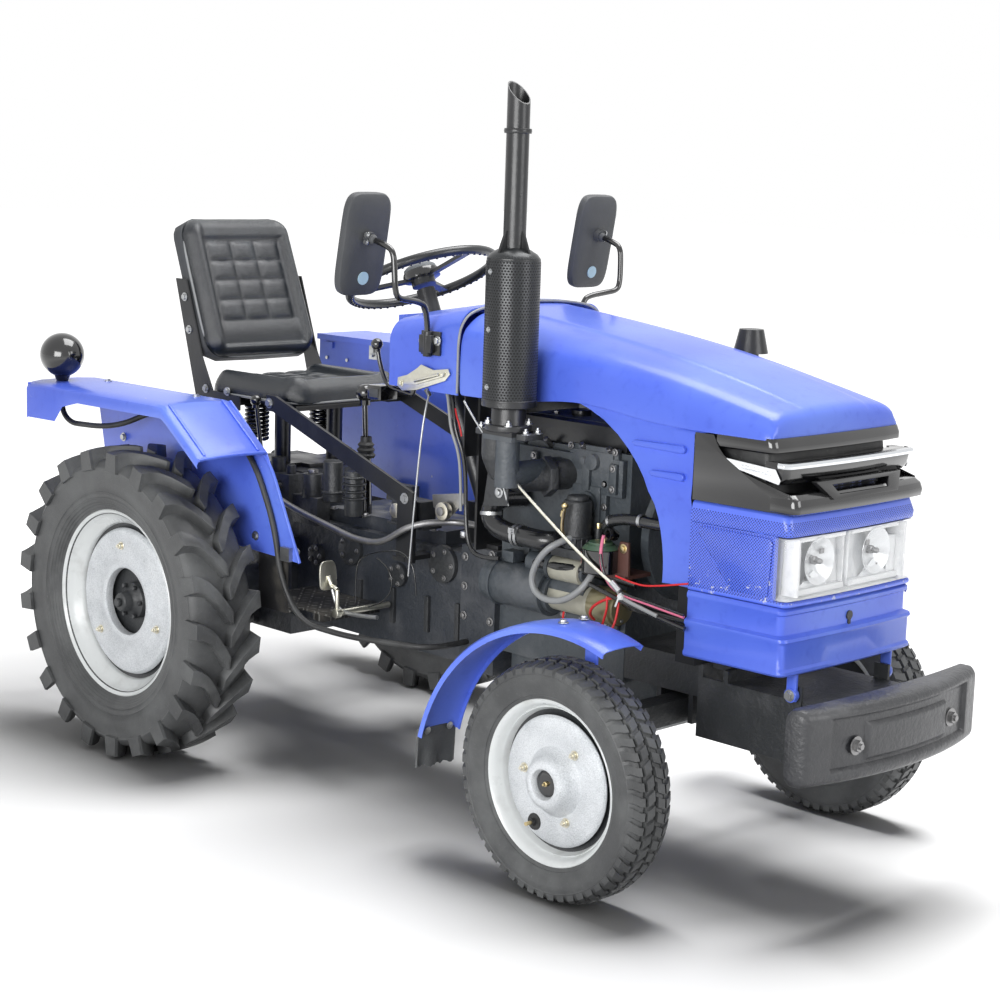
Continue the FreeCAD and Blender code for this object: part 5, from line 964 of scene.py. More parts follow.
def front_hub_cap(side, sign):
    """Cap and grease nipple in the hub's mouth, and the tyre's valve in its rubber grommet."""
    centre = middle(f"front_tyre_{side}")
    axis = Vector((0, sign, 0))
    body = f"front_wheel_{side}"
    valve = math.radians(118)
    bm = bmesh.new()
    turned(bm, [(0.050, 0.0312), (0.0560, 0.0312), (0.0575, 0.0285), (0.0580, 0.016), (0.0570, 0.0)], centre,
           axis, 40)
    piece(f"front_cap_{side}", bm, body, black_gloss, "black_gloss")
    bm = bmesh.new()
    turned(bm, [(0.057, 0.006), (0.062, 0.006), (0.063, 0.0035), (0.068, 0.0035), (0.070, 0.002),
                (0.070, 0.0)],
           centre, axis, 16)
    foot = around_wheel(centre, sign, 0.038, 0.126, valve)
    rod(bm, foot, foot + axis * 0.022, 0.0048, sides=12)
    piece(f"front_nipple_{side}", bm, body, brass, "zinc_steel")
    bm = bmesh.new()
    foot = around_wheel(centre, sign, 0.0295, 0.126, valve)
    rod(bm, foot, foot + axis * 0.0035, 0.021, 0.019, sides=28)
    rod(bm, foot, foot + axis * 0.0135, 0.010, 0.008, sides=20)
    piece(f"front_valve_hole_{side}", bm, body, black_rubber, "black_rubber")


for side, sign in SIDES.items():
    rear_tyre(side, sign)
    front_tyre(side, sign)
    wheel("rear", side, sign, REAR_WHEEL)
    wheel("front", side, sign, FRONT_WHEEL)
for side, sign in SIDES.items():
    front_hub_cap(side, sign)


# ---- Nose: grille, headlamps and the panels round them ----

NOSE_REAR = 1.728


def nose_line(front, half, corner=0.018, rear=NOSE_REAR, flare=0.010):
    """Plan view round the nose from the left rear to the right rear."""
    bow = 0.008
    left = [(rear, half + flare)]
    reach = front - bow - corner
    left.append(((rear + reach) / 2, half + flare * 0.4))
    for step in range(5):
        turn = math.pi / 2 * step / 4
        left.append((reach + corner * math.sin(turn), half - corner + corner * math.cos(turn)))
    for share in (0.75, 0.5, 0.25):
        y = (half - corner) * share
        left.append((front - bow * share ** 2, y))
    return left + [(front, 0)] + [(x, -y) for x, y in reversed(left)]


def nose_band(bm, levels, **plan):
    """A strip round the nose through levels of (height, front, half width)."""
    loft(bm, [[at(x, y, z) for x, y in nose_line(front, half, **plan)] for z, front, half in levels])


def side_y(x, half=0.250):
    """How far out the nose's side stands at a place along it."""
    return half + 0.010 * (1 - (x - NOSE_REAR) / 0.26)


def side_slab(bm, sign, outline, depth, half=0.250):
    """A flat shape of (x, z) laid on the nose's side."""
    slab(bm, [at(x, sign * side_y(x, half), z) for x, z in outline], Vector((0, sign * depth, 0)))


def nose_panel():
    """The stepped lower panel with its hinge tabs, their bolts and the keyhole."""
    bm = bmesh.new()
    nose_band(bm, [(0.572, 2.004, 0.246), (0.570, 2.013, 0.253), (0.575, 2.019, 0.258),
                   (0.582, 2.019, 0.258), (0.588, 2.014, 0.254), (0.644, 2.014, 0.254),
                   (0.651, 2.019, 0.258), (0.658, 2.017, 0.257), (0.662, 2.006, 0.250),
                   (0.664, 2.003, 0.248), (0.708, 2.003, 0.248), (0.713, 2.009, 0.252),
                   (0.721, 2.010, 0.252), (0.727, 2.004, 0.248), (0.728, 1.994, 0.240)])
    piece("nose_panel_skin", bm, "bonnet", blue, "blue_sheet", "nose_panel", wall=0.003)
    bm = bmesh.new()
    for sign in SIDES.values():
        block(bm, (1.975, 2.003), (sign * 0.182, sign * 0.190), (0.503, 0.600))
        pegs(bm, (1.989, 0.517, sign * 0.178, sign * 0.194, 0.017, 20, 0))
    piece("nose_hinge_tabs", bm, "bonnet", blue, "blue_sheet", bevel=0.002)
    bm = bmesh.new()
    for sign in SIDES.values():
        bolt(bm, at(1.989, sign * 0.194, 0.517), (0, sign, 0), 0.010, 0.008, 0.014)
    piece("nose_hinge_bolts", bm, "bonnet", zinc, "zinc_steel")
    bm = bmesh.new()
    rod(bm, at(1.99, 0, 0.683), at(2.0065, 0, 0.683), 0.011, sides=24)
    block(bm, (1.99, 2.0062), (-0.0045, 0.0045), (0.660, 0.682))
    piece("nose_keyhole", bm, "bonnet", black_rubber, "black_rubber")


def headlamp_panel():
    """The dimpled band that frames the lamps, with raised cheeks."""
    bm = bmesh.new()
    nose_band(bm, [(0.742, 1.998, 0.244), (0.741, 2.013, 0.250), (0.736, 2.014, 0.250),
                   (0.731, 2.014, 0.250), (0.729, 2.010, 0.246)])
    nose_band(bm, [(0.890, 1.998, 0.244), (0.891, 2.013, 0.250), (0.900, 2.014, 0.250),
                   (0.908, 2.014, 0.251), (0.936, 2.004, 0.246), (0.941, 1.996, 0.240),
                   (0.942, 1.980, 0.230)])
    for sign in SIDES.values():
        line = [(NOSE_REAR, 0.260), (1.78, 0.258), (1.86, 0.255), (1.968, 0.2505), (1.970, 0.242)]
        loft(bm, [[at(x, sign * y, z) for x, y in line] for z in (0.741, 0.79, 0.84, 0.891)])
        side_slab(bm, sign, [(1.762, 0.886), (1.956, 0.884), (1.963, 0.872), (1.955, 0.748), (1.851, 0.748),
                             (1.754, 0.868)], 0.0045)
    piece("headlamp_panel_skin", bm, "bonnet", dimpled, "blue_sheet", "headlamp_panel", bevel=0.0035)


def lamp_panel_beads():
    """Pressed outline on each cheek of the dimpled lamp panel."""
    runs = []
    for sign in SIDES.values():
        outline = ((1.765, 0.868), (1.768, 0.888), (1.776, 0.893), (1.930, 0.894), (1.937, 0.888),
                   (1.937, 0.784), (1.930, 0.779), (1.858, 0.778), (1.850, 0.781), (1.765, 0.862),
                   (1.765, 0.868))
        runs.append(([at(x, sign * 0.2508, z) for x, z in outline], 0.0022, 0))
    tubes("lamp_panel_beads", runs, "bonnet", [blue_plain], "blue_sheet")


def headlamp_unit():
    """White moulded housing, stepped reflectors with bulbs, and a clear cover round both corners."""
    bm = bmesh.new()
    nose_band(bm, [(0.744, 2.012, 0.249), (0.744, 1.990, 0.235), (0.752, 1.972, 0.222),
                   (0.878, 1.960, 0.215), (0.888, 1.990, 0.235), (0.888, 2.012, 0.249)], rear=1.966,
                   flare=0.0)
    for sign in SIDES.values():
        block(bm, (1.955, 2.006), (sign * 0.205, sign * 0.213), (0.750, 0.884))
        block(bm, (1.955, 1.984), (sign * 0.008, sign * 0.012), (0.750, 0.884))
        block(bm, (1.955, 1.990), (sign * 0.012, sign * 0.205), (0.748, 0.762))
        block(bm, (1.955, 1.982), (sign * 0.170, sign * 0.205), (0.762, 0.850))
        block(bm, (1.955, 1.990), (sign * 0.012, sign * 0.205), (0.872, 0.886))
    piece("headlamp_housing", bm, "bonnet", housing_white, "lamp_glass", "headlamps", bevel=0.0015)
    bm = bmesh.new()
    for sign in SIDES.values():
        turned(bm, [(0.0, 0.010), (0.003, 0.022), (0.010, 0.038), (0.022, 0.052), (0.024, 0.056)],
               at(1.968, sign * 0.112, 0.822), (1, 0, 0), 48)
        slab(bm, [at(1.976, sign * y, z) for y, z in ((0.180, 0.760), (0.060, 0.760), (0.118, 0.800))],
             Vector((0.004, 0, 0)))
    piece("headlamp_bowls", bm, "bonnet", pearl_reflector, "bright_steel", wall=0.001)
    bm = bmesh.new()
    for sign in SIDES.values():
        turned(bm, [(0.0, 0.0), (0.0, 0.010), (0.010, 0.010), (0.012, 0.007), (0.024, 0.007), (0.028, 0.004),
                    (0.029, 0.0)],
               at(1.970, sign * 0.112, 0.822), (1, 0, 0), 20)
        block(bm, (1.984, 1.988), (sign * 0.112 - 0.015, sign * 0.112 + 0.015), (0.819, 0.822))
        block(bm, (1.978, 1.982), (sign * 0.090 - 0.007, sign * 0.090 + 0.007), (0.836, 0.848))
        block(bm, (1.978, 1.982), (sign * 0.140 - 0.010, sign * 0.140 + 0.010), (0.778, 0.788))
    piece("headlamp_bulbs", bm, "bonnet", steel, "bright_steel")
    bm = bmesh.new()
    nose_band(bm, [(0.744, 2.010, 0.247), (0.747, 2.016, 0.2515), (0.80, 2.018, 0.252), (0.85, 2.018, 0.252),
                   (0.885, 2.016, 0.2515), (0.888, 2.010, 0.247)], rear=1.968, flare=0.0)
    piece("headlamp_cover", bm, "bonnet", clear_cover, "lamp_glass", smooth=60)


def grille_moulding():
    """Black moulding: brow, visor, stepped chin and a framed opening in the middle."""
    bm = bmesh.new()
    nose_band(bm, [(1.074, 1.930, 0.232), (1.073, 1.950, 0.2445), (1.077, 1.959, 0.250),
                   (1.092, 1.958, 0.2515), (1.108, 1.952, 0.249), (1.110, 1.930, 0.238)], rear=1.790,
                   flare=0.006)
    nose_band(bm, [(0.944, 1.990, 0.236), (0.943, 2.022, 0.249), (0.947, 2.030, 0.253),
                   (0.962, 2.032, 0.254), (0.978, 2.027, 0.251), (0.988, 2.014, 0.246),
                   (0.990, 1.990, 0.232), (0.984, 1.955, 0.215)],
              rear=1.950, flare=0.001)
    nose_band(bm, [(1.056, 1.950, 0.225), (1.057, 1.988, 0.2445), (1.048, 1.994, 0.247),
                   (1.022, 1.990, 0.2445), (1.008, 1.982, 0.240), (1.004, 1.962, 0.230)], rear=1.925,
                   flare=0.001)
    for sign in SIDES.values():
        side_slab(bm, sign, [(1.729, 0.9435), (2.004, 0.9435), (2.010, 0.962), (1.994, 0.990),
                             (1.868, 1.0235), (1.812, 1.058), (1.796, 1.075), (1.782, 1.101),
                             (1.729, 1.101)], 0.0035, 0.247)
    outside = [(0.165, 1.012), (0.125, 0.972), (-0.125, 0.972), (-0.165, 1.012)]
    inside = [(0.112, 1.004), (0.098, 0.982), (-0.098, 0.982), (-0.112, 1.004)]
    loft(bm, [[at(1.995 + (1.015 - z) * 0.6 + lift, y * grow, z) for y, z in line] for line, lift, grow in (
        (outside, 0.0, 1.03), (outside, 0.012, 1.0), (inside, 0.012, 1.0), (inside, -0.02, 0.99))],
        closed=True)
    piece("grille_moulding", bm, "bonnet", black_gloss, "black_gloss", "grille", wall=0.003, bevel=0.0012)


def grille_inserts():
    """Dark band behind the moulding, mesh in its opening and the bright strip along the visor."""
    bm = bmesh.new()
    nose_band(bm, [(0.946, 1.945, 0.228), (1.098, 1.925, 0.228)], rear=1.76, flare=0.001)
    piece("grille_back", bm, "bonnet", black_rubber, "black_plastic", wall=0.003)
    bm = bmesh.new()
    block(bm, (1.978, 1.981), (-0.108, 0.108), (0.976, 1.010))
    piece("grille_mesh", bm, "bonnet", mesh_insert, "black_plastic", bevel=0.001)
    bm = bmesh.new()
    nose_band(bm, [(1.044, 1.996, 0.2465), (1.045, 2.001, 0.2500), (1.051, 2.003, 0.2515),
                   (1.057, 2.000, 0.2495), (1.058, 1.990, 0.2455)], rear=1.962, flare=0.0)
    piece("grille_bright_strip", bm, "bonnet", chrome, "bright_steel", wall=0.002)


def side_markers():
    """White lenses that run round the corners under the visor, with two bright ribs each."""
    bm = bmesh.new()
    for sign in SIDES.values():
        side_slab(bm, sign, [(1.818, 1.052), (1.957, 1.042), (1.972, 1.018), (1.968, 1.008), (1.858, 1.029)],
                  0.0045, 0.2475)
    piece("side_marker_lenses", bm, "bonnet", white_lens, "lamp_glass", bevel=0.003, bevel_steps=3)
    bm = bmesh.new()
    for sign in SIDES.values():
        for outline in ([(1.862, 1.0435), (1.938, 1.038), (1.941, 1.035), (1.866, 1.0405)],
                        [(1.862, 1.0365), (1.945, 1.030), (1.948, 1.027), (1.868, 1.0335)]):
            side_slab(bm, sign, outline, 0.0060, 0.2475)
    piece("side_marker_ribs", bm, "bonnet", chrome, "bright_steel", bevel=0.0008, bevel_steps=1)


nose_panel()
headlamp_panel()
lamp_panel_beads()
headlamp_unit()
grille_moulding()
grille_inserts()
side_markers()


# ---- Bonnet and side panels ----

BONNET_REAR = 0.952
BONNET_LENGTH = 0.993


def crest(share):
    """Height of the bonnet's middle line at a share of its length."""
    return 1.333 - 0.167 * (0.6 * share + 0.4 * share ** 3)


def bonnet_half(share):
    """Half width of the bonnet, at a share of its length from the rear."""
    return 0.272 - 0.022 * share ** 2


def lower_edge(x):
    """The bonnet's lower edge lifts a little over the engine bay."""
    return 1.103 + math.exp(-((x - 1.37) / 0.16) ** 2) * 0.028


def bonnet_section(share, top, half):
    """Half of one cross-section from the middle to the lower edge."""
    x = BONNET_REAR + BONNET_LENGTH * share
    foot = min(lower_edge(x), top - 0.004)
    fall = min(1.0, (top - foot) / 0.12)
    side = top - 0.102 * fall
    points = [(0.0, top + 0.001), (0.060, top), (0.112, top - 0.0025), (0.121, top - 0.0045),
              (0.129, top - 0.0095 * fall), (0.165, top - 0.0125 * fall), (0.203, top - 0.0195 * fall),
              (0.228, top - 0.034 * fall), (half - 0.016, top - 0.054 * fall),
              (half - 0.005, top - 0.076 * fall), (half, side),
              (half + 0.001, (side + foot) / 2 if fall == 1 else foot + 0.001), (half + 0.001, foot)]
    return [(x - 0.010 * (y / 0.26) ** 2 * share ** 3, y, z) for y, z in points]


def bonnet():
    """One crowned shell that rolls down over its front edge."""
    bm = bmesh.new()
    sections = [bonnet_section(share, crest(share), bonnet_half(share)) for share in (
        0.0, 0.012, 0.1, 0.2, 0.3, 0.4, 0.5, 0.6, 0.7, 0.8, 0.88, 0.93, 0.96, 0.98)]
    sections += [bonnet_section(share, crest(0.985) - drop, bonnet_half(1.0) - pull) for share, drop,
                 pull in (
        (0.992, 0.008, 0.002), (0.999, 0.020, 0.005), (1.002, 0.036, 0.007), (1.003, 0.056, 0.008),
        (1.003, 0.066, 0.008))]
    rings = []
    for section in sections:
        left = [at(*point) for point in section]
        rings.append(left[::-1] + [at(x, -y, z) for x, y, z in section[1:]])
    loft(bm, rings)
    piece("bonnet_skin", bm, "bonnet", blue, "blue_sheet", "bonnet", wall=0.003, subdivide=2)


def bonnet_braces():
    """Dark inner rails along the bonnet's lower edges and the lip that meets the grille."""
    bm = bmesh.new()
    block(bm, (0.965, 1.520), (0.222, 0.228), (1.030, 1.160))
    block(bm, (1.520, 1.700), (0.222, 0.228), (1.060, 1.150))
    nose_band(bm, [(1.080, 1.930, 0.228), (1.112, 1.915, 0.226)], rear=1.70, flare=0.004)
    piece("bonnet_braces", bm, "bonnet", black_rubber, "black_sheet", bevel=0.001)


def arch_edge(z):
    """Where the engine bay's round arch cuts the side sheets at a height."""
    return 1.255 + arc(0.390, abs(z - 0.755))


def side_panels():
    """Lower side sheets with the engine bay's arch cut away, a pressed line and two short ribs."""
    bm = bmesh.new()
    shares = (0.0, 0.02, 0.25, 0.5, 0.75, 1.0)
    for sign in SIDES.values():
        rows = []
        for step in range(13):
            z = 0.731 + (1.098 - 0.731) * step / 12
            inner = arch_edge(z)
            y = 0.258 + 0.004 * (1 - min(1.0, abs(z - 0.95) / 0.03))
            if z < 0.93:
                y -= 0.006 * min(1, (0.95 - z) / 0.05)
            rows.append([at(inner + (1.7255 - inner) * share, sign * (y + (0.006 if share == 0.02 else 0)),
                            z)
                         for share in shares])
        for z in (1.104, 1.118, 1.132, 1.142):
            inner = arch_edge(z)
            places = [inner + (1.775 - inner) * share for share in shares]
            rows.append([at(x, sign * (bonnet_half((x - BONNET_REAR) / BONNET_LENGTH) - 0.006),
                            z) for x in places])
        loft(bm, rows)
        for low, high, start in ((1.046, 1.064, 1.548), (0.981, 0.999, 1.606)):
            half_way = (low + high) / 2
            slab(bm, upright(sign * 0.256, (start, low + 0.002), (1.700, low), (1.706, half_way),
                             (1.700, high), (start, high - 0.002), (start - 0.008, half_way)),
                             Vector((0, sign * 0.0125, 0)))
    piece("bonnet_side_skins", bm, "bonnet", blue, "blue_sheet", "bonnet_side_panels", bevel=0.003,
          bevel_steps=3)


bonnet()
bonnet_braces()
side_panels()


# ---- Seat ----

def inside_outline(u, v, half, length, corner):
    """How far a point is inside a rounded outline that runs from 0 to length."""
    over_u = abs(u) - (half - corner)
    over_v = abs(v - length / 2) - (length / 2 - corner)
    outside = math.hypot(max(over_u, 0), max(over_v, 0)) + min(max(over_u, over_v), 0)
    return corner - outside


def pillow(u, v, left, low, wide, tall, across, rows):
    """0 in the sewn channels and 1 in the middle of each square of a quilted area."""
    if not (left < u < left + wide * across and low < v < low + tall * rows):
        return 0.0
    near_u = abs((u - left) / wide % 1.0 - 0.5) * 2
    near_v = abs((v - low) / tall % 1.0 - 0.5) * 2
    return (1 - near_u ** 4) * (1 - near_v ** 4)


def reach_at(edge, half, corner):
    """Half width of a rounded outline at a way in from its end."""
    return half - corner + arc(corner, corner - edge)


def pad(name, origin, up, out, half_at, length, corner, height, node):
    """A closed padded form: a quilted face over a shallow back, on an outline that narrows upwards."""
    bm = bmesh.new()
    rows = 92
    columns = 84
    side = up.cross(out)
    rings = []
    for row in range(rows + 1):
        share = row / rows
        v = length * (0.5 - 0.5 * math.cos(math.pi * share)) * 0.35 + length * share * 0.65
        half = half_at(v / length)
        reach = reach_at(min(v, length - v), half, corner)
        ring = []
        for column in range(columns + 1):
            spread = -1 + 2 * column / columns
            u = reach * (0.7 * spread + 0.3 * math.sin(math.pi / 2 * spread))
            depth = max(inside_outline(u, v, half, length, corner), 0)
            ring.append(origin + side * u + up * v + out * height(u, v, depth, half))
        for column in range(columns - 1, 0, -1):
            u = reach * (-1 + 2 * column / columns)
            depth = max(inside_outline(u, v, half, length, corner), 0)
            ring.append(origin + side * u + up * v - out * 0.006 * min(1.0, depth / 0.02) ** 0.5)
        rings.append(ring)
    loft(bm, rings, closed=True)
    made = piece(name, bm, "chassis", vinyl, "black_vinyl", node, merge=1e-4, smooth=70)


def roll(depth, thick, radius):
    """Height of a rounded border a given way in from the outline."""
    return thick * arc(1, 1 - min(depth / radius, 1))


def border(depth, bolster, width, inner):
    """The padded edge outside the quilted area, with the seam between them."""
    bulge = 0.010 * math.sin(math.pi * min(1.0, bolster / width)) * (1 - inner) * step_up(depth, 0, 0.03)
    return bulge - 0.006 * math.exp(-((inner - 0.35) / 0.22) ** 2) * step_up(depth, 0.01, 0.03)


def seat_back():
    """Quilted back pad, its moulded shell with four bolts, and the piping between them."""
    lean = math.radians(22)
    up = Vector((-math.sin(lean), 0, math.cos(lean)))
    out = Vector((math.cos(lean), 0, math.sin(lean)))
    foot = at(-0.200, 0, 1.090)
    length = 0.4336

    def height(u, v, depth, half):
        bolster = half - abs(u)
        inner = min(step_up(bolster, 0.042, 0.058), step_up(v, 0.024, 0.036),
                    step_up(length - v, 0.062, 0.078))
        quilt = 0.0085 * pillow(u, v, -0.135, 0.108, 0.090, 0.0620, 3, 4)
        lower = 0.005 * math.sin(math.pi * min(1, max(0, (v - 0.03) / 0.078))) * inner
        return roll(depth, 0.036, 0.040) - 0.012 * inner + border(depth, bolster, 0.056,
                                                                  inner) + quilt + lower

    pad("seat_back_pad", foot + out * 0.004, up, out, lambda share: 0.205 - 0.006 * share, length, 0.058,
        height, "seat_back")

    bm = bmesh.new()
    rings = []
    least_edge = 9.1e-6
    for row in range(25):
        v = -0.003 + (length + 0.006) * row / 24
        edge = min(v + 0.003, length + 0.003 - v)
        reach = reach_at(max(edge, least_edge), 0.208 - 0.006 * v / length, 0.055)
        rings.append([foot + up * v + Vector((0, reach * share, 0)) + out * depth for share, depth in (
            (1, 0.005), (1.04, -0.010), (1.035, -0.024), (0, -0.031), (-1.035, -0.024), (-1.04, -0.010),
            (-1, 0.005), (0, 0.001))])
    tube_wall(bm, rings)
    for share in (0.28, 0.62):
        spot = foot + up * (length * share) - out * 0.029
        for y in (-0.07, 0.07):
            bolt(bm, spot + Vector((0, y, 0)), -out, 0.009, 0.006, 0.014, 1)
    piece("seat_back_shell", bm, "chassis", [plastic, zinc], smooth=50)

    loop = []
    for u, w in squared_circle(48, 0.35, 0.35):
        v = length / 2 + w * (length / 2 - 0.001)
        loop.append(foot + up * v + out * 0.005 + Vector((0, u * (0.2055 - 0.006 * v / length), 0)))
    tubes("seat_back_piping", [(loop + loop[:1], 0.0042, 0)], "chassis", grey_hose)


def seat_cushion():
    """Quilted seat cushion with a raised front edge and its piping."""
    rear = -0.190
    bottom = 0.998
    length = 0.412

    def height(u, v, depth, half):
        bolster = half - abs(u)
        inner = min(step_up(bolster, 0.060, 0.078), step_up(v, 0.010, 0.026),
                    step_up(length - v, 0.070, 0.096))
        front = 0.008 * math.exp(-((length - v - 0.045) / 0.03) ** 2)
        quilt = 0.008 * pillow(u, v, -0.135, 0.030, 0.090, 0.0615, 3, 4)
        return roll(depth, 0.056, 0.045) - 0.016 * inner + border(depth, bolster, 0.07,
                                                                  inner) + front + quilt

    pad("seat_cushion_pad", at(rear, 0, bottom), Vector((1, 0, 0)), Vector((0, 0, 1)),
        lambda share: 0.219 - 0.010 * share ** 3, length, 0.062, height, "seat_cushion")
    loop = [at(rear + length / 2 + w * (length / 2 - 0.002), u * 0.2165, bottom)
            for u, w in squared_circle(48, 0.35, 0.35)]
    tubes("seat_cushion_piping", [(loop + loop[:1], 0.004, 0)], "chassis", grey_hose)


def seat_fittings():
    """Bolts of the seat frame and the arms, and the coil springs under the seat."""
    bm = bmesh.new()
    for sign in SIDES.values():
        way = (0, sign, 0)
        frame_bolts = ((-0.288, 1.269), (-0.265, 1.173), (-0.181, 1.004), (-0.077, 1.006))
        bolts(bm, [(x, sign * 0.2245, z) for x, z in frame_bolts], way, 0.0085, 0.006, 0.013)
        arm_bolts = ((0.155, 0.998), (0.735, 0.804))
        bolts(bm, [(x, sign * 0.2525, z) for x, z in arm_bolts], way, 0.010, 0.007, 0.015)
    piece("seat_bolts", bm, "chassis", zinc)
    wire = 0.0055
    coils = []
    for sign in SIDES.values():
        points = []
        for step in range(8 * 16 + 1):
            turn = FULL_TURN * step / 16
            y = -0.125 + 0.033 * math.sin(turn)
            points.append(at(-0.062 + 0.033 * math.cos(turn), -sign * y, 0.862 + 0.100 * step / 128))
        coils.append((points, wire, 0))
    tubes("seat_springs", coils, "chassis", black_gloss)


seat_back()
seat_cushion()
seat_fittings()


# ---- Guards over the wheels ----

def rear_fenders():
    """Folded flat guards: a top with a rolled outer lip, an inner skirt, ribs on the slope and bolts."""
    bm = bmesh.new()
    stations = ((-0.455, 1.018, 0.10), (-0.45, 1.022, 0.10), (-0.31, 1.022, 0.098), (-0.27, 1.022, 0.052),
                (-0.195, 1.022, 0.034), (0.17, 1.022, 0.032), (0.205, 1.020, 0.030), (0.23, 1.0025, 0.028),
                (0.345, 0.917, 0.026), (0.370, 0.897, 0.024))
    skirt = ((-0.445, 1.020), (0.205, 1.020), (0.37, 0.896), (0.440, 0.765), (0.517, 0.612), (0.264, 0.620),
             (-0.305, 0.620), (-0.395, 0.792))
    ridge = ((0.205, 1.0215), (0.23, 1.004), (0.345, 0.9185), (0.366, 0.9015))
    for sign in SIDES.values():
        rings = []
        for x, z, lip in stations:
            section = ((0.430, -0.002), (0.434, 0.0), (0.50, 0.004), (0.55, 0.005), (0.62, 0.004),
                       (0.652, 0.0), (0.663, -0.005), (0.668, -0.014), (0.668, -lip))
            rings.append([at(x, sign * y, z + drop) for y, drop in section])
        verts = [vert for row in loft(bm, rings) for vert in row]
        faces = list({face for vert in verts for face in vert.link_faces})
        made = bmesh.ops.extrude_face_region(bm, geom=faces)["geom"]
        inner = [item for item in made if isinstance(item, bmesh.types.BMVert)]
        bmesh.ops.translate(bm, verts=inner, vec=Vector((0, -sign * 0.001, -0.003)))
        slab(bm, upright(sign * 0.434, *skirt), Vector((0, -sign * 0.004, 0)))
        block(bm, (-0.4555, -0.4515), (sign * 0.434, sign * 0.664), (0.982, 1.020))
        for low, high in ((0.455, 0.462), (0.636, 0.643)):
            rib = upright(sign * low, *ridge, *[(x, z + 0.005) for x, z in ridge[::-1]])
            slab(bm, rib, Vector((0, sign * (high - low), 0)))
    piece("rear_fender_skins", bm, "chassis", blue_scratched, "blue_sheet", "rear_fenders", bevel=0.0015,
          smooth=35)
    runs = []
    for sign in SIDES.values():
        runs.append((upright(sign * 0.432, (0.205, 1.019), *skirt[2:5]), 0.005, 0))
        runs.append(([at(0.3715, sign * y, z) for y, z in ((0.438, 0.897), (0.55, 0.902), (0.664, 0.894))],
                     0.005, 0))
    tubes("rear_fender_rolled_edges", runs, "chassis", blue)
    bm = bmesh.new()
    bolts(bm, [(0.470, -0.4295, 0.628), (0.500, -0.4295, 0.640)], (0, 1, 0), 0.007, 0.005, 0.011)
    block(bm, (0.452, 0.490), (-0.4475, -0.4345), (0.612, 0.650))
    for sign in SIDES.values():
        stays = ((0.33, 0.66), (-0.22, 0.66), (-0.30, 0.86))
        bolts(bm, [(x, sign * 0.4345, z) for x, z in stays], (0, sign, 0), 0.009, 0.006, 0.013)
        bolts(bm, [(x, sign * 0.47, 1.024) for x in (-0.33, 0.10)], (0, 0, 1), 0.008, 0.005, 0.012)
    piece("rear_fender_bolts", bm, "chassis", zinc)


def front_fender(side, sign):
    """Arched guard with rolled edges, its rubber flap, and the bracket that carries it from the knuckle."""
    body = f"knuckle_{side}"
    radius = 0.462
    section = ((-0.014, 0.464), (-0.004, 0.462), (0, 0.468), (0.003, 0.50), (0.004, 0.527), (0.003, 0.556),
               (0, 0.586), (-0.004, 0.592), (-0.014, 0.590))
    bm = bmesh.new()
    rings = []
    for step in range(33):
        turn = math.radians(71 + (166 - 71) * step / 32)
        rings.append([at(1.620 + (radius + rise) * math.cos(turn), sign * y,
                         0.196 + (radius + rise) * math.sin(turn))
                      for rise, y in section])
    loft(bm, rings)
    piece(f"front_fender_arch_{side}", bm, body, blue, "blue_sheet", f"front_fender_{side}", wall=0.0028,
          wall_side=1, smooth=50)

    bm = bmesh.new()
    rows = []
    for step in range(9):
        share = step / 8
        row = []
        for column in range(19):
            ragged = 0.010 * noise.noise(Vector((column * 0.9, 3.1, 0))) if share == 1 else 0
            curl = 0.006 * share ** 2 * math.sin(column * 0.7)
            row.append(at(1.1735 - 0.004 * share + curl, sign * (0.464 + (0.590 - 0.464) * column / 18),
                          0.324 - 0.100 * share + ragged))
        rows.append(row)
    loft(bm, rows)
    piece(f"front_fender_flap_{side}", bm, body, flap_rubber, "black_rubber", wall=0.005, smooth=50)

    bm = bmesh.new()
    block(bm, (1.582, 1.618), (sign * 0.439, sign * 0.447), (0.466, 0.648))
    block(bm, (1.582, 1.618), (sign * 0.390, sign * 0.447), (0.466, 0.474))
    block(bm, (1.582, 1.618), (sign * 0.439, sign * 0.562), (0.648, 0.654))
    bolts(bm, [(1.600, sign * y, 0.6645) for y in (0.475, 0.545)], (0, 0, 1), 0.009, 0.006, 0.013, 1)
    bolts(bm, [(1.600, sign * 0.447, z) for z in (0.52, 0.60)], (0, sign, 0), 0.009, 0.006, 0.013, 1)
    bolts(bm, [(1.180, sign * y, 0.318) for y in (0.49, 0.565)], (-1, 0, 0.1), 0.007, 0.004, 0.010, 1)
    piece(f"front_fender_bracket_{side}", bm, body, [blue, zinc], bevel=0.0015)


rear_fenders()
for side, sign in SIDES.items():
    front_fender(side, sign)


# ---- Exhaust, cowl and mirrors ----

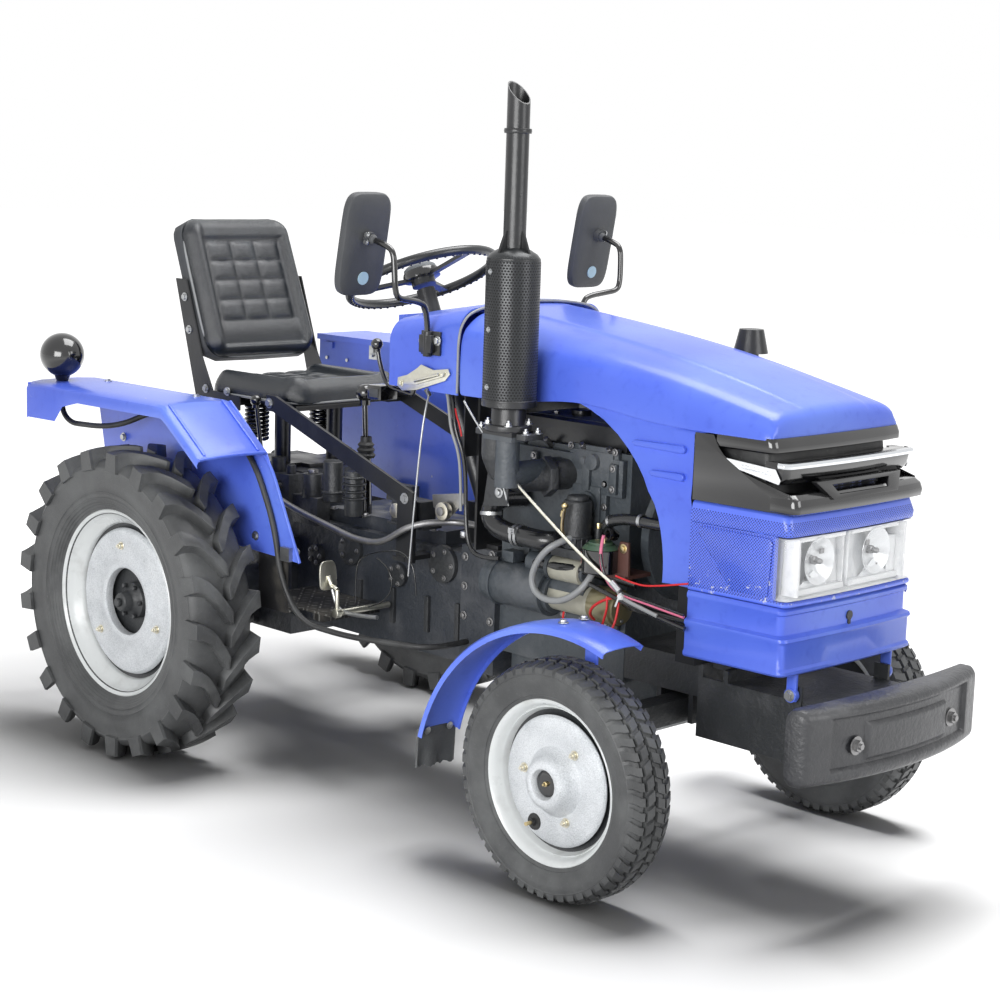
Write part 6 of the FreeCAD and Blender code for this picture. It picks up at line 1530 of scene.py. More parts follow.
def exhaust_trims():
    """Perforated heat shield round the muffler, the rings of its neck and the shield's screws."""
    foot = at(1.210, -0.350, 0)
    upward = (0, 0, 1)
    profile = [(1.122, 0.0645), (1.122, 0.0672), (1.462, 0.0672), (1.472, 0.0655), (1.482, 0.058),
               (1.492, 0.042), (1.497, 0.031)]
    lathe("muffler_shield", profile, foot, "chassis", shield, upward, 96, smooth=30)
    bm = bmesh.new()
    turned(bm, [(1.108, 0.03), (1.108, 0.056), (1.112, 0.066), (1.122, 0.068), (1.128, 0.0685),
                (1.130, 0.067), (1.130, 0.05)], foot, upward, 64)
    turned(bm, [(1.050, 0.028), (1.050, 0.056), (1.053, 0.058), (1.064, 0.058), (1.067, 0.056),
                (1.067, 0.044), (1.110, 0.043), (1.112, 0.03)], foot, upward, 64)
    turned(bm, [(1.770, 0.028), (1.770, 0.033), (1.776, 0.034), (1.782, 0.033), (1.782, 0.028)], foot,
           upward, 48)
    piece("muffler_neck_rings", bm, "chassis", black_sheet, bevel=0.001)
    bm = bmesh.new()
    for turn in (45, 135, 225, 315):
        away = Vector((math.cos(math.radians(turn)), math.sin(math.radians(turn)), 0))
        bolt(bm, foot + away * 0.050 + Vector((0, 0, 1.066)), upward, 0.008, 0.007, 0.012, nut=True)
    for z in (1.16, 1.30, 1.44):
        for turn in (-100, 100):
            away = Vector((math.cos(math.radians(turn)), math.sin(math.radians(turn)), 0))
            bolt(bm, foot + away * 0.0668 + Vector((0, 0, z)), away, 0.005, 0.003, 0.007)
    piece("muffler_studs", bm, "chassis", zinc)


def cowl_trims():
    """Latch plate, mirror brackets, relay and edge seal of the dash cowl."""
    bm = bmesh.new()
    slab(bm, upright(-0.2745, (0.722, 1.108), (0.742, 1.096), (0.800, 1.104), (0.905, 1.138), (0.922, 1.156),
                     (0.915, 1.170), (0.860, 1.162), (0.812, 1.172), (0.796, 1.160), (0.760, 1.140),
                     (0.724, 1.130)),
         Vector((0, -0.004, 0)))
    slab(bm, upright(-0.2785, (0.752, 1.112), (0.800, 1.118), (0.902, 1.148), (0.908, 1.160), (0.860, 1.152),
                     (0.806, 1.146), (0.756, 1.126)), Vector((0, -0.007, 0)))
    rod(bm, at(0.802, -0.290, 1.128), at(0.893, -0.290, 1.154), 0.004, sides=12)
    bolt(bm, at(0.738, -0.2785, 1.116), (0, -1, 0), 0.007, 0.005, 0.010)
    piece("cowl_latch", bm, "chassis", crumpled_zinc, bevel=0.0015)
    bm = bmesh.new()
    for sign in SIDES.values():
        block(bm, (0.811, 0.882), (sign * 0.2735, sign * 0.2785), (1.200, 1.262))
        spots = [(0.818, sign * 0.2785, 1.235), (0.873, sign * 0.2785, 1.2385)]
        bolts(bm, spots, (0, sign, 0), 0.009, 0.007, 0.013, 1)
    piece("mirror_brackets", bm, "chassis", [black_sheet, zinc], bevel=0.002)
    half = [(0.2765, 1.11), (0.2765, 1.20), (0.2765, 1.245), (0.268, 1.285), (0.235, 1.318), (0.15, 1.3345)]
    edge = [(-y, z) for y, z in half] + [(0, 1.342)] + half[::-1]
    tubes("cowl_edge_seal", [([at(0.9490, y, z) for y, z in edge], 0.0035, 0)], "chassis", grey_hose)
    bm = bmesh.new()
    block(bm, (0.60, 0.655), (-0.275, -0.215), (1.060, 1.098))
    block(bm, (0.61, 0.645), (-0.2775, -0.2745), (1.066, 1.090), 1)
    piece("cowl_relay", bm, "chassis", [black_gloss, plastic], bevel=0.003)


def mirror_heads():
    """Tall mirrors: a textured back with a raised rim, a silvered face and a ball joint in a clamp."""
    lean = math.radians(10)
    up = Vector((math.sin(lean), 0, math.cos(lean)))
    ahead = Vector((math.cos(lean), 0, -math.sin(lean)))
    outline = squared_circle(48, 0.42, 0.36)
    levels = ((0.012, -0.0085), (0.008, -0.0085), (0.007, -0.013), (0.001, -0.012), (0, 0.0), (0.003, 0.008),
              (0.012, 0.013), (0.035, 0.0145), (0.066, 0.015))
    bm = bmesh.new()
    runs = []
    for sign in SIDES.values():
        centre = at(0.752, sign * 0.433, 1.482)
        rings = [[centre + Vector((0, u * (0.075 - shrink), 0)) + up * v * (0.134 - shrink) + ahead * depth
                  for u, v in outline] for shrink, depth in levels]
        made = loft(bm, rings, closed=True)
        bm.faces.new(made[-1])
        glass = bm.faces.new(made[0])
        glass.material_index = 1
        disc = centre - up * 0.085 + ahead * 0.0145
        rod(bm, disc, disc + ahead * 0.003, 0.017, sides=28, material=2)
        joint = centre + up * 0.02
        rod(bm, joint + ahead * 0.013, joint + ahead * 0.030, 0.017, sides=24)
        ball(bm, joint + ahead * 0.032, 0.013)
        for v in (0.012, 0.030):
            spot = centre + up * v + ahead * 0.026 + Vector((0, sign * 0.014, 0))
            bolt(bm, spot, (0, sign, 0), 0.006, 0.005, 0.008, 3)
        arm = ((0.775, 0.433, 1.499), (0.840, 0.431, 1.484), (0.862, 0.429, 1.468), (0.866, 0.428, 1.430),
               (0.868, 0.426, 1.375), (0.868, 0.416, 1.352), (0.862, 0.372, 1.346), (0.850, 0.322, 1.338),
               (0.848, 0.300, 1.326), (0.842, 0.284, 1.258), (0.840, 0.283, 1.226))
        runs.append(([at(x, sign * y, z) for x, y, z in arm], 0.008, 0))
    piece("mirror_heads", bm, "chassis", [plastic, mirror_silver, dial_paint, zinc], "black_plastic",
          "mirrors")
    tubes("mirror_arms", runs, "chassis", black_gloss)
    bm = bmesh.new()
    for sign in SIDES.values():
        block(bm, (0.818, 0.864), (sign * 0.279, sign * 0.294), (1.206, 1.252))
        posts(bm, (0.841, sign * 0.283, 1.196, 1.262, 0.0125, 20, 0))
    piece("mirror_clamps", bm, "chassis", black_sheet, bevel=0.002)


def steering_wheel_trims():
    """Finger ridges under the rim and the domed cap with its ring."""
    tilt = math.radians(25)
    axis = Vector((-math.sin(tilt), 0, math.cos(tilt)))
    centre = at(0.510, 0, 1.373)
    forward = Vector((math.cos(tilt), 0, math.sin(tilt)))
    side = Vector((0, 1, 0))
    bm = bmesh.new()
    turned(bm, [(-0.006, 0.030), (-0.004, 0.052), (0.010, 0.053), (0.018, 0.050), (0.020, 0.046)], centre,
           axis, 48)
    piece("steering_hub_ring", bm, "steering_wheel", black_gloss)
    bm = bmesh.new()
    turned(bm, [(0.020, 0.0465), (0.028, 0.0455), (0.034, 0.038), (0.038, 0.024), (0.039, 0.008),
                (0.039, 0)], centre, axis, 48)
    piece("steering_cap", bm, "steering_wheel", pale_grey)
    bm = bmesh.new()
    for step in range(54):
        turn = FULL_TURN * (step + 0.5) / 54
        away = forward * math.cos(turn) + side * math.sin(turn)
        ball(bm, centre + away * 0.208 - axis * 0.0110, 0.0052, sides=8)
    piece("steering_grip_ridges", bm, "steering_wheel", black_gloss)


exhaust_trims()
cowl_trims()
mirror_heads()
steering_wheel_trims()


def front_weight():
    """Bowed casting with rounded edges, a framed recess on its face and a raised pad with two bolts."""
    bm = bmesh.new()
    rings = []
    low, high = 0.356, 0.536
    for column in range(121):
        y = -0.345 + 0.690 * column / 120
        bow = 0.054 * (y / 0.345) ** 2
        pinch = 0.016 * (1 - arc(1, (abs(y) - 0.327) / 0.018))
        ring = []
        for row in range(33):
            z = low + pinch + (high - low - 2 * pinch) * row / 32
            edge = min(z - low, high - z)
            x = 2.200 - bow - pinch - 0.026 * (1 - arc(1, (0.026 - edge) / 0.026))
            sunk = min(step_up(0.272 - abs(y), 0, 0.010), step_up(z, 0.386, 0.396),
                       step_up(0.516 - z, 0, 0.010))
            raised = min(step_up(0.160 - abs(y), 0, 0.006), step_up(z, 0.404, 0.410),
                         step_up(0.490 - z, 0, 0.006))
            ring.append(at(x - 0.011 * sunk + 0.008 * raised, y, z))
        back = 2.116 - bow * 0.4
        ring += [at(back + 0.010, y, high - pinch), at(back, y, high - 0.010 - pinch),
                 at(back, y, low + 0.010 + pinch), at(back + 0.010, y, low + pinch)]
        rings.append(ring)
    made = loft(bm, rings, closed=True)
    bm.faces.new(made[0])
    bm.faces.new(made[-1])
    piece("front_weight_casting", bm, "chassis", weight_casting, "black_casting", "front_weight", smooth=45)
    bm = bmesh.new()
    bolts(bm, [(2.176, y, 0.441) for y in (-0.190, 0.190)], (1, 0, 0), 0.014, 0.010, 0.022, nut=True)
    piece("front_weight_bolts", bm, "chassis", steel)


front_weight()


# ---- Engine bay ----

def drum(bm, foot, height, radius, lip=0.0):
    """An upright round can on a foot given ahead of the rear axle, with rolled ends."""
    profile = [(0, 0.001), (0, radius - 0.003), (0.003, radius), (height - 0.003, radius),
               (height, radius - 0.003), (height, 0.001)]
    if lip:
        profile[3:3] = [(height * 0.2, radius), (height * 0.22, radius + lip), (height * 0.26, radius + lip),
                        (height * 0.28, radius)]
    turned(bm, profile, at(*foot), (0, 0, 1), 28)


def exhaust_manifold():
    """The riser's elbow from the head, its ribs and flange nuts."""
    bm = bmesh.new()
    outward = along((1.165, -0.345, 1.040), (1.163, -0.342, 0.985), (1.168, -0.322, 0.945),
                    (1.190, -0.285, 0.925), (1.225, -0.215, 0.925), (1.235, -0.150, 0.930))
    radii = (0.036, 0.037, 0.038, 0.037, 0.036, 0.040)
    for index in range(len(radii) - 1):
        rod(bm, outward[index], outward[index + 1], radii[index], radii[index + 1], 24, caps=False)
    for spot, radius in zip(outward[1:-1], radii[1:-1]):
        ball(bm, spot, radius)
    rod(bm, at(1.218, -0.226, 0.925), at(1.226, -0.206, 0.926), 0.052, sides=6)
    block(bm, (1.118, 1.290), (-0.372, -0.310), (1.034, 1.048))
    spots = [(x, y, 1.048) for y in (-0.362, -0.320) for x in (1.128, 1.282)]
    bolts(bm, spots, (0, 0, 1), 0.008, 0.007, 0.012, 1, nut=True)
    slab(bm, upright(-0.350, (1.150, 0.980), (1.130, 0.850), (1.215, 0.862), (1.215, 0.925)),
         Vector((0, 0.006, 0)))
    bolt(bm, at(1.186, -0.3505, 0.892), (0, -1, 0), 0.009, 0.006, 0.014, 1)
    piece("exhaust_manifold", bm, "chassis", [casting, zinc], bevel=0.002, smooth=50)


def engine_side_covers():
    """Head, pressed covers, round plugs and their bolts on the engine's right side."""
    bm = bmesh.new()
    block(bm, (1.020, 1.425), (-0.162, -0.146), (0.892, 0.985))
    for x in (1.045, 1.130, 1.310, 1.400):
        block(bm, (x - 0.012, x + 0.012), (-0.172, -0.160), (0.900, 0.975))
    block(bm, (1.243, 1.405), (-0.158, -0.146), (0.936, 1.010))
    block(bm, (1.256, 1.392), (-0.163, -0.156), (0.948, 0.998))
    block(bm, (1.246, 1.372), (-0.160, -0.146), (0.800, 0.926))
    block(bm, (1.262, 1.356), (-0.166, -0.158), (0.816, 0.910))
    block(bm, (1.040, 1.400), (-0.153, -0.146), (0.716, 0.738))
    block(bm, (1.010, 1.425), (-0.158, -0.146), (0.556, 0.580))
    for x in (1.10, 1.20, 1.30, 1.38):
        block(bm, (x - 0.006, x + 0.006), (-0.152, -0.146), (0.580, 0.716))
    for x, z, radius in ((1.330, 0.972, 0.020), (1.300, 0.972, 0.009), (1.318, 0.866, 0.030),
                         (1.10, 0.660, 0.040)):
        pegs(bm, (x, z, -0.150, -0.176, radius, 24, 0))
    corners = [(x, -0.163, z) for x in (1.250, 1.398) for z in (0.943, 1.004)]
    corners += [(x, -0.160, z) for x in (1.252, 1.366) for z in (0.806, 0.862, 0.920)]
    corners += [(x, -0.153, 0.727) for x in (1.06, 1.15, 1.24, 1.33)]
    corners += [(x, -0.158, 0.568) for x in (1.03, 1.10, 1.17, 1.24, 1.31, 1.39)]
    corners += [(x, -0.172, z) for x in (1.045, 1.130, 1.400) for z in (0.912, 0.964)]
    bolts(bm, corners, (0, -1, 0), 0.0065, 0.005, 0.00975, 1)
    piece("engine_side_covers", bm, "chassis", [engine_paint, steel], bevel=0.003)


def rocker_cover():
    """Rounded cover on the head, with its filler cap and the injectors' nuts."""
    bm = bmesh.new()
    rocker = along((1.045, 0.135, 1.001), (1.41, 0.135, 1.001), (1.41, -0.135, 1.001),
                   (1.045, -0.135, 1.001))
    slab(bm, rocker, Vector((0, 0, 0.058)))
    posts(bm, (1.15, -0.02, 1.058, 1.074, 0.026, 24, 0))
    bolts(bm, [(x, -0.06, 1.059) for x in (1.10, 1.355)], (0, 0, 1), 0.009, 0.008, 0.014, 1)
    for x in (1.075, 1.165, 1.290, 1.380):
        rod(bm, at(x, -0.136, 0.985), at(x, -0.168, 1.012), 0.008, sides=6, material=1)
    piece("rocker_cover", bm, "chassis", [black_sheet, steel], bevel=0.012, bevel_steps=3)


def injection_pump():
    """Pump with its unions, the fluted can above it and a rusty bracket in front."""
    bm = bmesh.new()
    drum(bm, (1.328, -0.215, 0.760), 0.120, 0.036, lip=0.003)
    drum(bm, (1.328, -0.215, 0.878), 0.014, 0.028)
    for step in range(14):
        turn = FULL_TURN * step / 14
        foot = at(1.328 + 0.036 * math.cos(turn), -0.215 + 0.036 * math.sin(turn), 0.766)
        rod(bm, foot, foot + Vector((0, 0, 0.026)), 0.0035, sides=6)
    block(bm, (1.275, 1.385), (-0.250, -0.150), (0.738, 0.760))
    for step in range(4):
        x = 1.262 + 0.034 * step
        posts(bm, (x, -0.175, 0.760, 0.800 + 0.01 * (step % 2), 0.009, 16, 0),
              (x, -0.175, 0.800, 0.824, 0.006, 6, 1))
    block(bm, (1.395, 1.520), (-0.246, -0.150), (0.712, 0.722), material=2)
    bracket = upright(-0.246, (1.395, 0.722), (1.530, 0.722), (1.526, 0.806), (1.500, 0.806), (1.478, 0.740),
                      (1.400, 0.736))
    slab(bm, bracket, Vector((0, 0.008, 0)), 2)
    bolt(bm, at(1.512, -0.2465, 0.790), (0, -1, 0), 0.008, 0.005, 0.012, 1)
    piece("injection_pump_stack", bm, "chassis", [casting, brass, rusty_bracket], bevel=0.0015)


def fuel_filter():
    """Black filter can with a green head, its union and a red tag."""
    bm = bmesh.new()
    drum(bm, (1.452, -0.262, 0.725), 0.060, 0.046)
    rod(bm, at(1.452, -0.262, 0.784), at(1.452, -0.262, 0.794), 0.046, 0.036, 28, 1)
    posts(bm, (1.452, -0.262, 0.794, 0.800, 0.030, 24, 1), (1.462, -0.262, 0.798, 0.812, 0.006, 6, 2))
    turned(bm, [(-0.004, 0.010), (-0.004, 0.016), (0.004, 0.016), (0.004, 0.010), (-0.004, 0.010)],
           at(1.478, -0.262, 0.822), (0.3, 1, 0), 24)
    block(bm, (1.402, 1.4065), (-0.276, -0.246), (0.738, 0.768), material=3)
    piece("fuel_filter", bm, "chassis", [black_gloss, green_paint, brass, red_paint], smooth=40)


def starter():
    """Starter body with its end frame, the cream solenoid over it and the drive end's casting."""
    bm = bmesh.new()
    y = -0.205
    stepped_bar(bm, y, 0.630, 36, 1.030, (1.060, 0.054, 0), (1.072, 0.062, 0), (1.235, 0.058, 0),
                (1.246, 0.061, 0), (1.262, 0.050, 0), (1.385, 0.040, 1), (1.398, 0.043, 1),
                (1.470, 0.046, 2), (1.480, 0.040, 2))
    stepped_bar(bm, y - 0.012, 0.700, 30, 1.250, (1.262, 0.034, 0), (1.362, 0.031, 1), (1.372, 0.024, 0))
    for turn in (20, 140, 260):
        angle = math.radians(turn)
        spot = at(1.480, y + 0.030 * math.cos(angle), 0.630 + 0.030 * math.sin(angle))
        bolt(bm, spot, (1, 0, 0), 0.005, 0.004, material=3)
    for offset in (-0.010, 0.012):
        bolt(bm, at(1.372, y - 0.012 + offset, 0.706), (1, 0, 0), 0.006, 0.010, material=4, nut=True)
    block(bm, (1.08, 1.12), (y - 0.020, y + 0.020), (0.688, 0.716))
    piece("starter_motor_body", bm, "chassis", [engine_paint, cream_paint, amber_metal, zinc, brass],
          bevel=0.0015, smooth=40)


def engine_hoses():
    """Coolant elbow with its clamps, breather hose, radiator hose and the lower pipes."""
    elbow = along((1.092, -0.150, 0.850), (1.060, -0.190, 0.852), (1.046, -0.225, 0.836),
                  (1.046, -0.240, 0.806), (1.066, -0.245, 0.784), (1.100, -0.245, 0.772),
                  (1.150, -0.245, 0.768), (1.205, -0.245, 0.768), (1.246, -0.240, 0.766),
                  (1.262, -0.215, 0.766), (1.262, -0.150, 0.768))
    radiator = along((1.440, -0.200, 0.806), (1.447, -0.238, 0.826), (1.462, -0.250, 0.848),
                     (1.494, -0.252, 0.860), (1.540, -0.250, 0.866), (1.600, -0.240, 0.862),
                     (1.690, -0.215, 0.858))
    lower = along((1.150, -0.160, 0.706), (1.180, -0.225, 0.700), (1.280, -0.240, 0.708),
                  (1.360, -0.235, 0.712), (1.420, -0.200, 0.706), (1.500, -0.180, 0.690))
    drain = along((1.440, -0.160, 0.640), (1.500, -0.220, 0.646), (1.580, -0.225, 0.642),
                  (1.690, -0.205, 0.634))
    tubes("engine_bay_hoses", [(elbow, 0.0265, 0), (radiator, 0.0145, 0), (lower, 0.012, 0),
                               (drain, 0.010, 0)], "chassis",
          [black_hose], "black_rubber", "coolant_hose")
    breather = along((1.338, -0.246, 0.790), (1.322, -0.288, 0.776), (1.298, -0.300, 0.752),
                     (1.276, -0.302, 0.722), (1.262, -0.302, 0.690), (1.266, -0.302, 0.660),
                     (1.290, -0.302, 0.641), (1.328, -0.302, 0.636), (1.368, -0.302, 0.643),
                     (1.402, -0.298, 0.662), (1.428, -0.285, 0.690), (1.432, -0.262, 0.722))
    tubes("breather_hose", [(breather, 0.0085, 0)], "chassis", grey_hose)
    bm = bmesh.new()
    for spot, axis, radius in ((at(1.152, -0.245, 0.768), (1, 0, 0), 0.0285),
                               (at(1.166, -0.245, 0.768), (1, 0, 0), 0.0285),
                               (at(1.050, -0.240, 0.812), (0.1, -0.1, -1), 0.0285),
                               (at(1.565, -0.246, 0.866), (1, 0, 0), 0.0165),
                               (at(1.464, -0.250, 0.849), (1, 0, 0.5), 0.0165)):
        ring_of(bm, [(-0.0045, radius - 0.003), (-0.0045, radius), (0.0045, radius),
                     (0.0045, radius - 0.003)], spot, axis, 32)
    block(bm, (1.148, 1.170), (-0.276, -0.266), (0.776, 0.790))
    pegs(bm, (1.159, 0.782, -0.281, -0.262, 0.005, 12, 0))
    piece("hose_clamps", bm, "chassis", zinc)


def control_rods():
    """Hand throttle cable, stop cable, the governor's link and the dipstick."""
    cable = along((0.831, -0.262, 1.100), (0.844, -0.286, 1.067), (0.842, -0.300, 0.974),
                  (0.830, -0.304, 0.812), (0.820, -0.304, 0.703), (0.808, -0.300, 0.610))
    bow = along((1.074, -0.372, 1.110), (1.110, -0.372, 1.070), (1.184, -0.368, 0.997),
                (1.196, -0.362, 0.940), (1.206, -0.352, 0.900), (1.214, -0.345, 0.862))
    link = along((1.205, -0.338, 0.940), (1.222, -0.336, 0.926), (1.301, -0.330, 0.867),
                 (1.459, -0.318, 0.758), (1.544, -0.312, 0.714))
    dipstick = along((1.341, -0.276, 0.869), (1.330, -0.272, 0.840), (1.322, -0.262, 0.796),
                     (1.326, -0.220, 0.752), (1.330, -0.150, 0.720))
    tubes("control_rods", [(cable, 0.0028, 0), (bow, 0.0026, 0), (link, 0.0042, 1), (dipstick, 0.0045, 2)],
          "chassis", [zinc, crumpled_zinc, brass])
    bm = bmesh.new()
    ball(bm, at(1.341, -0.276, 0.874), 0.009, 0, sides=14)
    rod(bm, at(1.330, -0.272, 0.846), at(1.336, -0.274, 0.862), 0.0065, sides=12)
    rod(bm, at(1.536, -0.312, 0.720), at(1.562, -0.312, 0.702), 0.008, sides=12, material=1)
    rod(bm, at(1.200, -0.338, 0.944), at(1.214, -0.338, 0.933), 0.007, sides=12, material=1)
    rod(bm, at(0.831, -0.275, 1.108), at(0.831, -0.262, 1.092), 0.006, sides=12, material=1)
    piece("control_rod_ends", bm, "chassis", [brass, zinc])


def wiring():
    """The loom's bare ends: battery lead, lamp wires, starter feed and their white tie."""
    lead = along((1.494, -0.300, 0.826), (1.489, -0.302, 0.800), (1.491, -0.304, 0.776),
                 (1.497, -0.305, 0.748), (1.512, -0.305, 0.722), (1.536, -0.303, 0.702),
                 (1.566, -0.300, 0.690), (1.626, -0.296, 0.684), (1.680, -0.290, 0.676),
                 (1.741, -0.285, 0.668))
    twin = [point + Vector((0.004, -0.006, 0.006)) for point in lead[2:]]
    grey = along((1.556, -0.306, 0.690), (1.580, -0.308, 0.682), (1.626, -0.305, 0.672),
                 (1.672, -0.300, 0.660))
    feed = along((1.551, -0.304, 0.687), (1.520, -0.306, 0.676), (1.487, -0.306, 0.659),
                 (1.462, -0.300, 0.640), (1.450, -0.290, 0.619), (1.440, -0.262, 0.604))
    loop = along((1.518, -0.306, 0.681), (1.522, -0.308, 0.660), (1.517, -0.308, 0.635),
                 (1.506, -0.306, 0.610), (1.494, -0.290, 0.590))
    low = along((1.392, -0.320, 0.622), (1.398, -0.334, 0.602), (1.440, -0.338, 0.582),
                (1.452, -0.338, 0.570), (1.474, -0.338, 0.566), (1.508, -0.336, 0.572),
                (1.544, -0.330, 0.592), (1.560, -0.316, 0.626), (1.556, -0.305, 0.680))
    cross = along((1.540, -0.303, 0.735), (1.600, -0.297, 0.722), (1.660, -0.292, 0.728),
                  (1.745, -0.280, 0.748))
    black = along((1.455, -0.300, 0.700), (1.500, -0.309, 0.694), (1.560, -0.309, 0.680),
                  (1.640, -0.300, 0.662), (1.745, -0.285, 0.640))
    cowl = along((0.905, -0.250, 1.098), (0.925, -0.262, 1.060), (0.940, -0.268, 1.010),
                 (0.962, -0.262, 0.960), (0.968, -0.255, 0.900), (0.972, -0.255, 0.800),
                 (0.990, -0.262, 0.720), (1.030, -0.262, 0.690), (1.100, -0.255, 0.700))
    second = [point + Vector((-0.010, -0.008, 0.004)) for point in cowl[:6]]
    pink = along((0.930, -0.262, 1.068), (0.945, -0.272, 1.050), (0.958, -0.272, 1.030),
                 (0.962, -0.268, 1.000))
    tubes("engine_wiring", [(lead, 0.0042, 1), (twin, 0.0030, 3), (grey, 0.0050, 2), (feed, 0.0036, 0),
                            (loop, 0.0030, 0), (low, 0.0030, 0), (cross, 0.0024, 0), (black, 0.0060, 3),
                            (cowl, 0.0060, 3), (second, 0.0042, 2), (pink, 0.0024, 0)],
          "chassis", [red_wire, pink_wire, grey_hose, black_hose])
    bm = bmesh.new()
    rod(bm, at(1.560, -0.306, 0.686), at(1.570, -0.306, 0.692), 0.010, sides=10)
    rod(bm, at(1.562, -0.312, 0.690), at(1.556, -0.318, 0.664), 0.0022, sides=6)
    posts(bm, (0.975, -0.262, 0.742, 0.752, 0.010, 10, 1))
    piece("wiring_ties", bm, "chassis", [white_plastic, zinc])


def bulkhead():
    """Dark pressed plate that closes the cowl behind the engine."""
    bm = bmesh.new()
    block(bm, (0.9350, 0.9400), (-0.236, 0.236), (0.940, 1.120))
    for y in (-0.15, 0.0, 0.15):
        block(bm, (0.9400, 0.9450), (y - 0.030, y + 0.030), (0.960, 1.100))
    piece("cowl_bulkhead", bm, "chassis", black_sheet, "black_sheet", bevel=0.002)


bulkhead()
exhaust_manifold()
engine_side_covers()
rocker_cover()
injection_pump()
fuel_filter()
starter()
engine_hoses()
control_rods()
wiring()


# ---- Gearbox, floor and levers ----

def lift_valve(bm):
    """The lift's control valve with its caps and plugs, and the block beside it."""
    block(bm, (0.045, 0.190), (-0.205, -0.150), (0.690, 0.790))
    block(bm, (0.060, 0.150), (-0.216, -0.200), (0.710, 0.770))
    block(bm, (0.190, 0.300), (-0.190, -0.142), (0.655, 0.735))
    posts(bm, (0.110, -0.180, 0.785, 0.832, 0.022, 24, 0), (0.170, -0.180, 0.785, 0.815, 0.014, 20, 0),
          (0.250, -0.165, 0.730, 0.800, 0.030, 28, 0), (0.250, -0.165, 0.800, 0.812, 0.016, 6, 1))
    pegs(bm, (0.085, 0.735, -0.216, -0.238, 0.018, 24, 0), (0.125, 0.748, -0.216, -0.232, 0.010, 6, 1))


def lever_foot(bm):
    """The can beside the gear lever and the ribbed boot at the lever's foot."""
    drum(bm, (0.322, -0.150, 0.727), 0.118, 0.030, lip=0.004)
    for z in (0.745, 0.765, 0.785, 0.805):
        ring = [(z, 0.028), (z + 0.003, 0.035), (z + 0.006, 0.035), (z + 0.009, 0.028)]
        turned(bm, ring, at(0.412, -0.150, 0), (0, 0, 1), 28)
    posts(bm, (0.412, -0.150, 0.700, 0.825, 0.027, 28, 0))


def gearbox_covers(bm):
    """Round covers with five bolts each, ribs, and the bolts of the top plate and of the clutch flange."""
    for x, z, radius in ((0.40, 0.60, 0.046), (0.60, 0.56, 0.034), (0.78, 0.62, 0.052), (0.25, 0.56, 0.030)):
        pegs(bm, (x, z, -0.138, -0.154, radius, 32, 0))
        for step in range(5):
            turn = FULL_TURN * step / 5
            spot = at(x + radius * 0.74 * math.cos(turn), -0.154, z + radius * 0.74 * math.sin(turn))
            bolt(bm, spot, (0, -1, 0), 0.005, 0.004, 0.008, 1)
    ribs = (0.30, 0.44, 0.58, 0.72, 0.84)
    bolts(bm, [(x, -0.128, 0.7005) for x in ribs], (0, 0, 1), 0.008, 0.006, 0.012, 1)
    for x in ribs:
        block(bm, (x - 0.008, x + 0.008), (-0.150, -0.138), (0.420, 0.520))
    flange = ((0.885, 0.50), (0.885, 0.58), (0.885, 0.66), (0.985, 0.50), (0.985, 0.60), (0.985, 0.68))
    bolts(bm, [(x, -0.1655, z) for x, z in flange], (0, -1, 0), 0.008, 0.006, 0.012, 1)


def gearbox_shoulder(bm):
    """A small box on the gearbox's shoulder, and the plated boss on its ear ahead of it."""
    block(bm, (0.622, 0.766), (-0.212, -0.142), (0.716, 0.724))
    block(bm, (0.634, 0.750), (-0.208, -0.150), (0.724, 0.790))
    pegs(bm, (0.662, 0.757, -0.208, -0.222, 0.020, 28, 2), (0.722, 0.757, -0.208, -0.218, 0.012, 20, 1))
    ear = upright(-0.214, (0.800, 0.820), (0.920, 0.840), (0.925, 0.815), (0.870, 0.770), (0.806, 0.786))
    slab(bm, ear, Vector((0, 0.006, 0)), 1)
    pegs(bm, (0.864, 0.786, -0.222, -0.240, 0.024, 32, 2), (0.864, 0.786, -0.240, -0.246, 0.012, 24, 1))


def gearbox_trims():
    """Everything fixed on the gearbox and the rear housing, in one piece, and the gear lever's boot."""
    bm = bmesh.new()
    for add in (lift_valve, lever_foot, gearbox_covers, gearbox_shoulder):
        add(bm)
    piece("gearbox_trims", bm, "chassis", [casting, steel, yellow_zinc], bevel=0.0018)
    boot = [(0.86, 0.024), (0.868, 0.028), (0.875, 0.022), (0.883, 0.026), (0.890, 0.020), (0.898, 0.024),
            (0.905, 0.017), (0.92, 0.016)]
    lathe("gear_lever_boot", boot, at(0.402, -0.100, 0), "chassis", black_rubber, (0, 0, 1), 36)


def lever_knobs():
    """Round knobs of the gear, lift and throttle levers."""
    bm = bmesh.new()
    for spot, radius in ((at(0.393, -0.100, 1.043), 0.0252), (at(0.075, -0.238, 0.997), 0.0162),
                         (at(0.607, -0.250, 1.206), 0.0162)):
        ball(bm, spot, radius, sides=28)
        rod(bm, spot - Vector((0, 0, radius * 1.35)), spot - Vector((0, 0, radius * 0.6)), radius * 0.62,
            sides=20)
    piece("lever_knobs", bm, "chassis", black_gloss, "black_plastic")


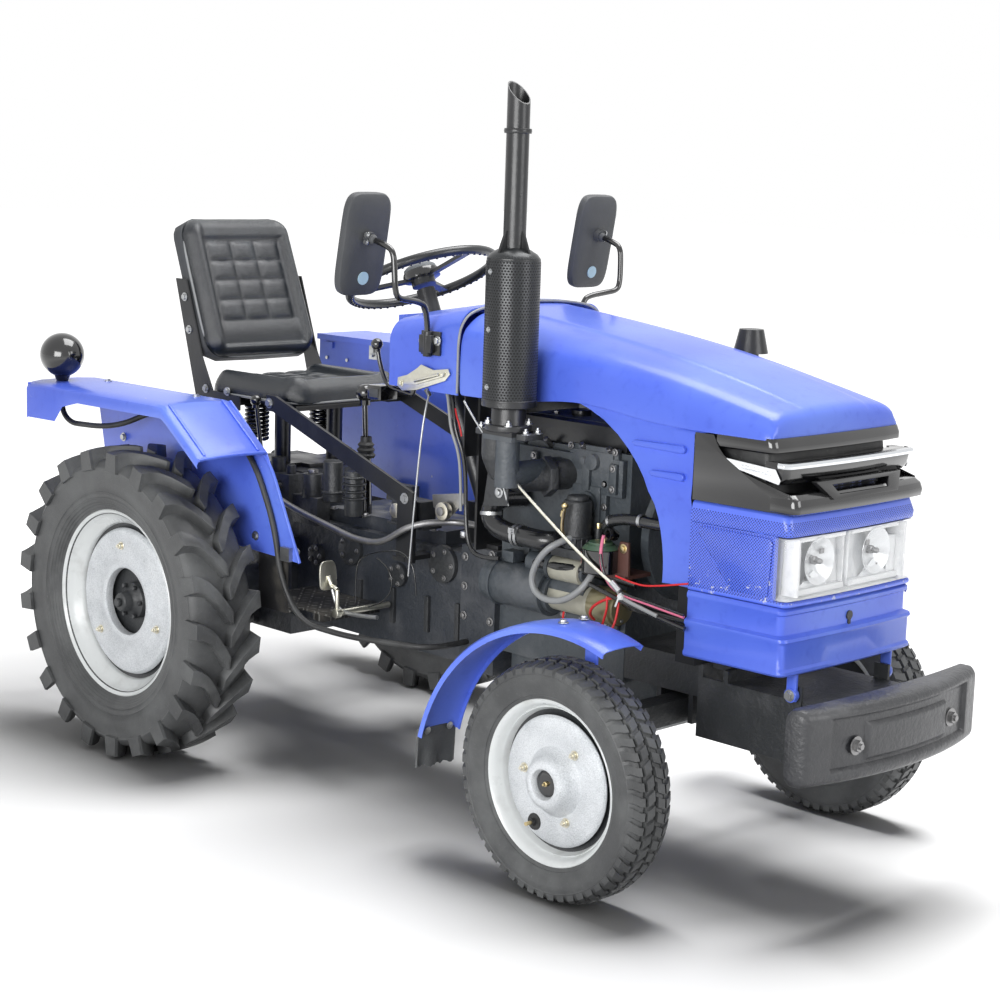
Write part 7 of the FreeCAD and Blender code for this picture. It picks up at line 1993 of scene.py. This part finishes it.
def pedal_trims():
    """Pedals with rounded pads on bent stems, and the foot throttle's rods and looped wires."""
    bm = bmesh.new()
    pedal_y = 0.353
    stem_radius = 0.0065
    for sign in SIDES.values():
        outline = [at(0.5405 - 0.0036 * v, sign * (pedal_y + u * (0.030 - 0.004 * v * abs(v))),
                      0.574 + 0.040 * v) for u, v in squared_circle(24, 0.5, 0.5)]
        slab(bm, outline, Vector((0.005, 0, 0)))
        stem = upright(sign * pedal_y, (0.546, 0.572), (0.560, 0.548), (0.583, 0.540), (0.585, 0.476))
        for start, end in zip(stem, stem[1:]):
            rod(bm, start, end, stem_radius, sides=14)
        pegs(bm, (0.585, 0.476, sign * 0.166, sign * 0.358, 0.009, 18, 0),
             (0.585, 0.476, sign * 0.345, sign * 0.362, 0.013, 18, 0))
    piece("pedal_pads", bm, "chassis", crumpled_zinc, "black_casting", "pedals", bevel=0.0012, smooth=50)
    stem = along((0.544, -0.338, 0.538), (0.556, -0.336, 0.500), (0.572, -0.334, 0.478),
                 (0.640, -0.332, 0.476), (0.722, -0.330, 0.486))
    wire = along((0.598, -0.300, 0.500), (0.597, -0.300, 0.560), (0.603, -0.300, 0.614),
                 (0.640, -0.300, 0.642), (0.700, -0.298, 0.660), (0.760, -0.296, 0.672),
                 (0.800, -0.294, 0.660), (0.826, -0.292, 0.621), (0.830, -0.290, 0.560))
    second = along((0.660, -0.280, 0.632), (0.690, -0.280, 0.622), (0.716, -0.280, 0.600),
                   (0.724, -0.280, 0.570), (0.712, -0.280, 0.538), (0.676, -0.280, 0.508),
                   (0.630, -0.280, 0.492))
    tubes("foot_throttle_rods", [(stem, 0.006, 0), (wire, 0.0020, 1), (second, 0.0020, 1)], "chassis",
          [zinc, black_gloss])


def toolbox_trims():
    """Hasp and rivets of the toolbox's inner side, seen past the seat."""
    bm = bmesh.new()
    block(bm, (-0.190, -0.150), (0.4275, 0.4335), (1.060, 1.112))
    pegs(bm, (-0.170, 1.075, 0.4275, 0.418, 0.007, 16, 0))
    for x in (-0.40, -0.30, -0.05, 0.03):
        pegs(bm, (x, 1.046, 0.4315, 0.4285, 0.006, 14, 0))
    piece("toolbox_hasp", bm, "chassis", zinc, bevel=0.001)


gearbox_trims()
lever_knobs()
pedal_trims()
toolbox_trims()
